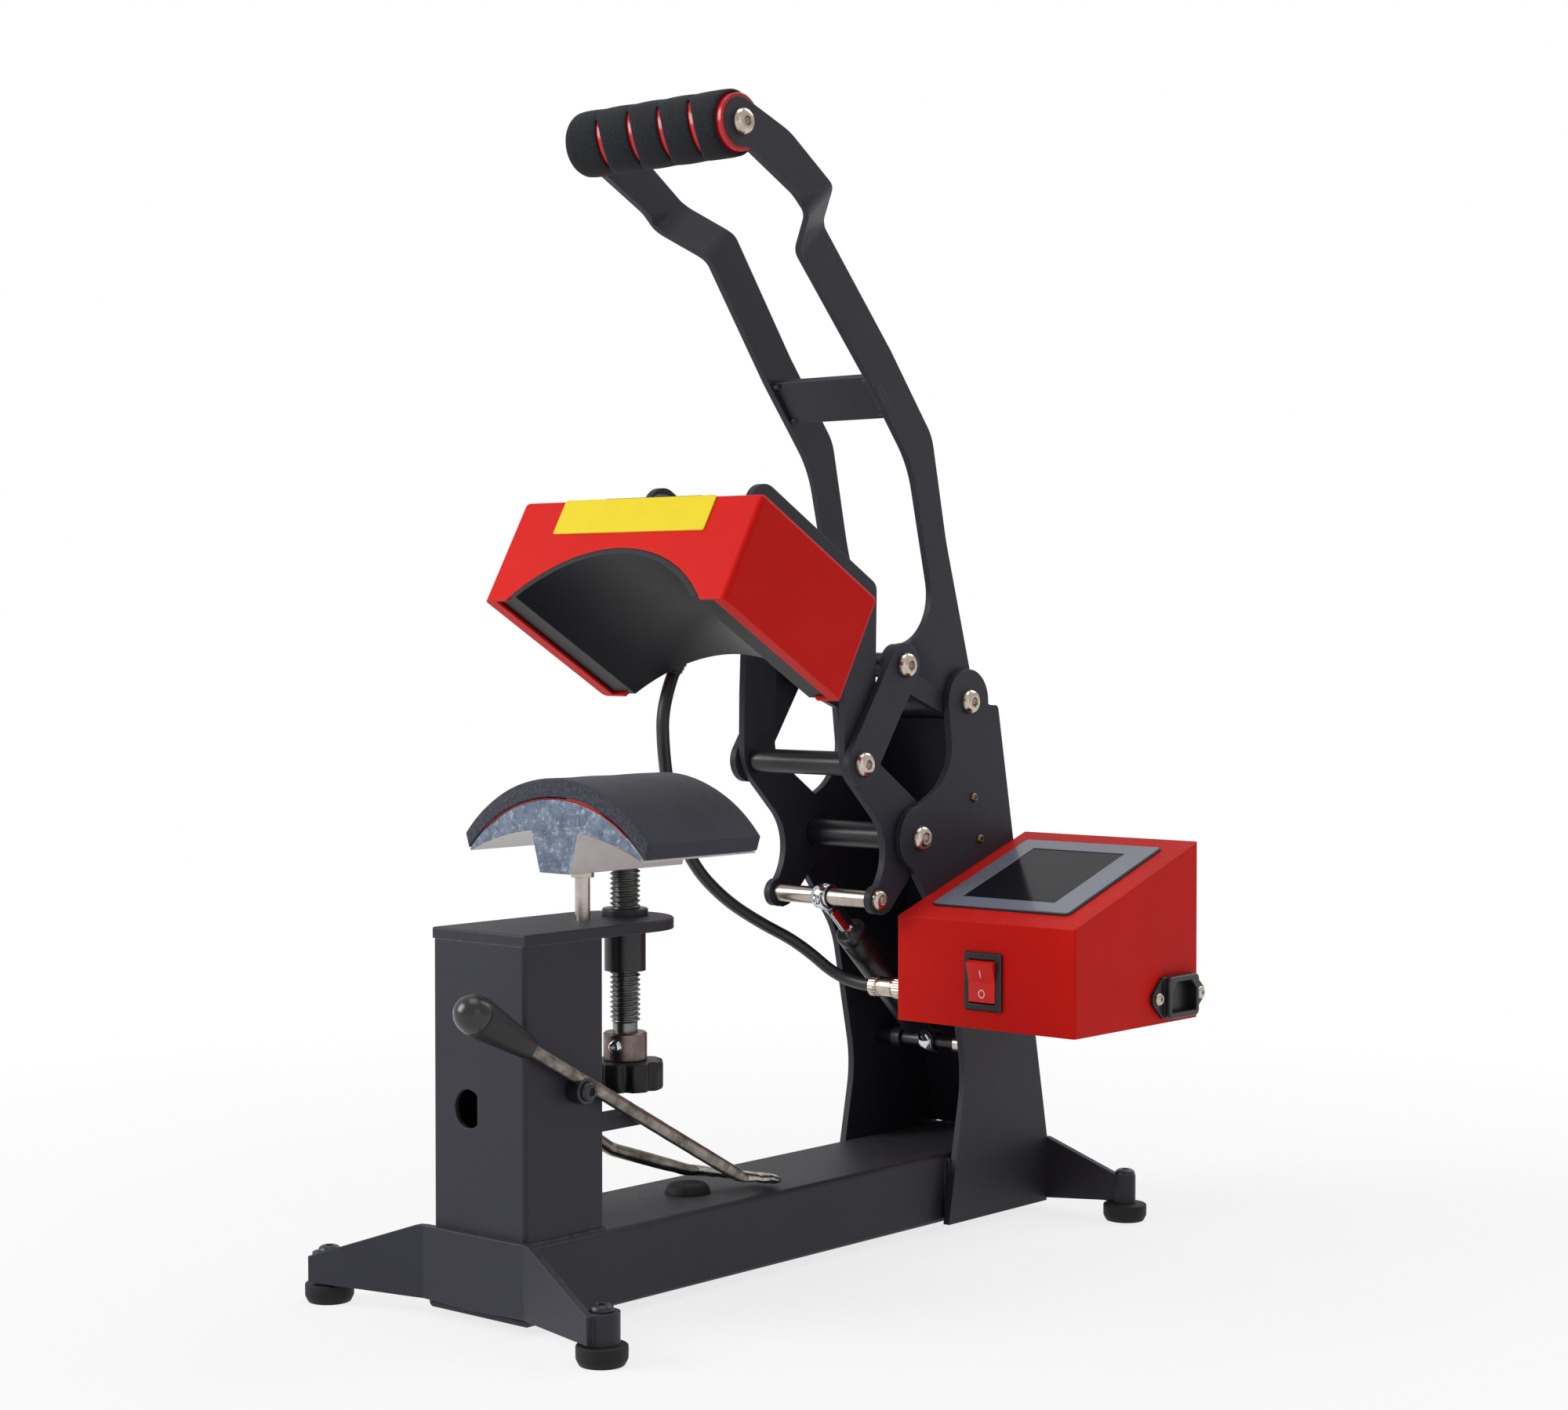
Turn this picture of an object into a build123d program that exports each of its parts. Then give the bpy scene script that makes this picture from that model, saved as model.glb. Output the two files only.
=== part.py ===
from build123d import *

import os
from math import atan2, cos, hypot, pi, radians, sin, sqrt, tan

# Cap heat press. Millimetres, +Z up, the front towards -Y, the operator's right towards +X.
# The origin is on the bench, on the press's middle plane, half way between the front and rear feet.

# ---------------------------------------------------------------- plates and layers across the press
PLATE = 4.0
INNER_FACE = 33.5  # inner face of the handle arms and of the head arms
LAYER_GAP = 0.7  # thin washers' room between the inner and the outer plates
SHAFT_CLEARANCE = 0.06  # on the radius, where a plate or an eye turns on a shaft
END_CLEARANCE = 0.1  # along a shaft, beside a plate that turns on it
SOFT_CLEARANCE = 0.3  # round foam, rubber and pads
INNER_OUT = INNER_FACE + PLATE
OUTER_IN = INNER_OUT + LAYER_GAP
OUTER_OUT = OUTER_IN + PLATE

# ---------------------------------------------------------------- pivots, as (Y, Z)
LINK_TOP = (77.3, 315.0)
HANDLE_PIVOT = (133.8, 294.1)
LINK_FOOT = (41.1, 262.6)
ARM_PIVOT = (90.5, 220.6)
EYE_PIN = (59.6, 188.7)
SPRING_ANCHOR = (154.6, 98.9)
BAIL_PIVOT = (-165.5, 113.5)

# ---------------------------------------------------------------- fasteners
M8 = 8.0
M8_HEAD = 14.0
M8_HEAD_HEIGHT = 4.4
M8_SOCKET = 5.0  # across the flats
M6 = 6.0
M6_HEAD = 11.5
M6_HEAD_HEIGHT = 3.4
M6_SOCKET = 4.0
M4 = 4.0
M4_HEAD = 5.0
M4_HEAD_HEIGHT = 1.2
SCREW_BITE = 12.0  # how far a pivot screw goes into its tube

# ---------------------------------------------------------------- base
BEAM_WIDTH = 70.0
BEAM_HEIGHT = 38.0
BEAM_BOTTOM = 4.5
BEAM_WALL = 2.5
BEAM_FRONT = -198.5
BEAM_REAR = 209.0
BEAM_TOP = BEAM_BOTTOM + BEAM_HEIGHT
CHEEK_FRONT = 122.0  # welded cheeks that carry the tower plates
FOOT_REACH_X = 95.0
FRONT_FOOT_Y = -211.0
REAR_FOOT_Y = BEAM_REAR + PLATE / 2
FOOT_RADIUS = 12.2
FOOT_HEIGHT = 9.5
FRONT_BOSS_RADIUS = 8.5
REAR_BOSS_RADIUS = 6.0
FRONT_BOSS_TOP = 24.5
REAR_BOSS_TOP = 25.5
FRONT_BEND_X = 35.0
FRONT_APEX_Z = 44.5
FRONT_WING_TOP_Z = 24.0
FRONT_WING_BOTTOM_Z = 11.0
REAR_ROOT_TOP_Z = 41.0
REAR_ROOT_BOTTOM_Z = 6.0
REAR_TIP_TOP_Z = 25.0
REAR_TIP_BOTTOM_Z = 9.6

# ---------------------------------------------------------------- front post
POST_WIDTH = 64.0
POST_FRONT = BEAM_FRONT
POST_REAR = -145.0
POST_WALL = 2.5
TOP_PLATE_TOP = 190.3
TOP_PLATE_THICK = 5.5
TOP_PLATE_END_Y = -76.0
POST_TOP = TOP_PLATE_TOP - TOP_PLATE_THICK
WINDOW_X = -7.0  # D-shaped hole in the post's front wall
WINDOW_Z = 104.0
WINDOW_RADIUS = 9.5
WINDOW_FLAT_X = -0.6
STOP_TAB_X = 24.0
STOP_TAB_WIDTH = 12.0
STOP_TAB_REACH = 33.0
STOP_TAB_Z = 90.0
STOP_TAB_THICK = 7.0

# ---------------------------------------------------------------- pressure screw and lower platen
SCREW_Y = -97.2
SCREW_RADIUS = 7.75
SCREW_THREAD_BOTTOM = 136.0
SCREW_NECK_RADIUS = 5.7
BUSH_FLANGE_RADIUS = 11.7
BUSH_FLANGE_THICK = 3.7
BUSH_RADIUS = 10.5
BUSH_BOTTOM = 162.4
COLLAR_TOP = 131.3
COLLAR_RADIUS = 11.1
COLLAR_BOTTOM = 117.0
KNOB_RADIUS = 19.5
KNOB_HEIGHT = 14.5
KNOB_LOBES = 8
GUIDE_Y = -127.6
GUIDE_RADIUS = 3.8
GUIDE_BOTTOM = 158.0
GUIDE_COLLAR_RADIUS = 5.8
GUIDE_COLLAR_THICK = 3.0
SADDLE_FRONT = -147.0
SADDLE_REAR = -66.0
STEM_BOTTOM = 214.5
STEM_FOOT_HALF = 10.4
STEM_HEAD_HALF = 17.0
SADDLE_SOCKET_DEPTH = 12.0
PAD_CROWN = 261.4
PAD_OUTER_RADIUS = 84.0
PAD_HALF = 64.3
PAD_THICK = 9.3
SADDLE_HALF = 60.5
SADDLE_RADIUS = 81.0
UNDERSIDE_CROWN = 236.0
UNDERSIDE_RADIUS = 144.0
STRIP_THICK = 0.9
STRIP_HALF = 50.0
PLATEN_LENGTH = SADDLE_REAR - SADDLE_FRONT

# ---------------------------------------------------------------- hold-down bail
BAIL_RADIUS = 3.5
BAIL_X = 37.0
BAIL_SLOPE = -0.553
BAIL_AXIS_Z = 118.5  # height of the leg's centre line over the pivot
BAIL_LUG_RADIUS = 6.5
BAIL_LUG_INNER = 32.6
BAIL_LUG_OUTER = 41.2
BAIL_BOLT_HEAD = 10.0
BAIL_GRIP_Y = -200.9
BAIL_GRIP_LENGTH = 48.0
BAIL_GRIP_THIN = 6.0
BAIL_GRIP_FAT = 11.2
BUMPER_Y = -50.9
BUMPER_RADIUS = 12.0
BUMPER_TOP_RADIUS = 8.5
BUMPER_HEIGHT = 5.2

# ---------------------------------------------------------------- tower
TOWER_LOBE = 17.5
TOWER_REAR_TOP = (161.0, 291.7)
TOWER_REAR_FOOT = (209.0, 42.8)
TOWER_STEP_Y = 154.0
COVER_THICK = 3.0
PIVOT_TUBE_B_RADIUS = 10.0
PIVOT_TUBE_D_RADIUS = 7.4
COVER_SCREW_SPOTS = ((138.4, 240.7), (144.1, 217.2))
BOX_SCREW_SPOTS = ((142.0, 192.0), (142.0, 140.0))

# ---------------------------------------------------------------- handle
HANDLE_LOBE = 12.0
JOGGLE_X = 17.0
HANDLE_WIDTH = 24.5
JOGGLE_LOW = (9.0, 539.5)
JOGGLE_HIGH = (-7.6, 555.05)
BEND_ANGLE = 40.4  # of the joggle's bend lines from the horizontal
GRIP_AXIS = (-69.5, 586.5)
GRIP_RADIUS = 16.9
GRIP_TUBE_RADIUS = 13.6
GRIP_TUBE_BORE = 11.0
GRIP_RING_RADIUS = 15.6
GRIP_RING_THICK = 1.4
GRIP_GROOVES = (-37.0, -16.5, 4.0, 24.5)
GRIP_GROOVE_WIDTH = 3.0
BRACE_CENTRE = (64.5, 459.8)
BRACE_HEIGHT = 27.0
BRACE_THICK = 3.0
BRACE_TAB = 12.0
HANDLE_SLOPE = 51.2  # the handle strip's slope below the horizontal, towards the rear

# ---------------------------------------------------------------- links, head arms, gas spring
LINK_RADIUS = 12.0
LINK_SPACER_RADIUS = 6.7
CROSS_ROD_RADIUS = 6.5
EYE_ROD_RADIUS = 4.75
EYE_BORE_RADIUS = 6.5
EYE_RADIUS = 8.4
EYE_WIDTH = 9.0
SPRING_ROD_RADIUS = 4.0
SPRING_BODY_RADIUS = 9.0
SPRING_BODY_START = 29.5
SPRING_BODY_END = 114.0
SPRING_ROD_TAIL = 78.0
ANCHOR_EYE_RADIUS = 8.5
ANCHOR_EYE_WIDTH = 10.0

# ---------------------------------------------------------------- heated head
HEAD_TILT = 30.0  # open, nose up
HEAD_ORIGIN = (-115.3, 349.5)  # (Y, Z) of the cover's lower front edge
COVER_HALF = 83.5
COVER_DEPTH = 102.5
COVER_HEIGHT = 60.0
SHEET = 1.5
COVER_FILLET = 3.0
COVER_LIP = 6.0
ARCH_HALF = 67.5
ARCH_RISE = 30.0
PLATEN_SHEET = 3.0
PLATEN_GAP = 0.3
RIM_THICK = 3.0
RIM_BOTTOM = 1.8
RIM_OUTER = 78.0
HEATER_THICK = 2.0
HEATER_HALF = 55.0
ARM_CREST = 34.5  # how far the arm plates stand over the cover
ARM_FRONT = 36.0
CARRIER_FRONT = 8.0
CARRIER_REAR = 100.0
CARRIER_THICK = 5.0
HEAD_BOLT_SPOTS = ((0.0, 17.0), (-22.0, 52.0), (22.0, 52.0), (0.0, 88.0))
HEX_FLATS = 13.0
NUT_HEIGHT = 6.5
LABEL_WIDTH = 105.0
LABEL_LOW = 39.0
LABEL_HIGH = 59.0
LABEL_THICK = 0.8
GLAND_X = -48.0
GLAND_HEIGHT = 40.0
GLAND_RADIUS = 6.0
GLAND_SPIGOT = 4.5
GLAND_REACH = 8.0
GLAND_DROP = 14.0

# ---------------------------------------------------------------- control box
BOX_LEFT = OUTER_OUT
BOX_WIDTH = 116.0
BOX_FRONT = 71.1
BOX_REAR = 187.0
BOX_BOTTOM = 123.4
BOX_FRONT_TOP = 180.0
BOX_REAR_TOP = 219.0
BOX_SHEET = 1.2
BEZEL = (89.0, 91.5, 1.5)
BEZEL_OFFSET = (11.8, 16.5)
SCREEN = (61.0, 69.0)
SCREEN_OFFSET = (24.0, 27.5)
GLASS_THICK = 1.2
SWITCH_X = 100.2
SWITCH_Z = 148.8
SWITCH_BEZEL = (24.2, 31.0, 2.0)
SWITCH_BODY = (21.5, 27.5, 24.0)
ROCKER = (17.0, 23.0)
ROCKER_TILT = 7.0
ROCKER_CLEARANCE = 0.35
TRUNNION_RADIUS = 1.2
INLET_Y = 165.5
INLET_Z = 137.2
INLET_SPACING = 40.0
INLET_BODY = (27.5, 20.0)
INLET_FLANGE = (50.0, 22.5, 2.5)
INLET_DEPTH = 16.0
SOCKET_Y = 83.5
SOCKET_Z = 138.5
SOCKET_END_X = 14.0
SOCKET_BARREL = 5.5
SOCKET_THREAD = 4.5

# ---------------------------------------------------------------- head cable, its route chosen by hand
CABLE_RADIUS = 3.15


def head_point(along, up):
    """World (Y, Z) of a point in the head's own frame, from the cover's lower front edge."""
    tilt = radians(HEAD_TILT)
    return (
        HEAD_ORIGIN[0] + along * cos(tilt) + up * sin(tilt),
        HEAD_ORIGIN[1] - along * sin(tilt) + up * cos(tilt),
    )


HEAD = Plane(
    origin=(0, *HEAD_ORIGIN),
    x_dir=(1, 0, 0),
    z_dir=(0, sin(radians(HEAD_TILT)), cos(radians(HEAD_TILT))),
)
HEAD_UP = Axis((0, 0, 0), (0, sin(radians(HEAD_TILT)), cos(radians(HEAD_TILT))))
CABLE_EXIT = (GLAND_X, *head_point(COVER_DEPTH + GLAND_REACH, GLAND_HEIGHT - GLAND_DROP))
CABLE_ROUTE = (
    CABLE_EXIT,
    (GLAND_X, CABLE_EXIT[1] - 12.0, CABLE_EXIT[2] - 12.0 / tan(radians(HEAD_TILT))),
    (-49.5, -17.0, 265.0),
    (-50.0, -7.0, 236.5),
    (-47.0, 8.0, 210.0),
    (-42.5, 30.0, 190.0),
    (-37.5, 52.5, 170.5),
    (-34.0, 72.0, 152.0),
    (SOCKET_END_X - 28.0, SOCKET_Y, SOCKET_Z),
    (SOCKET_END_X, SOCKET_Y, SOCKET_Z),
)

os.makedirs("parts", exist_ok=True)


def save(name, builder):
    """Labels a finished sub-part and writes it as parts/NAME.step."""
    builder.part.label = name
    export_step(builder.part, f"parts/{name}.step")


def across(x, spot):
    """A plane square to X at a pivot (Y, Z), facing outwards on the side that x is on."""
    outwards = 1 if x >= 0 else -1
    return Plane(origin=(x, *spot), x_dir=(0, 1, 0), z_dir=(outwards, 0, 0))


def side_span(inner, side):
    """Where a plate of the standard thickness starts along X, on side +1 or -1."""
    return inner if side > 0 else -inner - PLATE


def button_screw(diameter, head, head_height, socket, length):
    """A button-head socket screw, its head standing on Z = 0 and its shank below."""
    with BuildPart() as screw:
        with BuildSketch(Plane.XY):
            Circle(head / 2)
        extrude(amount=head_height)
        fillet(screw.edges().sort_by(Axis.Z)[-1], 0.72 * head_height)
        with BuildSketch(Plane.XY.offset(head_height)):
            RegularPolygon(socket / 2, 6, major_radius=False)
        extrude(amount=-0.6 * head_height, mode=Mode.SUBTRACT)
        with BuildSketch(Plane.XY.offset(-length)):
            Circle(diameter / 2)
        extrude(amount=length + 0.2 * head_height)
    return screw.part


def cross_tube(spot, radius, bore, half_length):
    """A tube along X between two plates, screwed at both ends."""
    with BuildPart() as tube:
        with BuildSketch(Plane.YZ.offset(-half_length)):
            with Locations(spot):
                Circle(radius)
                if bore:
                    Circle(bore, mode=Mode.SUBTRACT)
        extrude(amount=2 * half_length)
    return tube.part


# ================================================================ base
def build_base_beam():
    with BuildPart() as base_beam:
        with BuildSketch(Plane.XZ.offset(-BEAM_FRONT)):
            with Locations((0, BEAM_BOTTOM + BEAM_HEIGHT / 2)):
                RectangleRounded(BEAM_WIDTH, BEAM_HEIGHT, 2.5)
                Rectangle(BEAM_WIDTH - 2 * BEAM_WALL, BEAM_HEIGHT - 2 * BEAM_WALL, mode=Mode.SUBTRACT)
        extrude(amount=-(BEAM_REAR - BEAM_FRONT))
        cheek = OUTER_IN - BEAM_WIDTH / 2
        for side in (-1, 1):
            middle = side * (BEAM_WIDTH + cheek) / 2
            with Locations((middle, (CHEEK_FRONT + BEAM_REAR) / 2, BEAM_BOTTOM + BEAM_HEIGHT / 2)):
                Box(cheek, BEAM_REAR - CHEEK_FRONT, BEAM_HEIGHT - 2 * BEAM_WALL)
    save("base_beam", base_beam)


def foot_boss(radius, top):
    """A bolt boss over one rubber foot, bored for the M6 foot bolt."""
    with BuildPart() as boss:
        with BuildSketch(Plane.XY.offset(FOOT_HEIGHT)):
            Circle(radius)
            Circle(M6 / 2, mode=Mode.SUBTRACT)
        extrude(amount=top - FOOT_HEIGHT)
    return boss.part


def build_front_foot_bracket():
    tip_y = FRONT_FOOT_Y - FRONT_BOSS_RADIUS + 0.4
    boss = foot_boss(FRONT_BOSS_RADIUS, FRONT_BOSS_TOP)
    with BuildPart() as front_foot_bracket:
        with BuildSketch(Plane.XY.offset(FRONT_WING_BOTTOM_Z - 3)):
            with BuildLine():
                rear = [
                    (-FOOT_REACH_X - 2, tip_y),
                    (-FRONT_BEND_X, BEAM_FRONT),
                    (FRONT_BEND_X, BEAM_FRONT),
                    (FOOT_REACH_X + 2, tip_y),
                ]
                front = [(x, y - PLATE) for x, y in reversed(rear)]
                Polyline(*rear, *front, close=True)
            make_face()
        extrude(amount=FRONT_APEX_Z - FRONT_WING_BOTTOM_Z + 3)
        with BuildSketch(Plane.XZ.offset(150)):
            with BuildLine():
                Polyline(
                    (-FOOT_REACH_X - 2, FRONT_WING_BOTTOM_Z),
                    (-FRONT_BEND_X - 6, FRONT_WING_BOTTOM_Z - 2),
                    (0, FRONT_WING_BOTTOM_Z - 3),
                    (FRONT_BEND_X + 6, FRONT_WING_BOTTOM_Z - 2),
                    (FOOT_REACH_X + 2, FRONT_WING_BOTTOM_Z),
                    (FOOT_REACH_X + 2, FRONT_WING_TOP_Z),
                    (FRONT_BEND_X + 4, FRONT_APEX_Z),
                    (-FRONT_BEND_X - 4, FRONT_APEX_Z),
                    (-FOOT_REACH_X - 2, FRONT_WING_TOP_Z),
                    close=True,
                )
            make_face()
        extrude(amount=120, mode=Mode.INTERSECT)
        with Locations((-FOOT_REACH_X, FRONT_FOOT_Y), (FOOT_REACH_X, FRONT_FOOT_Y)):
            add(boss)
    save("front_foot_bracket", front_foot_bracket)


def build_rear_foot_bracket():
    boss = foot_boss(REAR_BOSS_RADIUS, REAR_BOSS_TOP)
    root = OUTER_OUT
    tip = FOOT_REACH_X - REAR_BOSS_RADIUS + 1
    with BuildPart() as rear_foot_bracket:
        with BuildSketch(Plane.XZ.offset(-REAR_FOOT_Y + PLATE / 2)):
            with BuildLine():
                Polyline(
                    (-tip, REAR_TIP_BOTTOM_Z),
                    (-tip + 9, REAR_TIP_BOTTOM_Z),
                    (-root, REAR_ROOT_BOTTOM_Z),
                    (root, REAR_ROOT_BOTTOM_Z),
                    (tip - 9, REAR_TIP_BOTTOM_Z),
                    (tip, REAR_TIP_BOTTOM_Z),
                    (tip, REAR_TIP_TOP_Z),
                    (root, REAR_ROOT_TOP_Z),
                    (-root, REAR_ROOT_TOP_Z),
                    (-tip, REAR_TIP_TOP_Z),
                    close=True,
                )
            make_face()
        extrude(amount=-PLATE)
        with Locations((-FOOT_REACH_X, REAR_FOOT_Y), (FOOT_REACH_X, REAR_FOOT_Y)):
            add(boss)
    save("rear_foot_bracket", rear_foot_bracket)


def build_feet():
    spots = [(side * FOOT_REACH_X, y) for side in (-1, 1) for y in (FRONT_FOOT_Y, REAR_FOOT_Y)]
    with BuildPart() as rubber_foot:
        with BuildSketch(Plane.XZ):
            with BuildLine():
                Polyline(
                    (0, 0),
                    (FOOT_RADIUS - 2.5, 0),
                    (FOOT_RADIUS, 3.5),
                    (FOOT_RADIUS, FOOT_HEIGHT - 2),
                    (FOOT_RADIUS - 2, FOOT_HEIGHT),
                    (0, FOOT_HEIGHT),
                    close=True,
                )
            make_face()
        revolve(axis=Axis.Z)
        with Locations((0, 0, FOOT_HEIGHT)):
            Cylinder(M6 / 2, 6, align=(Align.CENTER, Align.CENTER, Align.MAX), mode=Mode.SUBTRACT)
    with BuildPart() as rubber_feet:
        with Locations(*spots):
            add(rubber_foot.part)
    save("rubber_feet", rubber_feet)
    with BuildPart() as foot_bolts:
        for x, y in spots:
            top = FRONT_BOSS_TOP if y < 0 else REAR_BOSS_TOP
            bolt = button_screw(M6, M6_HEAD, M6_HEAD_HEIGHT, M6_SOCKET, top - FOOT_HEIGHT + 6)
            with Locations((x, y, top)):
                add(bolt)
    save("foot_bolts", foot_bolts)


def build_hoop_bumper():
    with BuildPart() as hoop_bumper:
        with BuildSketch(Plane.XZ.offset(-BUMPER_Y)):
            with BuildLine():
                Line((0, BEAM_TOP), (BUMPER_RADIUS, BEAM_TOP))
                Line((BUMPER_RADIUS, BEAM_TOP), (BUMPER_RADIUS - 0.6, BEAM_TOP + 2.5))
                top = BEAM_TOP + BUMPER_HEIGHT
                shoulder = (BUMPER_RADIUS - 0.6, BEAM_TOP + 2.5)
                ThreePointArc(shoulder, (10.3, top - 1.2), (BUMPER_TOP_RADIUS, top))
                Line((BUMPER_TOP_RADIUS, top), (0, top))
                Line((0, top), (0, BEAM_TOP))
            make_face()
        revolve(axis=Axis((0, BUMPER_Y, 0), (0, 0, 1)))
    save("hoop_bumper", hoop_bumper)


# ================================================================ front post
def build_front_post():
    depth = POST_REAR - POST_FRONT
    middle = (POST_REAR + POST_FRONT) / 2
    with BuildPart() as front_post:
        with BuildSketch(Plane.XY.offset(BEAM_TOP)):
            with Locations((0, middle)):
                RectangleRounded(POST_WIDTH, depth, 2.5)
                Rectangle(POST_WIDTH - 2 * POST_WALL, depth - 2 * POST_WALL, mode=Mode.SUBTRACT)
        extrude(amount=POST_TOP - BEAM_TOP)
        with BuildSketch(Plane.XZ.offset(-POST_FRONT)):
            with Locations((WINDOW_X, WINDOW_Z)):
                Circle(WINDOW_RADIUS)
            with Locations((WINDOW_FLAT_X + WINDOW_RADIUS, WINDOW_Z)):
                Rectangle(2 * WINDOW_RADIUS, 3 * WINDOW_RADIUS, mode=Mode.SUBTRACT)
        extrude(amount=-2 * POST_WALL, mode=Mode.SUBTRACT)
        for x in (-POST_WIDTH / 2, POST_WIDTH / 2):
            with BuildSketch(across(x, BAIL_PIVOT)):
                Circle(M6 / 2)
            extrude(amount=-2 * POST_WALL, mode=Mode.SUBTRACT)
        with BuildSketch(Plane.XY.offset(STOP_TAB_Z)):
            with Locations((STOP_TAB_X, POST_REAR + STOP_TAB_REACH / 2)):
                Rectangle(STOP_TAB_WIDTH, STOP_TAB_REACH)
        extrude(amount=STOP_TAB_THICK)
        tab_end = front_post.edges().filter_by(Axis.Z).sort_by(Axis.Y)[-2:]
        fillet(tab_end, STOP_TAB_WIDTH / 2 - 0.5)
    save("front_post", front_post)


def build_post_top_plate():
    end_radius = POST_WIDTH / 2
    end_y = TOP_PLATE_END_Y - end_radius
    with BuildPart() as post_top_plate:
        with BuildSketch(Plane.XY.offset(POST_TOP)):
            with Locations((0, (POST_FRONT + end_y) / 2)):
                Rectangle(POST_WIDTH, end_y - POST_FRONT)
            with Locations((0, end_y)):
                Circle(end_radius)
            with Locations((0, SCREW_Y)):
                Circle(BUSH_RADIUS, mode=Mode.SUBTRACT)
            with Locations((0, GUIDE_Y)):
                Circle(GUIDE_RADIUS + SHAFT_CLEARANCE, mode=Mode.SUBTRACT)
        extrude(amount=TOP_PLATE_THICK)
        rim = post_top_plate.faces().sort_by(Axis.Z)[-1].outer_wire().edges()
        fillet(rim, 1.0)
    save("post_top_plate", post_top_plate)


def build_threaded_bush():
    with BuildPart() as threaded_bush:
        with BuildSketch(Plane.XY.offset(BUSH_BOTTOM)):
            with Locations((0, SCREW_Y)):
                Circle(BUSH_RADIUS)
        extrude(amount=TOP_PLATE_TOP - BUSH_BOTTOM)
        with BuildSketch(Plane.XY.offset(TOP_PLATE_TOP)):
            with Locations((0, SCREW_Y)):
                Circle(BUSH_FLANGE_RADIUS)
        extrude(amount=BUSH_FLANGE_THICK)
        chamfer(threaded_bush.faces().sort_by(Axis.Z)[-1].edges(), 0.6)
        with Locations((0, SCREW_Y, BUSH_BOTTOM)):
            Cylinder(
                SCREW_RADIUS + SHAFT_CLEARANCE,
                60,
                align=(Align.CENTER, Align.CENTER, Align.MIN),
                mode=Mode.SUBTRACT,
            )
    save("threaded_bush", threaded_bush)


# ================================================================ pressure screw
def build_pressure_screw():
    top = STEM_BOTTOM + SADDLE_SOCKET_DEPTH - END_CLEARANCE
    with BuildPart() as pressure_screw:
        with BuildSketch(Plane.XY.offset(SCREW_THREAD_BOTTOM)):
            with Locations((0, SCREW_Y)):
                Circle(SCREW_RADIUS)
        extrude(amount=top - SCREW_THREAD_BOTTOM)
        chamfer(pressure_screw.faces().sort_by(Axis.Z)[-1].edges(), 1.0)
        with BuildSketch(Plane.XY.offset(COLLAR_BOTTOM)):
            with Locations((0, SCREW_Y)):
                Circle(SCREW_NECK_RADIUS)
        extrude(amount=SCREW_THREAD_BOTTOM - COLLAR_BOTTOM)
    save("pressure_screw", pressure_screw)

    with BuildPart() as screw_collar:
        with BuildSketch(Plane.XY.offset(COLLAR_BOTTOM)):
            with Locations((0, SCREW_Y)):
                Circle(COLLAR_RADIUS)
                Circle(SCREW_NECK_RADIUS, mode=Mode.SUBTRACT)
        extrude(amount=COLLAR_TOP - COLLAR_BOTTOM)
        chamfer(screw_collar.faces().sort_by(Axis.Z)[-1].outer_wire().edges(), 0.8)
        set_screw_z = (COLLAR_TOP + COLLAR_BOTTOM) / 2 + 1
        with BuildSketch(Plane(origin=(0, SCREW_Y - COLLAR_RADIUS, set_screw_z), z_dir=(0, -1, 0))):
            Circle(3.0)
        extrude(amount=-3.2, mode=Mode.SUBTRACT)
    save("screw_collar", screw_collar)

    with BuildPart() as adjuster_knob:
        with BuildSketch(Plane.XY.offset(COLLAR_BOTTOM - KNOB_HEIGHT)):
            with Locations((0, SCREW_Y)):
                Circle(KNOB_RADIUS)
                with PolarLocations(KNOB_RADIUS + 4.2, KNOB_LOBES):
                    Circle(6.0, mode=Mode.SUBTRACT)
        extrude(amount=KNOB_HEIGHT)
        fillet(adjuster_knob.faces().sort_by(Axis.Z)[-1].edges(), 1.2)
    save("adjuster_knob", adjuster_knob)


# ================================================================ lower platen
def arc_section(radius, crown, half):
    """End points and crown of an arc about Y, as (X, Z) points from left to right."""
    end_z = crown - radius + sqrt(radius**2 - half**2)
    return (-half, end_z), (0, crown), (half, end_z)


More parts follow.
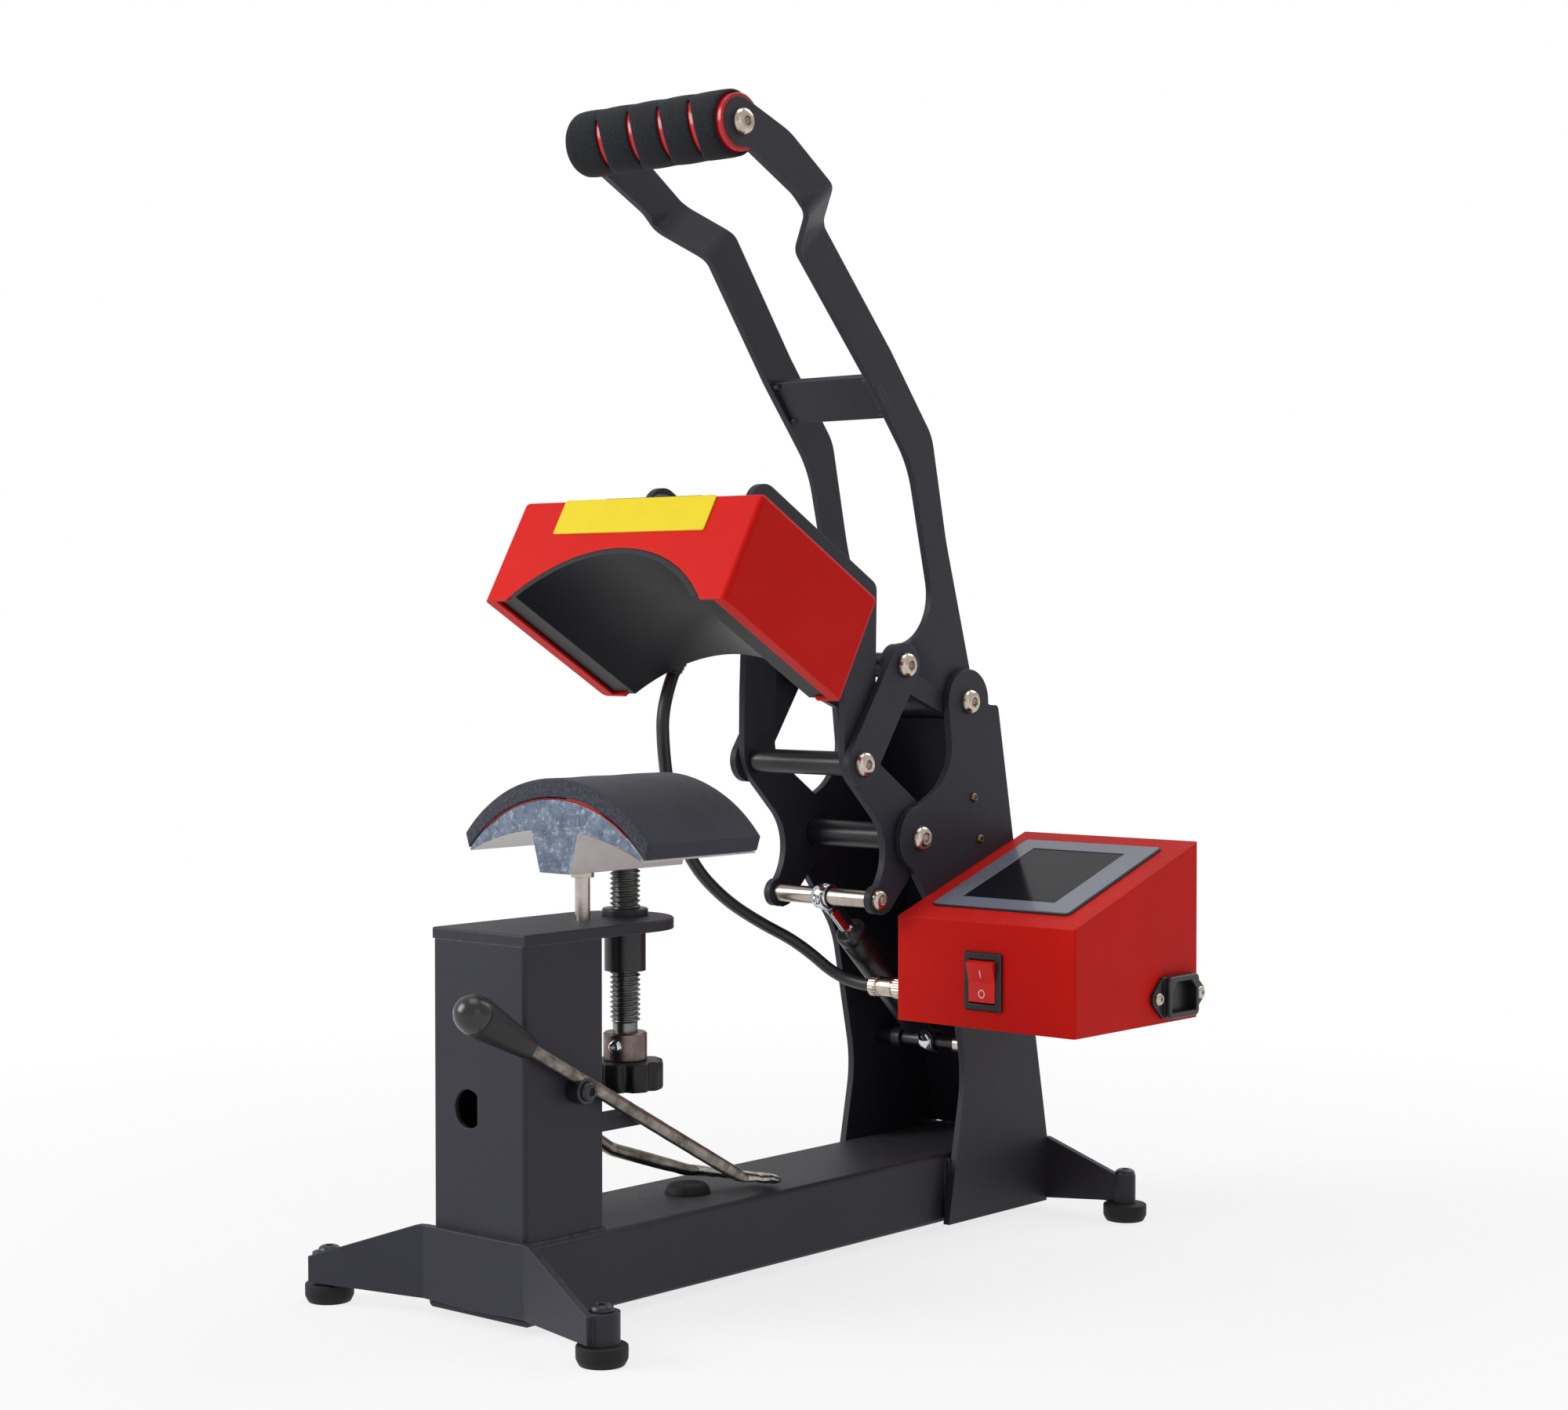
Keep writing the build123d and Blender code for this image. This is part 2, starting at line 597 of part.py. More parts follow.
def build_lower_platen():
    inner_radius = SADDLE_RADIUS + STRIP_THICK + SOFT_CLEARANCE
    saddle_crown = PAD_CROWN - PAD_THICK - STRIP_THICK - SOFT_CLEARANCE
    saddle_arc = arc_section(SADDLE_RADIUS, saddle_crown, SADDLE_HALF)
    under_arc = arc_section(UNDERSIDE_RADIUS, UNDERSIDE_CROWN, SADDLE_HALF - 0.5)
    front = Plane.XZ.offset(-SADDLE_FRONT)
    with BuildPart() as platen_saddle:
        with BuildSketch(front):
            with BuildLine():
                ThreePointArc(*saddle_arc)
                Line(saddle_arc[2], under_arc[2])
                ThreePointArc(*under_arc)
                Line(under_arc[0], saddle_arc[0])
            make_face()
            with BuildLine():
                Polyline(
                    (-STEM_FOOT_HALF, STEM_BOTTOM),
                    (STEM_FOOT_HALF, STEM_BOTTOM),
                    (STEM_HEAD_HALF, UNDERSIDE_CROWN + 2),
                    (-STEM_HEAD_HALF, UNDERSIDE_CROWN + 2),
                    close=True,
                )
            make_face()
        extrude(amount=-PLATEN_LENGTH)
        with Locations((0, SCREW_Y, STEM_BOTTOM)):
            Cylinder(
                SCREW_RADIUS + SHAFT_CLEARANCE,
                SADDLE_SOCKET_DEPTH,
                align=(Align.CENTER, Align.CENTER, Align.MIN),
                mode=Mode.SUBTRACT,
            )
        with Locations((0, GUIDE_Y, STEM_BOTTOM)):
            Cylinder(
                GUIDE_RADIUS,
                SADDLE_SOCKET_DEPTH,
                align=(Align.CENTER, Align.CENTER, Align.MIN),
                mode=Mode.SUBTRACT,
            )
    save("platen_saddle", platen_saddle)

    centre_z = saddle_crown - SADDLE_RADIUS
    strip_low = arc_section(SADDLE_RADIUS, saddle_crown, STRIP_HALF)
    strip_high = arc_section(SADDLE_RADIUS + STRIP_THICK, saddle_crown + STRIP_THICK, STRIP_HALF)
    with BuildPart() as silicone_strip:
        with BuildSketch(front):
            with BuildLine():
                ThreePointArc(*strip_low)
                Line(strip_low[2], strip_high[2])
                ThreePointArc(*strip_high)
                Line(strip_high[0], strip_low[0])
            make_face()
        extrude(amount=-PLATEN_LENGTH)
    save("silicone_strip", silicone_strip)

    pad_low = arc_section(inner_radius, centre_z + inner_radius, PAD_HALF - 2.6)
    pad_high = arc_section(PAD_OUTER_RADIUS, PAD_CROWN, PAD_HALF)
    with BuildPart() as platen_pad:
        with BuildSketch(front):
            with BuildLine():
                ThreePointArc(*pad_low)
                Line(pad_low[2], pad_high[2])
                ThreePointArc(*pad_high)
                Line(pad_high[0], pad_low[0])
            make_face()
        extrude(amount=-PLATEN_LENGTH)
    save("platen_pad", platen_pad)

    with BuildPart() as guide_rod:
        with BuildSketch(Plane.XY.offset(GUIDE_BOTTOM)):
            with Locations((0, GUIDE_Y)):
                Circle(GUIDE_RADIUS)
        extrude(amount=STEM_BOTTOM + SADDLE_SOCKET_DEPTH - GUIDE_BOTTOM)
        with BuildSketch(Plane.XY.offset(STEM_BOTTOM - GUIDE_COLLAR_THICK)):
            with Locations((0, GUIDE_Y)):
                Circle(GUIDE_COLLAR_RADIUS)
        extrude(amount=GUIDE_COLLAR_THICK)
    save("guide_rod", guide_rod)


# ================================================================ hold-down bail
def bail_leg(y):
    """Height of the bail's straight leg at a given Y."""
    return BAIL_AXIS_Z + BAIL_SLOPE * (y - BAIL_PIVOT[0])


def build_bail():
    start = (BAIL_X, BAIL_GRIP_Y - 36, bail_leg(BAIL_GRIP_Y - 36))
    far_end = (-BAIL_X, BAIL_PIVOT[0], BAIL_AXIS_Z)
    near_knee = (BAIL_X, -74, bail_leg(-74))
    with BuildPart() as bail_rod:
        with BuildLine() as bail_path:
            FilletPolyline(
                start,
                near_knee,
                (32, -46, 54.2),
                (25, -10, 46.6),
                (13, -13, 46.8),
                (-6, -46, 53.0),
                (-34, -73, 64.0),
                (-37, -86, 73.5),
                far_end,
                radius=[18, 18, 5.4, 5.4, 16, 10, 10],
            )
        with BuildSketch(Plane(origin=start, z_dir=bail_path.line % 0)):
            Circle(BAIL_RADIUS)
        sweep(path=bail_path.line)
        lug_width = BAIL_LUG_OUTER - BAIL_LUG_INNER
        for side in (-1, 1):
            with BuildSketch(across(side * BAIL_LUG_OUTER, BAIL_PIVOT)):
                Circle(BAIL_LUG_RADIUS)
            extrude(amount=-lug_width)
        for side in (-1, 1):
            with BuildSketch(across(side * (BAIL_LUG_OUTER + 1), BAIL_PIVOT)):
                Circle(M6 / 2 + SHAFT_CLEARANCE)
            extrude(amount=-lug_width - 2, mode=Mode.SUBTRACT)
    save("bail_rod", bail_rod)

    axis_start = (BAIL_X, BAIL_GRIP_Y, bail_leg(BAIL_GRIP_Y))
    outwards = (0, -1, -BAIL_SLOPE)
    half_section = Plane(origin=axis_start, x_dir=(1, 0, 0), z_dir=(0, BAIL_SLOPE, -1))
    with BuildPart() as bail_grip:
        with BuildSketch(half_section):
            with BuildLine():
                shoulder = (BAIL_GRIP_FAT, BAIL_GRIP_LENGTH - 6)
                end = (BAIL_GRIP_FAT - 4, BAIL_GRIP_LENGTH)
                Polyline((0, BAIL_GRIP_LENGTH), (0, 0), (BAIL_GRIP_THIN, 0))
                Spline((BAIL_GRIP_THIN, 0), (0.85 * BAIL_GRIP_FAT, 0.55 * BAIL_GRIP_LENGTH), shoulder)
                ThreePointArc(shoulder, (BAIL_GRIP_FAT - 1.1, BAIL_GRIP_LENGTH - 2), end)
                Line(end, (0, BAIL_GRIP_LENGTH))
            make_face()
        revolve(axis=Axis(axis_start, outwards))
        with BuildSketch(Plane(origin=axis_start, z_dir=outwards)):
            Circle(BAIL_RADIUS)
        extrude(amount=hypot(36, 36 * BAIL_SLOPE), mode=Mode.SUBTRACT)
    save("bail_grip", bail_grip)

    shank = BAIL_LUG_OUTER + END_CLEARANCE - POST_WIDTH / 2 + POST_WALL
    bolt = button_screw(M6, BAIL_BOLT_HEAD, M6_HEAD_HEIGHT, M6_SOCKET, shank)
    with BuildPart() as bail_bolts:
        for side in (-1, 1):
            with Locations(across(side * (BAIL_LUG_OUTER + END_CLEARANCE), BAIL_PIVOT).location):
                add(bolt)
    save("bail_bolts", bail_bolts)


# ================================================================ tower
def outline(*corners):
    """A closed side outline in (Y, Z) from corners given as (y, z, fillet radius)."""
    with BuildSketch() as face:
        with BuildLine():
            FilletPolyline(*[(y, z) for y, z, _ in corners], radius=[r for _, _, r in corners], close=True)
        make_face()
    return face.sketch


def build_tower():
    side_outline = outline(
        (BEAM_REAR, BEAM_BOTTOM, 0),
        (116.5, BEAM_BOTTOM, 0),
        (132.5, 86.0, 70),
        (116.0, 163.0, 50),
        (84.0, 204.4, 0),
        (ARM_PIVOT[0], ARM_PIVOT[1], 0),
        (88.0, 237.4, 0),
        (107.0, 246.5, 30),
        (119.8, 262.0, 22),
        (116.0, 292.0, 0),
        (HANDLE_PIVOT[0], HANDLE_PIVOT[1] + 6, 0),
        (TOWER_STEP_Y, TOWER_REAR_TOP[1], 0),
        (*TOWER_REAR_TOP, 3),
        (*TOWER_REAR_FOOT, 0),
    )
    for name, side in (("left", -1), ("right", 1)):
        with BuildPart() as tower_plate:
            with BuildSketch(Plane.YZ.offset(side_span(OUTER_IN, side))):
                add(side_outline)
                with Locations(ARM_PIVOT):
                    Circle(TOWER_LOBE)
                with Locations(HANDLE_PIVOT):
                    Circle(TOWER_LOBE + 0.5)
                with Locations(ARM_PIVOT, HANDLE_PIVOT):
                    Circle(M8 / 2, mode=Mode.SUBTRACT)
                if side > 0:
                    with Locations(*COVER_SCREW_SPOTS, *BOX_SCREW_SPOTS):
                        Circle(M4 / 2, mode=Mode.SUBTRACT)
            extrude(amount=PLATE)
        save(f"tower_plate_{name}", tower_plate)

    lean = atan2(TOWER_REAR_FOOT[0] - TOWER_REAR_TOP[0], TOWER_REAR_TOP[1] - TOWER_REAR_FOOT[1])
    slant = COVER_THICK / cos(lean)
    with BuildPart() as tower_rear_cover:
        with BuildSketch(Plane.YZ.offset(-OUTER_IN)):
            with BuildLine():
                Polyline(
                    TOWER_REAR_TOP,
                    TOWER_REAR_FOOT,
                    (TOWER_REAR_FOOT[0] - slant, TOWER_REAR_FOOT[1]),
                    (TOWER_REAR_TOP[0] - slant, TOWER_REAR_TOP[1]),
                    close=True,
                )
            make_face()
        extrude(amount=2 * OUTER_IN)
    save("tower_rear_cover", tower_rear_cover)

    inside = INNER_FACE - END_CLEARANCE
    handle_tube = cross_tube(HANDLE_PIVOT, PIVOT_TUBE_B_RADIUS, M8 / 2, inside)
    arm_tube = cross_tube(ARM_PIVOT, PIVOT_TUBE_D_RADIUS, M8 / 2, inside)
    anchor_pin = cross_tube(SPRING_ANCHOR, M8 / 2, 0, OUTER_IN)
    with BuildPart() as tower_cross_tubes:
        add(handle_tube)
        add(arm_tube)
        add(anchor_pin)
    save("tower_cross_tubes", tower_cross_tubes)

    pivot_screw = button_screw(M8, M8_HEAD, M8_HEAD_HEIGHT, M8_SOCKET, OUTER_OUT - inside + SCREW_BITE)
    with BuildPart() as tower_pivot_screws:
        for x in (-OUTER_OUT, OUTER_OUT):
            for spot in (HANDLE_PIVOT, ARM_PIVOT):
                with Locations(across(x, spot).location):
                    add(pivot_screw)
    save("tower_pivot_screws", tower_pivot_screws)

    small_screw = button_screw(M4, M4_HEAD, M4_HEAD_HEIGHT, 2.0, PLATE)
    box_screw = button_screw(M4, M4_HEAD + 2, M4_HEAD_HEIGHT + 0.8, 2.5, PLATE + BOX_SHEET)
    with BuildPart() as tower_small_screws:
        for spot in COVER_SCREW_SPOTS:
            with Locations(across(OUTER_OUT, spot).location):
                add(small_screw)
        for spot in BOX_SCREW_SPOTS:
            with Locations(across(BOX_LEFT + BOX_SHEET, spot).location):
                add(box_screw)
    save("tower_small_screws", tower_small_screws)


# ================================================================ control box
BOX_SLOPE = atan2(BOX_REAR_TOP - BOX_FRONT_TOP, BOX_REAR - BOX_FRONT)
BOX_SLANT = Plane(
    origin=(BOX_LEFT, BOX_FRONT, BOX_FRONT_TOP),
    x_dir=(1, 0, 0),
    z_dir=(0, -sin(BOX_SLOPE), cos(BOX_SLOPE)),
)


def build_control_box():
    right = BOX_LEFT + BOX_WIDTH
    inner_front = BOX_FRONT + BOX_SHEET
    inner_rear = BOX_REAR - BOX_SHEET
    roof = BOX_SHEET / cos(BOX_SLOPE)
    rise = tan(BOX_SLOPE) * BOX_SHEET
    with BuildPart() as box_shell:
        with BuildSketch(Plane.YZ.offset(BOX_LEFT)):
            with BuildLine():
                Polyline(
                    (BOX_FRONT, BOX_BOTTOM),
                    (BOX_REAR, BOX_BOTTOM),
                    (BOX_REAR, BOX_REAR_TOP),
                    (BOX_FRONT, BOX_FRONT_TOP),
                    close=True,
                )
            make_face()
        extrude(amount=BOX_WIDTH)
        upright = box_shell.edges().filter_by(Axis.Z).group_by(Axis.X)[-1]
        fillet(upright, 1.6)
        with BuildSketch(Plane.YZ.offset(BOX_LEFT + BOX_SHEET)):
            with BuildLine():
                Polyline(
                    (inner_front, BOX_BOTTOM),
                    (inner_rear, BOX_BOTTOM),
                    (inner_rear, BOX_REAR_TOP - roof - rise),
                    (inner_front, BOX_FRONT_TOP - roof + rise),
                    close=True,
                )
            make_face()
        extrude(amount=BOX_WIDTH - 2 * BOX_SHEET, mode=Mode.SUBTRACT)
        with BuildSketch(Plane.XZ.offset(-BOX_FRONT)):
            with Locations((SWITCH_X, SWITCH_Z)):
                Rectangle(SWITCH_BODY[0], SWITCH_BODY[1])
        extrude(amount=-2 * BOX_SHEET, mode=Mode.SUBTRACT)
        with BuildSketch(across(right, (INLET_Y, INLET_Z))):
            Rectangle(INLET_BODY[0], INLET_BODY[1])
            with Locations((-INLET_SPACING / 2, 0), (INLET_SPACING / 2, 0)):
                Circle(M4 / 2)
        extrude(amount=-2 * BOX_SHEET, mode=Mode.SUBTRACT)
        with BuildSketch(Plane.YZ.offset(BOX_LEFT)):
            with Locations((SOCKET_Y, SOCKET_Z)):
                Circle(SOCKET_THREAD)
            with Locations(*BOX_SCREW_SPOTS):
                Circle(M4 / 2)
        extrude(amount=2 * BOX_SHEET, mode=Mode.SUBTRACT)
    save("box_shell", box_shell)

    with BuildPart() as box_floor:
        with BuildSketch(Plane.XY.offset(BOX_BOTTOM)):
            with Locations((BOX_LEFT + BOX_WIDTH / 2, (inner_front + inner_rear) / 2)):
                Rectangle(BOX_WIDTH - 2 * BOX_SHEET, inner_rear - inner_front)
                with GridLocations(16, 60, 4, 1):
                    SlotOverall(34, 3.2, rotation=90, mode=Mode.SUBTRACT)
        extrude(amount=BOX_SHEET)
    save("box_floor", box_floor)

    with BuildPart() as display_bezel:
        with BuildSketch(BOX_SLANT):
            with Locations((BEZEL_OFFSET[0] + BEZEL[0] / 2, BEZEL_OFFSET[1] + BEZEL[1] / 2)):
                RectangleRounded(BEZEL[0], BEZEL[1], 2.0)
            with Locations((SCREEN_OFFSET[0] + SCREEN[0] / 2, SCREEN_OFFSET[1] + SCREEN[1] / 2)):
                Rectangle(SCREEN[0], SCREEN[1], mode=Mode.SUBTRACT)
        extrude(amount=BEZEL[2])
    save("display_bezel", display_bezel)

    with BuildPart() as display_screen:
        with BuildSketch(BOX_SLANT):
            with Locations((SCREEN_OFFSET[0] + SCREEN[0] / 2, SCREEN_OFFSET[1] + SCREEN[1] / 2)):
                Rectangle(SCREEN[0], SCREEN[1])
        extrude(amount=GLASS_THICK)
    save("display_screen", display_screen)

    build_switch()
    build_inlet(right)

    with BuildPart() as head_connector:
        with BuildSketch(Plane.YZ.offset(SOCKET_END_X)):
            with Locations((SOCKET_Y, SOCKET_Z)):
                Circle(SOCKET_BARREL)
        extrude(amount=BOX_LEFT - SOCKET_END_X)
        with BuildSketch(Plane.YZ.offset(BOX_LEFT - 2.5)):
            with Locations((SOCKET_Y, SOCKET_Z)):
                RegularPolygon(SOCKET_BARREL + 1.5, 6)
        extrude(amount=2.5)
        with BuildSketch(Plane.YZ.offset(BOX_LEFT)):
            with Locations((SOCKET_Y, SOCKET_Z)):
                Circle(SOCKET_THREAD)
        extrude(amount=9)
        chamfer(head_connector.edges().filter_by(GeomType.CIRCLE).sort_by(Axis.X)[0], 1.0)
    save("head_connector", head_connector)


def build_switch():
    outer_y = BOX_FRONT - SWITCH_BEZEL[2]
    pivot_y = BOX_FRONT + 1.4
    throw = ROCKER[1] / 2
    opening = Plane.XZ.offset(-outer_y)
    with BuildPart() as switch_housing:
        with BuildSketch(opening):
            with Locations((SWITCH_X, SWITCH_Z)):
                RectangleRounded(SWITCH_BEZEL[0], SWITCH_BEZEL[1], 1.5)
        extrude(amount=-SWITCH_BEZEL[2])
        chamfer(switch_housing.faces().sort_by(Axis.Y)[0].edges(), 0.6)
        with BuildSketch(Plane.XZ.offset(-BOX_FRONT)):
            with Locations((SWITCH_X, SWITCH_Z)):
                Rectangle(SWITCH_BODY[0], SWITCH_BODY[1])
        extrude(amount=-SWITCH_BODY[2])
        with BuildSketch(opening):
            with Locations((SWITCH_X, SWITCH_Z)):
                Rectangle(ROCKER[0] + 2 * ROCKER_CLEARANCE, ROCKER[1] + 2 * ROCKER_CLEARANCE)
        extrude(amount=-11, mode=Mode.SUBTRACT)
        with BuildSketch(Plane(origin=(SWITCH_X - 10.1, pivot_y, SWITCH_Z), z_dir=(1, 0, 0))):
            Circle(TRUNNION_RADIUS + SHAFT_CLEARANCE)
        extrude(amount=20.2, mode=Mode.SUBTRACT)
    save("switch_housing", switch_housing)

    hollow = 3.8
    crest = hollow + throw * tan(radians(ROCKER_TILT))
    with BuildSketch() as rocker_side:
        Circle(throw)
        with BuildLine():
            Polyline((-crest, throw), (4, throw), (4, -throw), (-crest, -throw), (-hollow, 0), close=True)
        make_face(mode=Mode.INTERSECT)
    with BuildPart() as switch_rocker:
        start = Plane(origin=(SWITCH_X - ROCKER[0] / 2, pivot_y, SWITCH_Z), x_dir=(0, 1, 0), z_dir=(1, 0, 0))
        with BuildSketch(start):
            add(rocker_side.sketch, rotation=ROCKER_TILT)
        extrude(amount=ROCKER[0])
        with BuildSketch(Plane(origin=(SWITCH_X - 10, pivot_y, SWITCH_Z), z_dir=(1, 0, 0))):
            Circle(TRUNNION_RADIUS)
        extrude(amount=20)
    save("switch_rocker", switch_rocker)


def build_inlet(right):
    outside = right + INLET_FLANGE[2]
    flange_plane = across(outside, (INLET_Y, INLET_Z))
    with BuildPart() as inlet_body:
        with BuildSketch(flange_plane):
            RectangleRounded(INLET_FLANGE[0], INLET_FLANGE[1], 4.0)
            with Locations((-INLET_SPACING / 2, 0), (INLET_SPACING / 2, 0)):
                Circle(M4 / 2, mode=Mode.SUBTRACT)
        extrude(amount=-INLET_FLANGE[2])
        with BuildSketch(flange_plane):
            Rectangle(INLET_BODY[0], INLET_BODY[1])
        extrude(amount=-INLET_DEPTH - 3)
        with BuildSketch(flange_plane):
            Rectangle(INLET_BODY[0] - 4, INLET_BODY[1] - 4)
        extrude(amount=-INLET_DEPTH, mode=Mode.SUBTRACT)
    save("inlet_body", inlet_body)

    with BuildPart() as inlet_pins:
        with BuildSketch(flange_plane.offset(-INLET_DEPTH)):
            with Locations((-7, -2), (7, -2), (0, 2)):
                Rectangle(2, 4)
        extrude(amount=INLET_DEPTH - 4)
    save("inlet_pins", inlet_pins)

    inlet_screw = button_screw(M4, M4_HEAD + 2, M4_HEAD_HEIGHT + 0.8, 2.5, INLET_FLANGE[2] + BOX_SHEET)
    with BuildPart() as inlet_screws:
        for y in (INLET_Y - INLET_SPACING / 2, INLET_Y + INLET_SPACING / 2):
            with Locations(across(outside, (y, INLET_Z)).location):
                add(inlet_screw)
    save("inlet_screws", inlet_screws)


# ================================================================ handle
def build_handle():
    bend_half = HANDLE_WIDTH / 2
    bend = (cos(radians(BEND_ANGLE)), sin(radians(BEND_ANGLE)))
    low_front = (JOGGLE_LOW[0] - bend_half * bend[0], JOGGLE_LOW[1] - bend_half * bend[1])
    low_rear = (JOGGLE_LOW[0] + bend_half * bend[0], JOGGLE_LOW[1] + bend_half * bend[1])
    high_front = (JOGGLE_HIGH[0] - bend_half * bend[0], JOGGLE_HIGH[1] - bend_half * bend[1])
    high_rear = (JOGGLE_HIGH[0] + bend_half * bend[0], JOGGLE_HIGH[1] + bend_half * bend[1])
    lower = outline(
        (*low_front, 0),
        (89.3, 423.6, 60),
        (113.6, LINK_TOP[1] + HANDLE_LOBE - 0.5, 27),
        (LINK_TOP[0], LINK_TOP[1] + HANDLE_LOBE - 0.5, 0),
        (LINK_TOP[0] - 4.0, LINK_TOP[1] - 10.8, 0),
        (HANDLE_PIVOT[0] - 4.2, HANDLE_PIVOT[1] - 11.2, 0),
        (HANDLE_PIVOT[0] + 11.2, HANDLE_PIVOT[1] + 4.0, 0),
        (119.0, 383.0, 150),
        (106.3, 440.0, 25),
        (*low_rear, 0),
    )
    upper = outline(
        (*high_front, 0),
        (-26.5, 555.6, 25),
        (GRIP_AXIS[0] + 5.0, GRIP_AXIS[1] - 11.4, 0),
        (GRIP_AXIS[0] + 5.0, GRIP_AXIS[1] + 11.4, 0),
        (-33.0, 586.5, 40),
        (*high_rear, 0),
    )
    normal = (0, -bend[1], bend[0])
    slope = radians(HANDLE_SLOPE)
    brace_plane = Plane(origin=(0, *BRACE_CENTRE), x_dir=(1, 0, 0), z_dir=(0, sin(slope), cos(slope)))
    for name, side in (("left", -1), ("right", 1)):
        with BuildPart() as handle_arm:
            with BuildSketch(Plane.YZ.offset(side_span(INNER_FACE, side))):
                add(lower)
                with Locations(LINK_TOP):
                    Circle(HANDLE_LOBE - 0.5)
                with Locations(HANDLE_PIVOT):
                    Circle(HANDLE_LOBE)
                with Locations(LINK_TOP):
                    Circle(M8 / 2, mode=Mode.SUBTRACT)
                with Locations(HANDLE_PIVOT):
                    Circle(M8 / 2 + SHAFT_CLEARANCE, mode=Mode.SUBTRACT)
            extrude(amount=PLATE)
            with BuildSketch(Plane.YZ.offset(side_span(INNER_FACE + JOGGLE_X, side))):
                add(upper)
                with Locations(GRIP_AXIS):
                    Circle(HANDLE_LOBE + 0.5)
                    Circle(M8 / 2, mode=Mode.SUBTRACT)
            extrude(amount=PLATE)
            for x, spot in ((INNER_FACE, JOGGLE_LOW), (INNER_FACE + JOGGLE_X, JOGGLE_HIGH)):
                middle = (side * (x + PLATE / 2), *spot)
                with BuildSketch(Plane(origin=middle, x_dir=(1, 0, 0), z_dir=normal)):
                    Rectangle(PLATE, HANDLE_WIDTH)
            loft()
            with Locations(brace_plane.location):
                Box(2 * OUTER_OUT, BRACE_TAB, BRACE_THICK, mode=Mode.SUBTRACT)
        save(f"handle_arm_{name}", handle_arm)

    with BuildPart() as handle_brace:
        with Locations(brace_plane.location):
            Box(2 * INNER_FACE, BRACE_HEIGHT, BRACE_THICK)
            Box(2 * INNER_OUT, BRACE_TAB, BRACE_THICK)
    save("handle_brace", handle_brace)

    half = INNER_FACE + JOGGLE_X
    with BuildPart() as grip_tube:
        with BuildSketch(Plane.YZ.offset(-half)):
            with Locations(GRIP_AXIS):
                Circle(GRIP_TUBE_RADIUS)
        extrude(amount=2 * half)
        for x in (-half, half - GRIP_RING_THICK):
            with BuildSketch(Plane.YZ.offset(x)):
                with Locations(GRIP_AXIS):
                    Circle(GRIP_RING_RADIUS)
            extrude(amount=GRIP_RING_THICK)
        with BuildSketch(Plane.YZ.offset(-half + SCREW_BITE)):
            with Locations(GRIP_AXIS):
                Circle(GRIP_TUBE_BORE)
        extrude(amount=2 * (half - SCREW_BITE), mode=Mode.SUBTRACT)
        with BuildSketch(Plane.YZ.offset(-half)):
            with Locations(GRIP_AXIS):
                Circle(M8 / 2)
        extrude(amount=2 * half, mode=Mode.SUBTRACT)
    save("grip_tube", grip_tube)

    foam_half = half - GRIP_RING_THICK - SOFT_CLEARANCE
    with BuildPart() as grip_foam:
        with BuildSketch(Plane.YZ.offset(-foam_half)):
            with Locations(GRIP_AXIS):
                Circle(GRIP_RADIUS)
                Circle(GRIP_TUBE_RADIUS + SOFT_CLEARANCE, mode=Mode.SUBTRACT)
        extrude(amount=2 * foam_half)
        fillet(grip_foam.edges().filter_by(GeomType.CIRCLE).filter_by(lambda e: e.radius == GRIP_RADIUS), 1.0)
        for x in GRIP_GROOVES:
            with BuildSketch(Plane.YZ.offset(x - GRIP_GROOVE_WIDTH / 2)):
                with Locations(GRIP_AXIS):
                    Circle(GRIP_RADIUS + 1)
                    Circle(GRIP_TUBE_RADIUS + SOFT_CLEARANCE + 1.0, mode=Mode.SUBTRACT)
            extrude(amount=GRIP_GROOVE_WIDTH, mode=Mode.SUBTRACT)
    save("grip_foam", grip_foam)

    grip_screw = button_screw(M8, M8_HEAD, M8_HEAD_HEIGHT, M8_SOCKET, PLATE + SCREW_BITE)
    with BuildPart() as grip_screws:
        for x in (-half - PLATE, half + PLATE):
            with Locations(across(x, GRIP_AXIS).location):
                add(grip_screw)
    save("grip_screws", grip_screws)

    link_spacer = cross_tube(LINK_TOP, LINK_SPACER_RADIUS, M8 / 2, INNER_FACE)
    with BuildPart() as link_pivot_tube:
        add(link_spacer)
    save("link_pivot_tube", link_pivot_tube)

    head_face = OUTER_OUT + END_CLEARANCE
    link_screw = button_screw(M8, M8_HEAD, M8_HEAD_HEIGHT, M8_SOCKET, head_face - INNER_FACE + SCREW_BITE)
    with BuildPart() as link_pivot_screws:
        for x in (-head_face, head_face):
            with Locations(across(x, LINK_TOP).location):
                add(link_screw)
    save("link_pivot_screws", link_pivot_screws)


# ================================================================ side links
def build_links():
    with BuildSketch() as hull:
        with Locations(LINK_TOP, LINK_FOOT):
            Circle(LINK_RADIUS)
        make_hull()
        with Locations(LINK_TOP):
            Circle(M8 / 2 + SHAFT_CLEARANCE, mode=Mode.SUBTRACT)
        with Locations(LINK_FOOT):
            Circle(M8 / 2, mode=Mode.SUBTRACT)
    with BuildPart() as side_links:
        for side in (-1, 1):
            with BuildSketch(Plane.YZ.offset(side_span(OUTER_IN, side))):
                add(hull.sketch)
            extrude(amount=PLATE)
    save("side_links", side_links)

    foot_screw = button_screw(M8, M8_HEAD, M8_HEAD_HEIGHT, M8_SOCKET, PLATE)
    with BuildPart() as link_end_screws:
        for x in (-OUTER_OUT, OUTER_OUT):
            with Locations(across(x, LINK_FOOT).location):
                add(foot_screw)
    save("link_end_screws", link_end_screws)


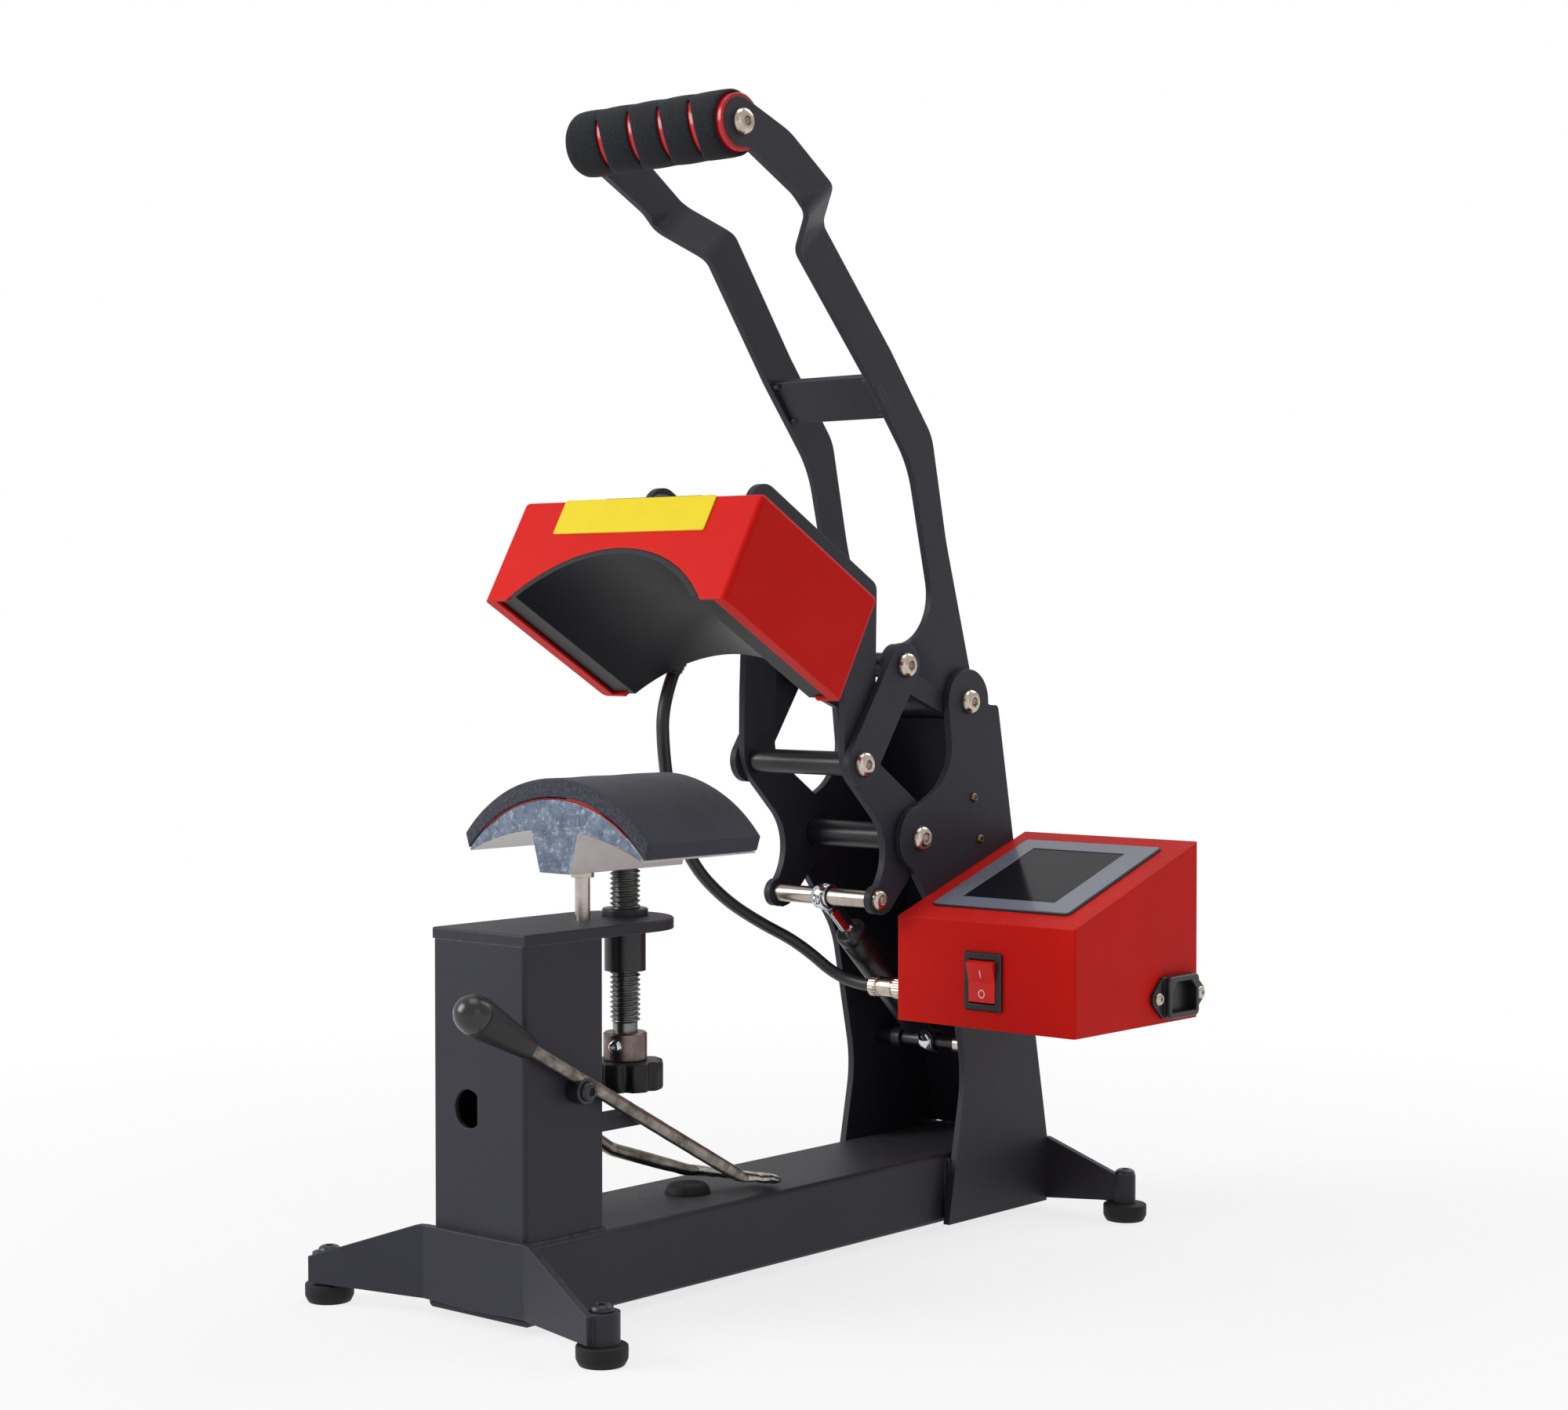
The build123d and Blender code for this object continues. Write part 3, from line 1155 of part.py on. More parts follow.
# ================================================================ head arms
def build_head_arms():
    arm_outline = outline(
        (*head_point(ARM_FRONT, COVER_HEIGHT), 0),
        (*head_point(ARM_FRONT, COVER_HEIGHT + ARM_CREST), 12),
        (*head_point(146.0, COVER_HEIGHT + ARM_CREST), 6),
        (56.6, 264.8, 14),
        (100.3, 235.7, 0),
        (ARM_PIVOT[0], ARM_PIVOT[1], 0),
        (97.0, 209.0, 0),
        (69.0, 181.6, 3.5),
        (63.0, 180.2, 4),
        (EYE_PIN[0] - 5.8, EYE_PIN[1] - 4.2, 0),
        (EYE_PIN[0] - 5.4, EYE_PIN[1] + 2.2, 0),
        (77.6, 214.3, 28),
        (31.0, 259.0, 20),
        (31.5, 300.0, 60),
        (33.0, 335.0, 8),
        (*head_point(COVER_DEPTH + 1.5, COVER_HEIGHT), 0),
    )
    for name, side in (("left", -1), ("right", 1)):
        with BuildPart() as arm_plate:
            with BuildSketch(Plane.YZ.offset(side_span(INNER_FACE, side))):
                add(arm_outline)
                with Locations(ARM_PIVOT):
                    Circle(TOWER_LOBE + 0.5)
                with Locations(EYE_PIN):
                    Circle(7.6)
                with Locations(ARM_PIVOT):
                    Circle(M8 / 2 + SHAFT_CLEARANCE, mode=Mode.SUBTRACT)
                with Locations(EYE_PIN):
                    Circle(M6 / 2, mode=Mode.SUBTRACT)
            extrude(amount=PLATE)
        save(f"arm_plate_{name}", arm_plate)

    cross_rod = cross_tube(LINK_FOOT, CROSS_ROD_RADIUS, 0, INNER_FACE)
    with BuildPart() as arm_cross_rod:
        add(cross_rod)
    save("arm_cross_rod", arm_cross_rod)

    eye_rod = cross_tube(EYE_PIN, EYE_ROD_RADIUS, M6 / 2, INNER_FACE)
    with BuildPart() as spring_eye_rod:
        add(eye_rod)
    save("spring_eye_rod", spring_eye_rod)

    eye_screw = button_screw(M6, M6_HEAD, M6_HEAD_HEIGHT, M6_SOCKET, PLATE + SCREW_BITE)
    with BuildPart() as eye_rod_screws:
        for x in (-INNER_OUT, INNER_OUT):
            with Locations(across(x, EYE_PIN).location):
                add(eye_screw)
    save("eye_rod_screws", eye_rod_screws)

    with BuildPart() as head_carrier:
        with BuildSketch(HEAD.offset(COVER_HEIGHT)):
            with Locations((0, (CARRIER_FRONT + CARRIER_REAR) / 2)):
                Rectangle(2 * INNER_FACE, CARRIER_REAR - CARRIER_FRONT)
            with Locations(*HEAD_BOLT_SPOTS):
                Circle(M8 / 2, mode=Mode.SUBTRACT)
        extrude(amount=CARRIER_THICK)
    save("head_carrier", head_carrier)


# ================================================================ heated head
def head_section(along):
    """A plane square to the head's length, facing forwards; its X is the press's X, its Y is up."""
    tilt = radians(HEAD_TILT)
    return Plane(origin=(0, *head_point(along, 0)), x_dir=(1, 0, 0), z_dir=(0, -cos(tilt), sin(tilt)))


ARCH_RADIUS = (ARCH_HALF**2 + ARCH_RISE**2) / (2 * ARCH_RISE)
ARCH_CENTRE = ARCH_RISE - ARCH_RADIUS
PLATEN_OUTER = ARCH_RADIUS - PLATEN_GAP
PLATEN_INNER = PLATEN_OUTER - PLATEN_SHEET


def build_head_cover():
    with BuildPart() as head_cover:
        with BuildSketch(HEAD):
            with Locations((0, COVER_DEPTH / 2)):
                RectangleRounded(2 * COVER_HALF, COVER_DEPTH, COVER_FILLET)
        extrude(amount=COVER_HEIGHT)
        rim = head_cover.faces().sort_by(HEAD_UP)[-1].edges()
        fillet(rim, COVER_FILLET)
        with BuildSketch(HEAD.offset(SHEET)):
            with Locations((0, COVER_DEPTH / 2)):
                Rectangle(2 * (COVER_HALF - SHEET), COVER_DEPTH - 2 * SHEET)
        extrude(amount=COVER_HEIGHT - 2 * SHEET, mode=Mode.SUBTRACT)
        with BuildSketch(HEAD):
            with Locations((0, COVER_DEPTH / 2)):
                Rectangle(2 * (COVER_HALF - SHEET - COVER_LIP), COVER_DEPTH - 2 * SHEET)
        extrude(amount=SHEET, mode=Mode.SUBTRACT)
        with BuildSketch(head_section(-1)):
            with Locations((0, ARCH_CENTRE)):
                Circle(ARCH_RADIUS)
            with Locations((0, -ARCH_RADIUS)):
                Rectangle(3 * COVER_HALF, 2 * ARCH_RADIUS, mode=Mode.SUBTRACT)
        extrude(amount=-COVER_DEPTH - 2, mode=Mode.SUBTRACT)
        with BuildSketch(HEAD.offset(COVER_HEIGHT)):
            with Locations(*HEAD_BOLT_SPOTS):
                Circle(M8 / 2)
        extrude(amount=-2 * SHEET, mode=Mode.SUBTRACT)
        with BuildSketch(head_section(COVER_DEPTH)):
            with Locations((GLAND_X, GLAND_HEIGHT)):
                Circle(GLAND_SPIGOT)
        extrude(amount=2 * SHEET, mode=Mode.SUBTRACT)
    save("head_cover", head_cover)


def build_heating_platen():
    curved_half = ARCH_HALF - 2.5
    with BuildPart() as heating_platen:
        with BuildSketch(head_section(0)):
            with Locations((0, ARCH_CENTRE)):
                Circle(PLATEN_OUTER)
                Circle(PLATEN_INNER, mode=Mode.SUBTRACT)
            with Locations((0, RIM_BOTTOM - ARCH_RADIUS)):
                Rectangle(3 * COVER_HALF, 2 * ARCH_RADIUS, mode=Mode.SUBTRACT)
        extrude(amount=-COVER_DEPTH)
        with BuildSketch(head_section(SHEET + PLATEN_GAP)):
            for side in (-1, 1):
                with Locations((side * (curved_half - 2 + RIM_OUTER) / 2, RIM_BOTTOM + RIM_THICK / 2)):
                    Rectangle(RIM_OUTER - curved_half + 2, RIM_THICK)
        extrude(amount=-(COVER_DEPTH - 2 * (SHEET + PLATEN_GAP)))
    save("heating_platen", heating_platen)

    with BuildPart() as heater_mat:
        with BuildSketch(head_section(5)):
            with Locations((0, ARCH_CENTRE)):
                Circle(PLATEN_OUTER + SOFT_CLEARANCE + HEATER_THICK)
                Circle(PLATEN_OUTER + SOFT_CLEARANCE, mode=Mode.SUBTRACT)
            with Locations((0, ARCH_CENTRE + ARCH_RADIUS)):
                Rectangle(2 * HEATER_HALF, 60, mode=Mode.INTERSECT)
        extrude(amount=-(COVER_DEPTH - 10))
        with BuildSketch(HEAD):
            with Locations(*HEAD_BOLT_SPOTS):
                Circle(M8 / 2 + SOFT_CLEARANCE)
        extrude(amount=COVER_HEIGHT, mode=Mode.SUBTRACT)
    save("heater_mat", heater_mat)

    carrier_top = COVER_HEIGHT + CARRIER_THICK
    with BuildPart() as head_bolts:
        with BuildSketch(HEAD.offset(ARCH_RISE - 8)):
            with Locations(*HEAD_BOLT_SPOTS):
                Circle(M8 / 2)
        extrude(amount=carrier_top + NUT_HEIGHT + 4 - ARCH_RISE + 8)
        with BuildSketch(HEAD.offset(carrier_top)):
            with Locations(*HEAD_BOLT_SPOTS):
                RegularPolygon(HEX_FLATS / 2, 6, major_radius=False)
        extrude(amount=NUT_HEIGHT)
        with BuildSketch(head_section(-10)):
            with Locations((0, ARCH_CENTRE)):
                Circle(PLATEN_OUTER)
        extrude(amount=-COVER_DEPTH - 20, mode=Mode.SUBTRACT)
    save("head_bolts", head_bolts)

    with BuildPart() as label_panel:
        with BuildSketch(head_section(0)):
            with Locations((0.5, (LABEL_LOW + LABEL_HIGH) / 2)):
                RectangleRounded(LABEL_WIDTH, LABEL_HIGH - LABEL_LOW, 1.0)
        extrude(amount=LABEL_THICK)
    save("label_panel", label_panel)


def build_head_cable():
    elbow = COVER_DEPTH + GLAND_REACH
    with BuildPart() as cable_gland:
        with BuildSketch(head_section(elbow)):
            with Locations((GLAND_X, GLAND_HEIGHT)):
                Circle(GLAND_RADIUS)
        extrude(amount=GLAND_REACH)
        with BuildSketch(head_section(COVER_DEPTH)):
            with Locations((GLAND_X, GLAND_HEIGHT)):
                Circle(GLAND_SPIGOT)
        extrude(amount=4)
        with BuildSketch(HEAD.offset(GLAND_HEIGHT - GLAND_DROP)):
            with Locations((GLAND_X, elbow)):
                Circle(GLAND_RADIUS)
        extrude(amount=GLAND_DROP + GLAND_RADIUS)
    save("cable_gland", cable_gland)

    corners = CABLE_ROUTE[1:-1]
    radii = []
    for before, corner, after in zip(CABLE_ROUTE, corners, CABLE_ROUTE[2:]):
        run_in = Vector(*corner) - Vector(*before)
        run_out = Vector(*after) - Vector(*corner)
        turn = radians(run_in.get_angle(run_out))
        radii.append(0.45 * min(run_in.length, run_out.length) / tan(turn / 2))
    print("cable bend radii:", ", ".join(f"{radius:.1f}" for radius in radii))
    with BuildPart() as head_cable:
        with BuildLine():
            route = FilletPolyline(*CABLE_ROUTE, radius=radii)
        with BuildSketch(Plane(origin=CABLE_ROUTE[0], z_dir=route % 0)):
            Circle(CABLE_RADIUS)
        sweep(path=route)
    print(f"cable length {route.length:.1f}")
    print(f"section times length {pi * CABLE_RADIUS**2 * route.length:.1f}")
    print(f"cable volume {head_cable.part.volume:.1f}")
    save("head_cable", head_cable)


# ================================================================ gas spring
SPRING_LENGTH = hypot(SPRING_ANCHOR[0] - EYE_PIN[0], SPRING_ANCHOR[1] - EYE_PIN[1])
SPRING_AXIS = Plane(
    origin=(0, *EYE_PIN),
    x_dir=(1, 0, 0),
    z_dir=(0, SPRING_ANCHOR[0] - EYE_PIN[0], SPRING_ANCHOR[1] - EYE_PIN[1]),
)


def build_gas_spring():
    with BuildPart() as spring_rod:
        with BuildSketch(Plane.YZ.offset(-EYE_WIDTH / 2)):
            with Locations(EYE_PIN):
                Circle(EYE_RADIUS)
        extrude(amount=EYE_WIDTH)
        with BuildSketch(SPRING_AXIS):
            Circle(SPRING_ROD_RADIUS)
        extrude(amount=SPRING_ROD_TAIL)
        with BuildSketch(Plane.YZ.offset(-EYE_WIDTH)):
            with Locations(EYE_PIN):
                Circle(EYE_BORE_RADIUS)
        extrude(amount=2 * EYE_WIDTH, mode=Mode.SUBTRACT)
    save("spring_rod", spring_rod)

    with BuildPart() as spring_cylinder:
        with BuildSketch(SPRING_AXIS.offset(SPRING_BODY_START)):
            Circle(SPRING_BODY_RADIUS)
        extrude(amount=SPRING_BODY_END - SPRING_BODY_START)
        fillet(spring_cylinder.edges(), 1.0)
        with BuildSketch(SPRING_AXIS.offset(SPRING_BODY_END - 2)):
            Circle(SPRING_ROD_RADIUS + 0.5)
        extrude(amount=SPRING_LENGTH - SPRING_BODY_END + 2)
        with BuildSketch(Plane.YZ.offset(-ANCHOR_EYE_WIDTH / 2)):
            with Locations(SPRING_ANCHOR):
                Circle(ANCHOR_EYE_RADIUS)
        extrude(amount=ANCHOR_EYE_WIDTH)
        with BuildSketch(SPRING_AXIS.offset(SPRING_BODY_START)):
            Circle(SPRING_ROD_RADIUS + SHAFT_CLEARANCE)
        extrude(amount=SPRING_BODY_END - SPRING_BODY_START - 6, mode=Mode.SUBTRACT)
        with BuildSketch(Plane.YZ.offset(-ANCHOR_EYE_WIDTH)):
            with Locations(SPRING_ANCHOR):
                Circle(M8 / 2 + SHAFT_CLEARANCE)
        extrude(amount=2 * ANCHOR_EYE_WIDTH, mode=Mode.SUBTRACT)
    save("spring_cylinder", spring_cylinder)


build_base_beam()
build_front_foot_bracket()
build_rear_foot_bracket()
build_feet()
build_hoop_bumper()
build_front_post()
build_post_top_plate()
build_threaded_bush()
build_pressure_screw()
build_lower_platen()
build_bail()
build_tower()
build_control_box()
build_handle()
build_links()
build_head_arms()
build_head_cover()
build_heating_platen()
build_head_cable()
build_gas_spring()
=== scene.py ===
"""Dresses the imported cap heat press: its finishes, screws, threads, pads, grips and head cable.

Lengths are metres. The front of the press faces -Y, the operator's right is +X and +Z is up.
"""

import logging
import math
from abc import ABC, abstractmethod
from collections.abc import Callable, Mapping, Sequence
from dataclasses import dataclass, field
from enum import Enum

import bmesh
import bpy
import numpy as np
from mathutils import Matrix, Vector

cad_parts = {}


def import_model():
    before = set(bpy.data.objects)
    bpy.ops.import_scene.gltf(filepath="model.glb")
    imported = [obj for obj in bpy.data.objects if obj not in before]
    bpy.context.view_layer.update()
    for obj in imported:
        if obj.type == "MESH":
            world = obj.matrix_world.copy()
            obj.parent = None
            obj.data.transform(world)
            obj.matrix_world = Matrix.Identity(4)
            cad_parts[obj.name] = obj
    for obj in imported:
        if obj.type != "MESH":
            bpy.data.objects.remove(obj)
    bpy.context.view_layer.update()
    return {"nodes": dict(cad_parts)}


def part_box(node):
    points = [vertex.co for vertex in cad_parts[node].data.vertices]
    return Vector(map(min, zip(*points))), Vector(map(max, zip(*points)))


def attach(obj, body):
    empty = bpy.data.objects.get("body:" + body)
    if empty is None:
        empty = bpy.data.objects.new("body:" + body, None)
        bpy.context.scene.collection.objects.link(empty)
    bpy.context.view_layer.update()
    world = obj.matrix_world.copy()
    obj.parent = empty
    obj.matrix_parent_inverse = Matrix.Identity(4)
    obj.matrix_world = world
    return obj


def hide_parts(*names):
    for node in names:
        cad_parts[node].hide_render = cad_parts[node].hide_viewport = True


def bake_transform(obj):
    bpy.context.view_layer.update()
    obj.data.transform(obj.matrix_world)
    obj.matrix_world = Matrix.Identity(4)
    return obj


log = logging.getLogger("cap_press")

Piece = bpy.types.Object
Socket = bpy.types.NodeSocket
DUST_COLOUR = "#A9A7A2"
Spot = tuple[tuple[float, float, float], tuple[float, float, float]]
Column = tuple[np.ndarray, np.ndarray]


class Body(Enum):
    """The moving bodies of the press."""

    FRAME = "frame"
    ARM = "arm"
    HANDLE = "handle"
    LINKS = "links"
    SPRING_BODY = "spring_body"
    SPRING_PLUNGER = "spring_plunger"
    PLATEN = "platen"
    SCREW = "screw"
    BAIL = "bail"
    ROCKER = "rocker"


class Effect(Enum):
    """The shader node groups that several finishes share."""

    EDGE_WEAR_AND_HIGHLIGHT = "edge_wear_and_highlight"
    GRAIN = "surface_grain"
    DUST = "settled_dust"
    HAIRLINES = "hairlines"
    CUT_FACE = "cut_face"


# ------------------------------------------------------------------ node trees


class Graph:
    """Adds nodes to one shader or geometry tree and links them."""

    def __init__(self, tree: bpy.types.NodeTree) -> None:
        """Starts with a tree that the graph adds to."""
        self.tree = tree

    def node(
        self, kind: str, inputs: Mapping[int | str, object] | None = None, **settings: object
    ) -> bpy.types.Node:
        """Adds one node.

        Args:
            kind: The node's type name.
            inputs: What goes into each input, by name or number: a value or an output socket.
            settings: The node's own properties.

        Returns:
            The node.
        """
        made = self.tree.nodes.new(kind)
        for name, value in settings.items():
            setattr(made, name, value)
        for key, value in (inputs or {}).items():
            self.feed(made.inputs[key], value)
        return made

    def feed(self, socket: Socket, value: object) -> None:
        """Links an output into a socket, or sets the socket's own value."""
        if isinstance(value, bpy.types.NodeSocket):
            self.tree.links.new(value, socket)
        else:
            socket.default_value = value

    def math(self, operation: str, *values: object, clamp: bool = False) -> Socket:
        """A number worked out from one, two or three others."""
        fed = dict(enumerate(values))
        return self.node("ShaderNodeMath", fed, operation=operation, use_clamp=clamp).outputs[0]

    def remap(self, value: Socket, low: float, high: float, start: float, end: float) -> Socket:
        """A number moved from the range low..high to start..end, and held inside it."""
        fed = {0: value, 1: low, 2: high, 3: start, 4: end}
        return self.node("ShaderNodeMapRange", fed, clamp=True).outputs[0]

    def blend(self, factor: object, first: object, second: object) -> Socket:
        """A colour between two others."""
        fed = {0: factor, 6: first, 7: second}
        return self.node("ShaderNodeMix", fed, data_type="RGBA").outputs[2]

    def noise(
        self, place: Socket, scale: object, detail: float = 3.0, rough: float = 0.5
    ) -> Socket:
        """Noise from 0 to 1 over a place."""
        fed = {"Vector": place, "Scale": scale, "Detail": detail, "Roughness": rough}
        return self.node("ShaderNodeTexNoise", fed).outputs["Fac"]


def linear(screen: str, gain: float = 1.0) -> tuple[float, float, float, float]:
    """A screen colour such as #2B2B31 as the light values that a shader takes.

    Args:
        screen: The colour as written for a screen.
        gain: How much brighter or darker it is made.

    Returns:
        Red, green, blue and alpha.
    """
    parts = [int(screen[i : i + 2], 16) / 255 for i in (1, 3, 5)]
    light = [p / 12.92 if p <= 0.04045 else ((p + 0.055) / 1.055) ** 2.4 for p in parts]
    return (*[min(1.0, value * gain) for value in light], 1.0)


def open_group(
    effect: Effect, inputs: Mapping[str, float], outputs: Mapping[str, str]
) -> tuple[bpy.types.NodeTree, Graph, bpy.types.Node, bpy.types.Node]:
    """Starts an effect's node group.

    Args:
        effect: Which effect it is, and so its name.
        inputs: Its numbers and their usual values.
        outputs: Its results and their socket types.

    Returns:
        The group, a graph on it, its input node and its output node.
    """
    tree = bpy.data.node_groups.new(effect.value, "ShaderNodeTree")
    for name, value in inputs.items():
        made = tree.interface.new_socket(name, in_out="INPUT", socket_type="NodeSocketFloat")
        made.default_value = value
    for name, kind in outputs.items():
        tree.interface.new_socket(name, in_out="OUTPUT", socket_type=kind)
    graph = Graph(tree)
    return tree, graph, graph.node("NodeGroupInput"), graph.node("NodeGroupOutput")


def make_edge_wear_and_highlight() -> bpy.types.NodeTree:
    """Rounds sharp edges in the shading and masks them for wear and painted highlight, broken up
    along their length.
    """
    sizes = {"Radius": 0.0008, "Gain": 5.0, "Break-up": 250.0}
    kinds = {"Normal": "NodeSocketVector", "Mask": "NodeSocketFloat"}
    tree, graph, given, result = open_group(Effect.EDGE_WEAR_AND_HIGHLIGHT, sizes, kinds)
    rounded = graph.node("ShaderNodeBevel", {"Radius": given.outputs["Radius"]}, samples=6)
    face = graph.node("ShaderNodeNewGeometry")
    ends = {0: rounded.outputs[0], 1: face.outputs["Normal"]}
    alike = graph.node("ShaderNodeVectorMath", ends, operation="DOT_PRODUCT").outputs["Value"]
    turned = graph.math("SUBTRACT", 1.0, alike)
    edge = graph.math("MULTIPLY", turned, given.outputs["Gain"], clamp=True)
    place = graph.node("ShaderNodeTexCoord").outputs["Object"]
    patches = graph.noise(place, given.outputs["Break-up"])
    kept = graph.remap(patches, 0.35, 0.65, 0.35, 1.0)
    graph.feed(result.inputs["Normal"], rounded.outputs[0])
    graph.feed(result.inputs["Mask"], graph.math("MULTIPLY", edge, kept))
    return tree


def make_grain() -> bpy.types.NodeTree:
    """Fine grain for a surface's relief, and slow blotches for its tone."""
    sizes = {"Scale": 1500.0, "Blotch": 24.0}
    kinds = {"Height": "NodeSocketFloat", "Tone": "NodeSocketFloat"}
    tree, graph, given, result = open_group(Effect.GRAIN, sizes, kinds)
    place = graph.node("ShaderNodeTexCoord").outputs["Object"]
    fine = graph.noise(place, given.outputs["Scale"], 3.0, 0.6)
    slow = graph.noise(place, given.outputs["Blotch"], 4.0, 0.55)
    graph.feed(result.inputs["Height"], fine)
    graph.feed(result.inputs["Tone"], graph.remap(slow, 0.3, 0.7, 0.0, 1.0))
    return tree


def make_dust() -> bpy.types.NodeTree:
    """Masks a thin settled dust on what faces upwards."""
    sizes = {"Scale": 60.0, "Amount": 0.1}
    tree, graph, given, result = open_group(Effect.DUST, sizes, {"Mask": "NodeSocketFloat"})
    face = graph.node("ShaderNodeNewGeometry").outputs["Normal"]
    height = graph.node("ShaderNodeSeparateXYZ", {0: face}).outputs["Z"]
    upward = graph.math("POWER", graph.math("MAXIMUM", height, 0.0), 3.0)
    place = graph.node("ShaderNodeTexCoord").outputs["Object"]
    patches = graph.remap(graph.noise(place, given.outputs["Scale"], 6.0, 0.65), 0.4, 0.7, 0.2, 1.0)
    shown = graph.math("MULTIPLY", upward, patches)
    graph.feed(result.inputs["Mask"], graph.math("MULTIPLY", shown, given.outputs["Amount"]))
    return tree


def make_hairlines() -> bpy.types.NodeTree:
    """Fine scratches, drawn out by as much as each axis is squeezed."""
    sizes = {"Scale": 900.0, "Squeeze X": 1.0, "Squeeze Y": 1.0, "Squeeze Z": 1.0, "Cut": 0.55}
    kinds = {"Height": "NodeSocketFloat", "Mask": "NodeSocketFloat"}
    tree, graph, given, result = open_group(Effect.HAIRLINES, sizes, kinds)
    place = graph.node("ShaderNodeTexCoord").outputs["Object"]
    axes = {i: given.outputs[f"Squeeze {axis}"] for i, axis in enumerate("XYZ")}
    squeeze = graph.node("ShaderNodeCombineXYZ", axes).outputs[0]
    drawn = graph.node("ShaderNodeVectorMath", {0: place, 1: squeeze}, operation="MULTIPLY")
    lines = graph.noise(drawn.outputs[0], given.outputs["Scale"], 5.0, 0.7)
    over = graph.math("SUBTRACT", lines, given.outputs["Cut"])
    graph.feed(result.inputs["Height"], lines)
    graph.feed(result.inputs["Mask"], graph.math("MULTIPLY", over, 12.0, clamp=True))
    return tree


def make_cut_face() -> bpy.types.NodeTree:
    """Masks the faces that were sawn or cut square to Y."""
    sizes = {"Sharpness": 12.0}
    tree, graph, given, result = open_group(Effect.CUT_FACE, sizes, {"Mask": "NodeSocketFloat"})
    face = graph.node("ShaderNodeNewGeometry").outputs["Normal"]
    along = graph.math("ABSOLUTE", graph.node("ShaderNodeSeparateXYZ", {0: face}).outputs["Y"])
    over = graph.math("SUBTRACT", along, 0.8)
    graph.feed(
        result.inputs["Mask"], graph.math("MULTIPLY", over, given.outputs["Sharpness"], clamp=True)
    )
    return tree


MAKERS: dict[Effect, Callable[[], bpy.types.NodeTree]] = {
    Effect.EDGE_WEAR_AND_HIGHLIGHT: make_edge_wear_and_highlight,
    Effect.GRAIN: make_grain,
    Effect.DUST: make_dust,
    Effect.HAIRLINES: make_hairlines,
    Effect.CUT_FACE: make_cut_face,
}


def place_effect(graph: Graph, effect: Effect, **values: float) -> bpy.types.Node:
    """Puts an effect's group in a material.

    Args:
        graph: The material's graph.
        effect: Which effect.
        values: Its inputs, with an underscore for each space.

    Returns:
        The group's node.
    """
    tree = bpy.data.node_groups.get(effect.value) or MAKERS[effect]()
    fed = {name.replace("_", " "): value for name, value in values.items()}
    return graph.node("ShaderNodeGroup", fed, node_tree=tree)


# ------------------------------------------------------------------ finishes


@dataclass(frozen=True)
class Finish(ABC):
    """A surface finish, whose material is made once.

    Args:
        name: The material's name.
        colour: Its main colour on a screen.
        roughness: How dull it is, from 0 to 1.
    """

    name: str
    colour: str
    roughness: float = 0.4

    def material(self) -> bpy.types.Material:
        """The finish's material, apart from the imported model's own of a like name."""
        title = self.name + "_finish"
        found = bpy.data.materials.get(title)
        if found:
            return found
        made = bpy.data.materials.new(title)
        made.use_nodes = True
        made.node_tree.nodes.clear()
        graph = Graph(made.node_tree)
        shader = graph.node("ShaderNodeBsdfPrincipled")
        self.paint(graph, shader)
        graph.node("ShaderNodeOutputMaterial", {"Surface": shader.outputs[0]})
        return made

    @abstractmethod
    def paint(self, graph: Graph, shader: bpy.types.Node) -> None:
        """Feeds the shader."""

    def shade(self, graph: Graph, tone: Socket, low: float, high: float) -> Socket:
        """The main colour, made darker or lighter by a tone from 0 to 1."""
        return graph.blend(tone, linear(self.colour, low), linear(self.colour, high))

    def uneven(self, graph: Graph, height: Socket, less: float, more: float) -> Socket:
        """The roughness, a little lower or higher with the height of the grain."""
        return graph.remap(height, 0.3, 0.7, self.roughness - less, self.roughness + more)

    @staticmethod
    def relief(
        graph: Graph, shader: bpy.types.Node, height: Socket, depth: float, normal: Socket | None
    ) -> None:
        """Gives the shader a relief.

        Args:
            graph: The material's graph.
            shader: Its shader.
            height: The relief, from 0 to 1.
            depth: How deep it is, in metres.
            normal: The direction that it starts from, if not the face's own.
        """
        bump = graph.node("ShaderNodeBump", {"Strength": 1.0, "Distance": depth, "Height": height})
        if normal is not None:
            graph.feed(bump.inputs["Normal"], normal)
        graph.feed(shader.inputs["Normal"], bump.outputs[0])


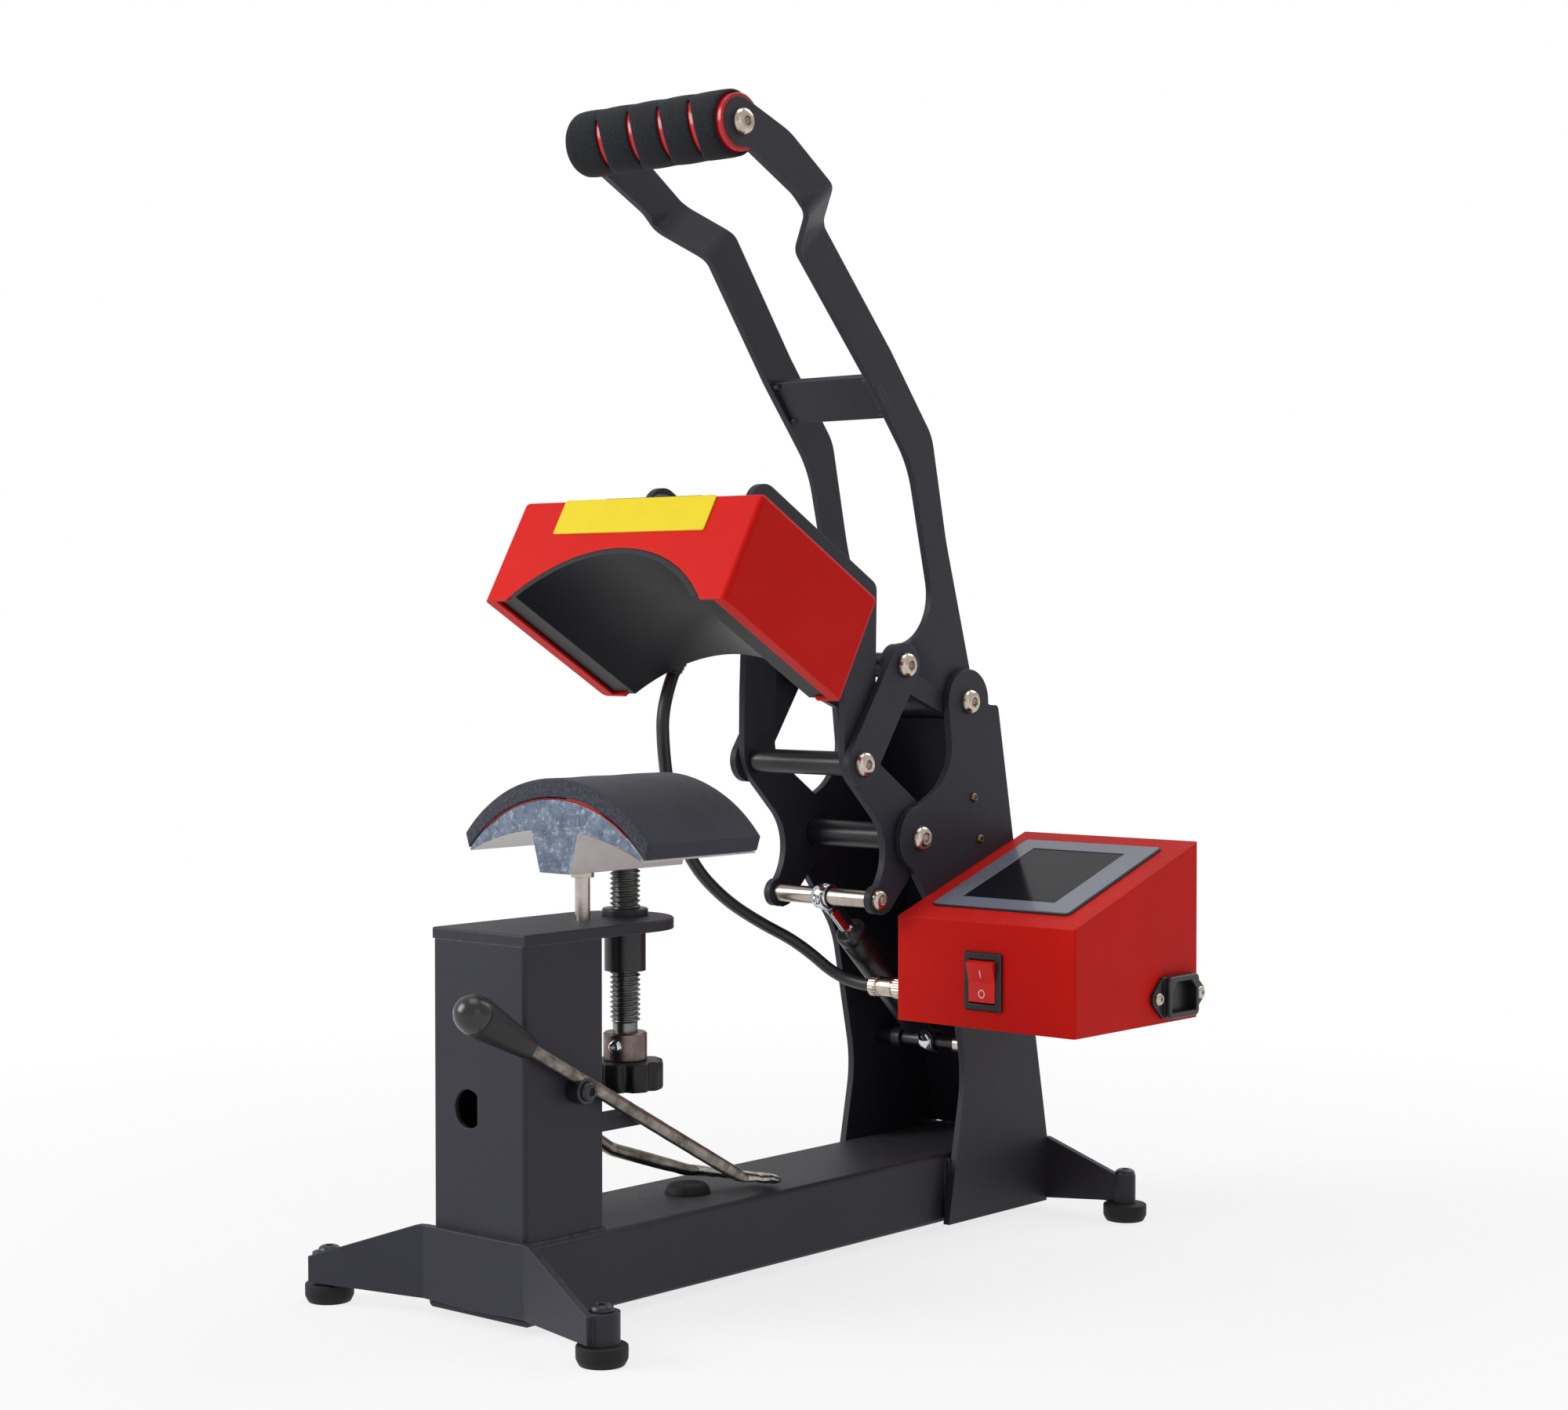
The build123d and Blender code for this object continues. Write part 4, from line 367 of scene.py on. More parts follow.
@dataclass(frozen=True)
class PowderCoat(Finish):
    """Baked powder on steel: orange peel, slow tone changes, edge wear and painted edge highlights,
    and a little dust.
    """

    # Edge colour: partly bare wear and partly painted highlight on the folded edges.
    edge: str = "#8A8C96"
    edge_wear_and_highlight_show: float = 0.5
    edge_radius: float = 0.0008
    variation: float = 0.07
    dust: float = 0.05
    peel: float = 0.00003
    gloss: float = 0.5

    def paint(self, graph: Graph, shader: bpy.types.Node) -> None:
        """Feeds the shader."""
        edge_effect = place_effect(graph, Effect.EDGE_WEAR_AND_HIGHLIGHT, Radius=self.edge_radius, Gain=3.5)
        grain = place_effect(graph, Effect.GRAIN, Scale=1100.0, Blotch=20.0)
        dust = place_effect(graph, Effect.DUST, Scale=90.0, Amount=self.dust)
        tone = grain.outputs["Tone"]
        body = self.shade(graph, tone, 1.0 - self.variation, 1.0 + self.variation)
        # Edges blend to the edge colour: partly wear, partly painted highlight.
        edge_wear_and_highlight_mask = graph.math("MULTIPLY", edge_effect.outputs["Mask"], self.edge_wear_and_highlight_show)
        edged = graph.blend(edge_wear_and_highlight_mask, body, linear(self.edge))
        dusty = graph.blend(dust.outputs["Mask"], edged, linear(DUST_COLOUR))
        graph.feed(shader.inputs["Base Color"], dusty)
        rough = self.uneven(graph, grain.outputs["Height"], 0.05, 0.06)
        dulled = graph.math("ADD", rough, graph.math("MULTIPLY", dust.outputs["Mask"], 0.4))
        graph.feed(shader.inputs["Roughness"], dulled)
        shader.inputs["Specular IOR Level"].default_value = self.gloss
        height = grain.outputs["Height"]
        self.relief(graph, shader, height, self.peel, edge_effect.outputs["Normal"])


@dataclass(frozen=True)
class BareMetal(Finish):
    """Plated, turned or drawn metal: hairlines, tarnish in blotches and rounded edges."""

    tarnish: str = "#6F6259"
    tarnish_show: float = 0.35
    squeeze: tuple[float, float, float] = (1.0, 1.0, 1.0)
    line_scale: float = 900.0
    line_depth: float = 0.00001
    blotch: float = 120.0
    edge_radius: float = 0.0004

    def paint(self, graph: Graph, shader: bpy.types.Node) -> None:
        """Feeds the shader."""
        edge_effect = place_effect(graph, Effect.EDGE_WEAR_AND_HIGHLIGHT, Radius=self.edge_radius, Gain=3.0)
        grain = place_effect(graph, Effect.GRAIN, Scale=1600.0, Blotch=self.blotch)
        x, y, z = self.squeeze
        lines = place_effect(
            graph, Effect.HAIRLINES, Scale=self.line_scale, Squeeze_X=x, Squeeze_Y=y, Squeeze_Z=z
        )
        aged = graph.math("MULTIPLY", grain.outputs["Tone"], self.tarnish_show)
        body = graph.blend(aged, linear(self.colour), linear(self.tarnish))
        scored = graph.math("MULTIPLY", lines.outputs["Mask"], 0.18)
        graph.feed(
            shader.inputs["Base Color"], graph.blend(scored, body, linear(self.tarnish, 0.7))
        )
        shader.inputs["Metallic"].default_value = 1.0
        soft = graph.math("MULTIPLY", grain.outputs["Tone"], 0.10)
        worn = graph.math("MULTIPLY", lines.outputs["Mask"], 0.12)
        rough = graph.math("ADD", graph.math("ADD", soft, worn), self.roughness)
        graph.feed(shader.inputs["Roughness"], rough)
        height = lines.outputs["Height"]
        self.relief(graph, shader, height, self.line_depth, edge_effect.outputs["Normal"])


@dataclass(frozen=True)
class SawnAluminium(Finish):
    """An extruded block, its sawn ends scratched and blue-grey and its flanks pale and smooth."""

    end_colour: str = "#6A7688"
    bright: str = "#C3CCD6"

    def paint(self, graph: Graph, shader: bpy.types.Node) -> None:
        """Feeds the shader."""
        edge_effect = place_effect(graph, Effect.EDGE_WEAR_AND_HIGHLIGHT, Radius=0.0007, Gain=5.0)
        grain = place_effect(graph, Effect.GRAIN, Scale=500.0, Blotch=130.0)
        sawn = place_effect(graph, Effect.CUT_FACE)
        strokes = [
            place_effect(graph, Effect.HAIRLINES, Scale=520.0, Squeeze_X=x, Squeeze_Z=z, Cut=0.6)
            for x, z in ((0.35, 1.0), (1.0, 0.45))
        ]
        scratch = graph.math("MAXIMUM", strokes[0].outputs["Mask"], strokes[1].outputs["Mask"])
        shade = graph.blend(
            grain.outputs["Tone"], linear(self.end_colour, 0.62), linear(self.end_colour, 1.2)
        )
        lined = graph.math("MULTIPLY", scratch, 0.22)
        place = graph.node("ShaderNodeTexCoord").outputs["Object"]
        smear = graph.remap(graph.noise(place, 210.0, 7.0, 0.8), 0.52, 0.68, 0.0, 0.75)
        end = graph.blend(graph.math("MAXIMUM", lined, smear), shade, linear(self.bright))
        side = self.shade(graph, grain.outputs["Tone"], 0.92, 1.0)
        faced = graph.blend(sawn.outputs["Mask"], side, end)
        burr = graph.math("MULTIPLY", edge_effect.outputs["Mask"], 0.7)
        graph.feed(shader.inputs["Base Color"], graph.blend(burr, faced, linear("#DCE1E6")))
        metal = graph.math("MULTIPLY", sawn.outputs["Mask"], 0.55)
        graph.feed(shader.inputs["Metallic"], graph.math("ADD", metal, 0.25))
        rough = graph.math("MULTIPLY", scratch, -0.12)
        graph.feed(shader.inputs["Roughness"], graph.math("ADD", rough, self.roughness))
        height = graph.math(
            "ADD", graph.math("MULTIPLY", scratch, 0.5), strokes[0].outputs["Height"]
        )
        deep = graph.math("MULTIPLY", height, graph.math("ADD", sawn.outputs["Mask"], 0.06))
        self.relief(graph, shader, deep, 0.00022, edge_effect.outputs["Normal"])


@dataclass(frozen=True)
class Sponge(Finish):
    """Closed-cell silicone or rubber foam: matt skin, and open cells where it is cut."""

    cell: float = 1300.0
    depth: float = 0.00006
    sheen: float = 0.15

    def paint(self, graph: Graph, shader: bpy.types.Node) -> None:
        """Feeds the shader."""
        grain = place_effect(graph, Effect.GRAIN, Scale=self.cell, Blotch=30.0)
        cut = place_effect(graph, Effect.CUT_FACE)
        dust = place_effect(graph, Effect.DUST, Scale=160.0, Amount=0.06)
        place = graph.node("ShaderNodeTexCoord").outputs["Object"]
        cells = graph.node("ShaderNodeTexVoronoi", {"Vector": place, "Scale": 620.0})
        crumb = graph.noise(place, 750.0, 5.0, 0.75)
        closed_cells = self.shade(graph, grain.outputs["Tone"], 0.9, 1.12)
        open_cells = self.shade(graph, graph.remap(crumb, 0.36, 0.66, 0.0, 1.0), 0.42, 1.75)
        faced = graph.blend(cut.outputs["Mask"], closed_cells, open_cells)
        dusty = graph.blend(dust.outputs["Mask"], faced, linear("#9A9AA0"))
        graph.feed(shader.inputs["Base Color"], dusty)
        rough = graph.remap(grain.outputs["Height"], 0.3, 0.7, self.roughness - 0.05, 0.95)
        graph.feed(shader.inputs["Roughness"], rough)
        shader.inputs["Sheen Weight"].default_value = self.sheen
        shader.inputs["Sheen Roughness"].default_value = 0.5
        shader.inputs["Specular IOR Level"].default_value = 0.3
        pits = graph.math("ADD", cells.outputs["Distance"], crumb)
        coarse = graph.math("MULTIPLY", pits, graph.math("MULTIPLY", cut.outputs["Mask"], 6.0))
        both = graph.math("ADD", coarse, grain.outputs["Height"])
        self.relief(graph, shader, both, self.depth, None)


@dataclass(frozen=True)
class Moulded(Finish):
    """Moulded plastic or rubber: fine spark-eroded texture, soft edges, edge wear and painted edge
    highlights, and a little dust.
    """

    texture: float = 0.00002
    texture_scale: float = 1400.0
    variation: float = 0.08
    dust: float = 0.05
    coat: float = 0.0
    edge_radius: float = 0.0006
    gloss: float = 0.5
    # Edge colour: partly wear and partly painted highlight on the edges.
    edge: str = "#55565C"
    edge_wear_and_highlight_show: float = 0.25

    def paint(self, graph: Graph, shader: bpy.types.Node) -> None:
        """Feeds the shader."""
        edge_effect = place_effect(graph, Effect.EDGE_WEAR_AND_HIGHLIGHT, Radius=self.edge_radius, Gain=3.0)
        grain = place_effect(graph, Effect.GRAIN, Scale=self.texture_scale, Blotch=45.0)
        dust = place_effect(graph, Effect.DUST, Scale=140.0, Amount=self.dust)
        tone = grain.outputs["Tone"]
        body = self.shade(graph, tone, 1.0 - self.variation, 1.0 + self.variation)
        # Edges blend to the edge colour: partly wear, partly painted highlight.
        edge_wear_and_highlight_mask = graph.math("MULTIPLY", edge_effect.outputs["Mask"], self.edge_wear_and_highlight_show)
        edged = graph.blend(edge_wear_and_highlight_mask, body, linear(self.edge))
        dusty = graph.blend(dust.outputs["Mask"], edged, linear(DUST_COLOUR))
        graph.feed(shader.inputs["Base Color"], dusty)
        rough = self.uneven(graph, grain.outputs["Height"], 0.04, 0.06)
        graph.feed(shader.inputs["Roughness"], rough)
        shader.inputs["Specular IOR Level"].default_value = self.gloss
        shader.inputs["Coat Weight"].default_value = self.coat
        shader.inputs["Coat Roughness"].default_value = 0.08
        height = grain.outputs["Height"]
        self.relief(graph, shader, height, self.texture, edge_effect.outputs["Normal"])


@dataclass(frozen=True)
class SheathedCable(Finish):
    """Silicone-sheathed lead: faint rings left by the extruder, and a soft waxy shine."""

    def paint(self, graph: Graph, shader: bpy.types.Node) -> None:
        """Feeds the shader."""
        grain = place_effect(graph, Effect.GRAIN, Scale=1200.0, Blotch=90.0)
        mapped = graph.node("ShaderNodeUVMap", uv_map="run").outputs[0]
        fed = {"Vector": mapped, "Scale": 260.0, "Distortion": 1.0, "Detail": 2.0}
        rings = graph.node("ShaderNodeTexWave", fed, bands_direction="X").outputs["Fac"]
        body = self.shade(graph, grain.outputs["Tone"], 0.8, 1.25)
        graph.feed(shader.inputs["Base Color"], body)
        rough = self.uneven(graph, grain.outputs["Height"], 0.06, 0.08)
        graph.feed(shader.inputs["Roughness"], rough)
        shader.inputs["Coat Weight"].default_value = 0.15
        shader.inputs["Coat Roughness"].default_value = 0.35
        height = graph.math("ADD", graph.math("MULTIPLY", rings, 0.35), grain.outputs["Height"])
        self.relief(graph, shader, height, 0.00002, None)


@dataclass(frozen=True)
class ScreenGlass(Finish):
    """Black display glass under a clear coat, with faint wiping marks."""

    def paint(self, graph: Graph, shader: bpy.types.Node) -> None:
        """Feeds the shader."""
        grain = place_effect(graph, Effect.GRAIN, Scale=900.0, Blotch=28.0)
        wipes = place_effect(graph, Effect.HAIRLINES, Scale=300.0, Squeeze_X=0.15, Cut=0.6)
        body = self.shade(graph, grain.outputs["Tone"], 0.8, 1.5)
        graph.feed(shader.inputs["Base Color"], body)
        smear = graph.math("MULTIPLY", wipes.outputs["Mask"], 0.08)
        soft = graph.math("MULTIPLY", grain.outputs["Tone"], 0.05)
        rough = graph.math("ADD", graph.math("ADD", smear, soft), self.roughness)
        graph.feed(shader.inputs["Roughness"], rough)
        shader.inputs["Specular IOR Level"].default_value = 0.12
        shader.inputs["Coat Weight"].default_value = 0.06
        shader.inputs["Coat Roughness"].default_value = 0.04


# The pale edge colours of the powder coat and moulded finishes below are partly wear and partly
# painted highlight.
BLACK_COAT = PowderCoat("black_powder_coat", "#2D2D37", 0.5, gloss=0.3)
RED_COAT = PowderCoat(
    "red_powder_coat", "#DC170F", 0.45, edge="#EE9484", edge_wear_and_highlight_show=0.35, variation=0.05, gloss=0.12
)
RED_TUBE = PowderCoat(
    "red_lacquer_tube", "#C00E18", 0.24, edge="#E06060", edge_wear_and_highlight_show=0.1, peel=0.000002, gloss=0.5
)
PTFE_COAT = PowderCoat(
    "black_ptfe", "#191A1F", 0.42, edge="#5E6068", edge_wear_and_highlight_show=0.45, peel=0.00004, gloss=0.22
)
BLACK_OXIDE = PowderCoat(
    "black_oxide_steel", "#1D1E23", 0.34, edge="#6C6E76", edge_wear_and_highlight_show=0.4, peel=0.00001
)
NICKEL = BareMetal("nickel_plate", "#CDC2B6", 0.13, tarnish="#8A6F5C", blotch=200.0)
TURNED_STEEL = BareMetal(
    "turned_steel", "#B9AFA6", 0.2, tarnish="#86766A", squeeze=(3.0, 0.05, 0.05),
    line_depth=0.000004,
)
GUIDE_STEEL = BareMetal(
    "ground_steel", "#C4BDB6", 0.16, tarnish="#8A7E76", squeeze=(0.05, 0.05, 3.0),
    line_depth=0.000003,
)
THREAD_STEEL = BareMetal("thread_steel", "#8E918F", 0.27, tarnish="#4F524E", tarnish_show=0.6)
COLLAR_STEEL = BareMetal(
    "collar_steel", "#7D6F6A", 0.3, tarnish="#4A3F3C", squeeze=(0.3, 0.3, 3.0), tarnish_show=0.5
)
CHROME = BareMetal("bright_chrome", "#D6D9DE", 0.06, tarnish="#9CA3AD", tarnish_show=0.2)
WORN_CHROME = BareMetal(
    "weathered_chrome", "#9A938B", 0.28, tarnish="#443C36", tarnish_show=0.85, blotch=130.0,
    line_scale=350.0, line_depth=0.0001,
)
WORN_TIP = BareMetal(
    "hammered_chrome", "#C3BEB8", 0.2, tarnish="#6C645D", tarnish_show=0.5, blotch=220.0,
    line_scale=420.0, line_depth=0.00008,
)
BRASS = BareMetal("aged_brass", "#8F7D58", 0.28, tarnish="#4E4230", tarnish_show=0.6)
ALUMINIUM = SawnAluminium("sawn_aluminium", "#DBD7D6", 0.42)
PAD_SPONGE = Sponge("grey_silicone_sponge", "#3B3B47", 0.7)
GRIP_SPONGE = Sponge("black_foam", "#16181D", 0.8, cell=1700.0, depth=0.00004, sheen=0.02)
RED_SILICONE = Moulded("red_silicone", "#A01A12", 0.55, texture=0.00008, edge="#E07A66", gloss=0.3)
RUBBER = Moulded("black_rubber", "#18181B", 0.62, texture=0.00004, gloss=0.3)
PLASTIC = Moulded("black_plastic", "#1B1B1E", 0.36)
SHINY_PLASTIC = Moulded("black_phenolic", "#19181B", 0.27, coat=0.2, texture=0.00001)
SATIN_PLASTIC = Moulded("satin_black_plastic", "#1B1A1E", 0.42, texture=0.00002, gloss=0.35)
RED_PLASTIC = Moulded(
    "red_plastic", "#F0140C", 0.3, coat=0.08, gloss=0.4, edge="#FF8070", texture=0.00001
)
BEZEL_GREY = Moulded(
    "grey_bezel", "#7C8092", 0.3, coat=0.4, texture=0.00001, edge="#D8DAE2", variation=0.04
)
MARK_WHITE = Moulded("white_marking", "#F2F1EE", 0.4, edge="#FFFFFF", variation=0.03, dust=0.02)
LABEL_YELLOW = Moulded(
    "yellow_label", "#F6DC00", 0.4, coat=0.05, gloss=0.3, texture=0.00005, texture_scale=220.0,
    edge="#FFF6A0", variation=0.025, dust=0.02,
)
CABLE_BLACK = SheathedCable("black_cable", "#141518", 0.45)
SCREEN_BLACK = ScreenGlass("screen_glass", "#121118", 0.12)


# ------------------------------------------------------------------ meshes


def link_mesh(name: str, mesh: bpy.types.Mesh, finish: Finish | None = None) -> Piece:
    """Makes a mesh an object of the scene.

    Args:
        name: The piece's name.
        mesh: Its mesh, already in place.
        finish: Its finish, unless the mesh has one.

    Returns:
        The piece, at the origin.
    """
    mesh.name = name
    piece = bpy.data.objects.new(name, mesh)
    bpy.context.scene.collection.objects.link(piece)
    if finish is not None:
        mesh.materials.clear()
        mesh.materials.append(finish.material())
    return piece


def tidy_mesh(mesh: bpy.types.Mesh, sharp: float = 32.0) -> None:
    """Closes seams, points the faces outwards and shades them smooth up to an angle in degrees."""
    work = bmesh.new()
    work.from_mesh(mesh)
    bmesh.ops.remove_doubles(work, verts=work.verts, dist=1e-6)
    bmesh.ops.recalc_face_normals(work, faces=work.faces)
    work.to_mesh(mesh)
    work.free()
    mesh.polygons.foreach_set("use_smooth", [True] * len(mesh.polygons))
    mesh.set_sharp_from_angle(angle=math.radians(sharp))


def skin(
    name: str,
    rings: np.ndarray,
    finish: Finish,
    closed: bool = True,
    capped: bool = True,
    sharp: float = 32.0,
) -> Piece:
    """Skins a row of rings that have equal numbers of points.

    Args:
        name: The piece's name.
        rings: Their points, as rings by points by three, in metres.
        finish: The piece's finish.
        closed: True where each ring's last point joins its first.
        capped: True where the first and last rings are filled.
        sharp: The angle in degrees from which an edge is sharp.

    Returns:
        The piece.
    """
    count, width, _ = rings.shape
    verts = rings.reshape(-1, 3).tolist()
    steps = width if closed else width - 1
    faces = []
    for i in range(count - 1):
        for j in range(steps):
            k = (j + 1) % width
            faces.append((i * width + j, i * width + k, (i + 1) * width + k, (i + 1) * width + j))
    if capped:
        for start in (0, (count - 1) * width):
            middle = len(verts)
            verts.append(rings.reshape(-1, 3)[start : start + width].mean(axis=0).tolist())
            for j in range(steps):
                faces.append((start + j, start + (j + 1) % width, middle))
    mesh = bpy.data.meshes.new(name)
    mesh.from_pydata(verts, [], faces)
    tidy_mesh(mesh, sharp)
    return link_mesh(name, mesh, finish)


def transported(path: np.ndarray, first: Sequence[float]) -> tuple[np.ndarray, np.ndarray]:
    """Two directions square to a path at each of its points, carried along it without twist.

    Args:
        path: The path's points.
        first: About where the first direction points at the start.

    Returns:
        The two directions at every point.
    """
    runs = np.gradient(path, axis=0)
    runs /= np.linalg.norm(runs, axis=1, keepdims=True)
    side = np.array(first, float)
    sides, ups = [], []
    for run in runs:
        side = side - run * (side @ run)
        side = side / np.linalg.norm(side)
        sides.append(side.copy())
        ups.append(np.cross(run, side))
    return np.array(sides), np.array(ups)


def sweep(
    path: np.ndarray,
    widths: np.ndarray,
    heights: np.ndarray,
    first: Sequence[float],
    around: int = 24,
) -> np.ndarray:
    """Oval rings along a path.

    Args:
        path: The path's points.
        widths: Half the oval's size along the first direction, at every point.
        heights: Half its size across that.
        first: About where the first direction points at the start.
        around: How many points each ring has.

    Returns:
        The rings.
    """
    sides, ups = transported(path, first)
    turn = np.linspace(0, 2 * math.pi, around, endpoint=False)
    out = np.cos(turn)[None, :, None] * sides[:, None, :] * widths[:, None, None]
    rise = np.sin(turn)[None, :, None] * ups[:, None, :] * heights[:, None, None]
    return path[:, None, :] + out + rise


def rounded_path(
    points: Sequence[Sequence[float]], radii: Sequence[float], step: float
) -> np.ndarray:
    """Straight runs of bent bar with round corners.

    Args:
        points: The corners, its two ends among them.
        radii: The bend radius at each corner between the ends.
        step: The distance between the points made.

    Returns:
        Points along the bar's middle line.
    """
    corners = [np.array(p, float) for p in points]
    made = [corners[0]]
    for before, corner, after, radius in zip(corners, corners[1:], corners[2:], radii):
        back, on = before - corner, after - corner
        back, on = back / np.linalg.norm(back), on / np.linalg.norm(on)
        half = math.acos(max(-1.0, min(1.0, float(back @ on)))) / 2
        reach = radius / math.tan(half)
        start, end = corner + back * reach, corner + on * reach
        middle = (back + on) / np.linalg.norm(back + on)
        centre = corner + middle * radius / math.sin(half)
        angle = math.pi - 2 * half
        count = max(4, int(angle * radius / step))
        u, w = (start - centre) / radius, (end - centre) / radius
        for share in np.linspace(0, 1, count + 1):
            blend = u * math.sin((1 - share) * angle) + w * math.sin(share * angle)
            made.append(centre + radius * blend / math.sin(angle))
    made.append(corners[-1])
    full = [made[0]]
    for before, after in zip(made, made[1:]):
        count = max(1, int(np.linalg.norm(after - before) / step))
        full += [before + (after - before) * i / count for i in range(1, count + 1)]
    return np.array(full)


def wobble(points: np.ndarray, amount: float, length: float, seed: int) -> np.ndarray:
    """A smooth uneven number at every point, from a few fixed waves.

    Args:
        points: Where it is wanted, three numbers each.
        amount: Its largest size.
        length: About how far apart its humps are.
        seed: Which waves are used.

    Returns:
        One number for every point.
    """
    chance = np.random.default_rng(seed)
    total = np.zeros(points.shape[:-1])
    for _ in range(6):
        wave = chance.normal(size=3)
        wave *= 2 * math.pi / (length * np.linalg.norm(wave)) * chance.uniform(0.6, 1.6)
        total += np.sin(points @ wave + chance.uniform(0, 2 * math.pi))
    return total / 6 * amount


def by_angle(outline: Sequence[tuple[float, float]], count: int) -> np.ndarray:
    """An outline's points read at even angles about its middle, so that outlines can be skinned.

    Args:
        outline: Its corners, which see the origin.
        count: How many points are read.

    Returns:
        The points.
    """
    corners = np.array(outline, float)
    found = []
    for angle in np.linspace(0, 2 * math.pi, count, endpoint=False):
        ray = np.array((math.cos(angle), math.sin(angle)))
        best = 0.0
        for a, b in zip(corners, np.roll(corners, -1, axis=0)):
            edge = b - a
            cross = ray[0] * edge[1] - ray[1] * edge[0]
            if abs(cross) < 1e-12:
                continue
            share = (a[0] * ray[1] - a[1] * ray[0]) / cross
            far = (a[0] * edge[1] - a[1] * edge[0]) / cross
            if -1e-9 <= share <= 1 + 1e-9 and far > best:
                best = far
        found.append(ray * best)
    return np.array(found)


def rounded_box(
    width: float, height: float, radius: float, steps: int = 5
) -> list[tuple[float, float]]:
    """A rectangle with round corners about the origin, as corner points."""
    made = []
    for sx, sy, start in ((1, 1, 0), (-1, 1, 90), (-1, -1, 180), (1, -1, 270)):
        for i in range(steps + 1):
            angle = math.radians(start + 90 * i / steps)
            x = sx * (width / 2 - radius) + radius * math.cos(angle)
            made.append((x, sy * (height / 2 - radius) + radius * math.sin(angle)))
    return made


def distance_along(path: np.ndarray) -> np.ndarray:
    """How far along a path each of its points is."""
    return np.concatenate([[0.0], np.cumsum(np.linalg.norm(np.diff(path, axis=0), axis=1))])


# ------------------------------------------------------------------ geometry node trees


def open_tree(
    name: str, fed: str, numbers: Mapping[str, float], made: str, seeded: bool = True
) -> tuple[bpy.types.NodeTree, Graph, bpy.types.Node, bpy.types.Node]:
    """Starts a Geometry Nodes tree with named inputs and a material.

    Args:
        name: The tree's name.
        fed: The name of its geometry input.
        numbers: Its sizes and their usual values.
        made: The name of its geometry output.
        seeded: True where it takes a seed.

    Returns:
        The tree, a graph on it, its input node and its output node.
    """
    tree = bpy.data.node_groups.new(name, "GeometryNodeTree")
    ports = tree.interface
    ports.new_socket(fed, in_out="INPUT", socket_type="NodeSocketGeometry")
    for title, value in numbers.items():
        port = ports.new_socket(title, in_out="INPUT", socket_type="NodeSocketFloat")
        port.default_value = value
    if seeded:
        ports.new_socket("Seed", in_out="INPUT", socket_type="NodeSocketInt")
    ports.new_socket("Material", in_out="INPUT", socket_type="NodeSocketMaterial")
    ports.new_socket(made, in_out="OUTPUT", socket_type="NodeSocketGeometry")
    graph = Graph(tree)
    return tree, graph, graph.node("NodeGroupInput"), graph.node("NodeGroupOutput")


def instanced(graph: Graph, given: bpy.types.Node, instances: Mapping[str, object]) -> Socket:
    """Puts copies on points, makes them real and gives them the tree's material.

    Args:
        graph: The tree's graph.
        given: The tree's input node.
        instances: What goes into the node that places them.

    Returns:
        The finished geometry.
    """
    placed = graph.node("GeometryNodeInstanceOnPoints", instances).outputs[0]
    real = graph.node("GeometryNodeRealizeInstances", {0: placed}).outputs[0]
    fed = {"Geometry": real, "Material": given.outputs["Material"]}
    return graph.node("GeometryNodeSetMaterial", fed).outputs[0]


def any_number(graph: Graph, seed: Socket, low: float, high: float) -> Socket:
    """A random number from low to high for every point."""
    chance = graph.node("FunctionNodeRandomValue", data_type="FLOAT")
    for socket in chance.inputs:
        if socket.type == "VALUE" and socket.name in ("Min", "Max"):
            socket.default_value = low if socket.name == "Min" else high
        if socket.name == "Seed":
            graph.feed(socket, seed)
    return [s for s in chance.outputs if s.type == "VALUE"][0]


def ring_grid(graph: Graph, rows: int, around: int) -> tuple[Socket, Socket, Socket]:
    """A flat grid that becomes rings about an axis.

    Args:
        graph: The tree's graph.
        rows: How many rings there are.
        around: How many sides a ring has.

    Returns:
        The grid, each point's row number and its angle about the axis.
    """
    fed = {"Size X": 1.0, "Size Y": 1.0, "Vertices X": rows, "Vertices Y": around + 1}
    grid = graph.node("GeometryNodeMeshGrid", fed).outputs["Mesh"]
    place = graph.node("GeometryNodeInputPosition").outputs[0]
    spot = graph.node("ShaderNodeSeparateXYZ", {0: place})
    row = graph.math("MULTIPLY", graph.math("ADD", spot.outputs["X"], 0.5), float(rows - 1))
    angle = graph.math("MULTIPLY", graph.math("ADD", spot.outputs["Y"], 0.5), 2 * math.pi)
    return grid, row, angle


def wrap_grid(graph: Graph, grid: Socket, radius: Socket, angle: Socket, height: Socket) -> Socket:
    """Moves a grid's points onto their rings and closes the seam."""
    x = graph.math("MULTIPLY", radius, graph.math("COSINE", angle))
    y = graph.math("MULTIPLY", radius, graph.math("SINE", angle))
    place = graph.node("ShaderNodeCombineXYZ", {0: x, 1: y, 2: height}).outputs[0]
    moved = graph.node("GeometryNodeSetPosition", {"Geometry": grid, "Position": place})
    fed = {"Geometry": moved.outputs[0], "Distance": 1e-6}
    return graph.node("GeometryNodeMergeByDistance", fed).outputs[0]


@dataclass(frozen=True)
class Row:
    """One ring of a turned shape, whose sizes are sums of the tree's named inputs.

    Args:
        radius: How much of each input makes the ring's radius.
        height: How much of each input makes its height along the axis.
        flats: True where the ring is a hexagon and the radius is to its flats.
        lobed: True where finger notches are cut into the ring.
    """

    radius: Mapping[str, float]
    height: Mapping[str, float]
    flats: bool = False
    lobed: bool = False


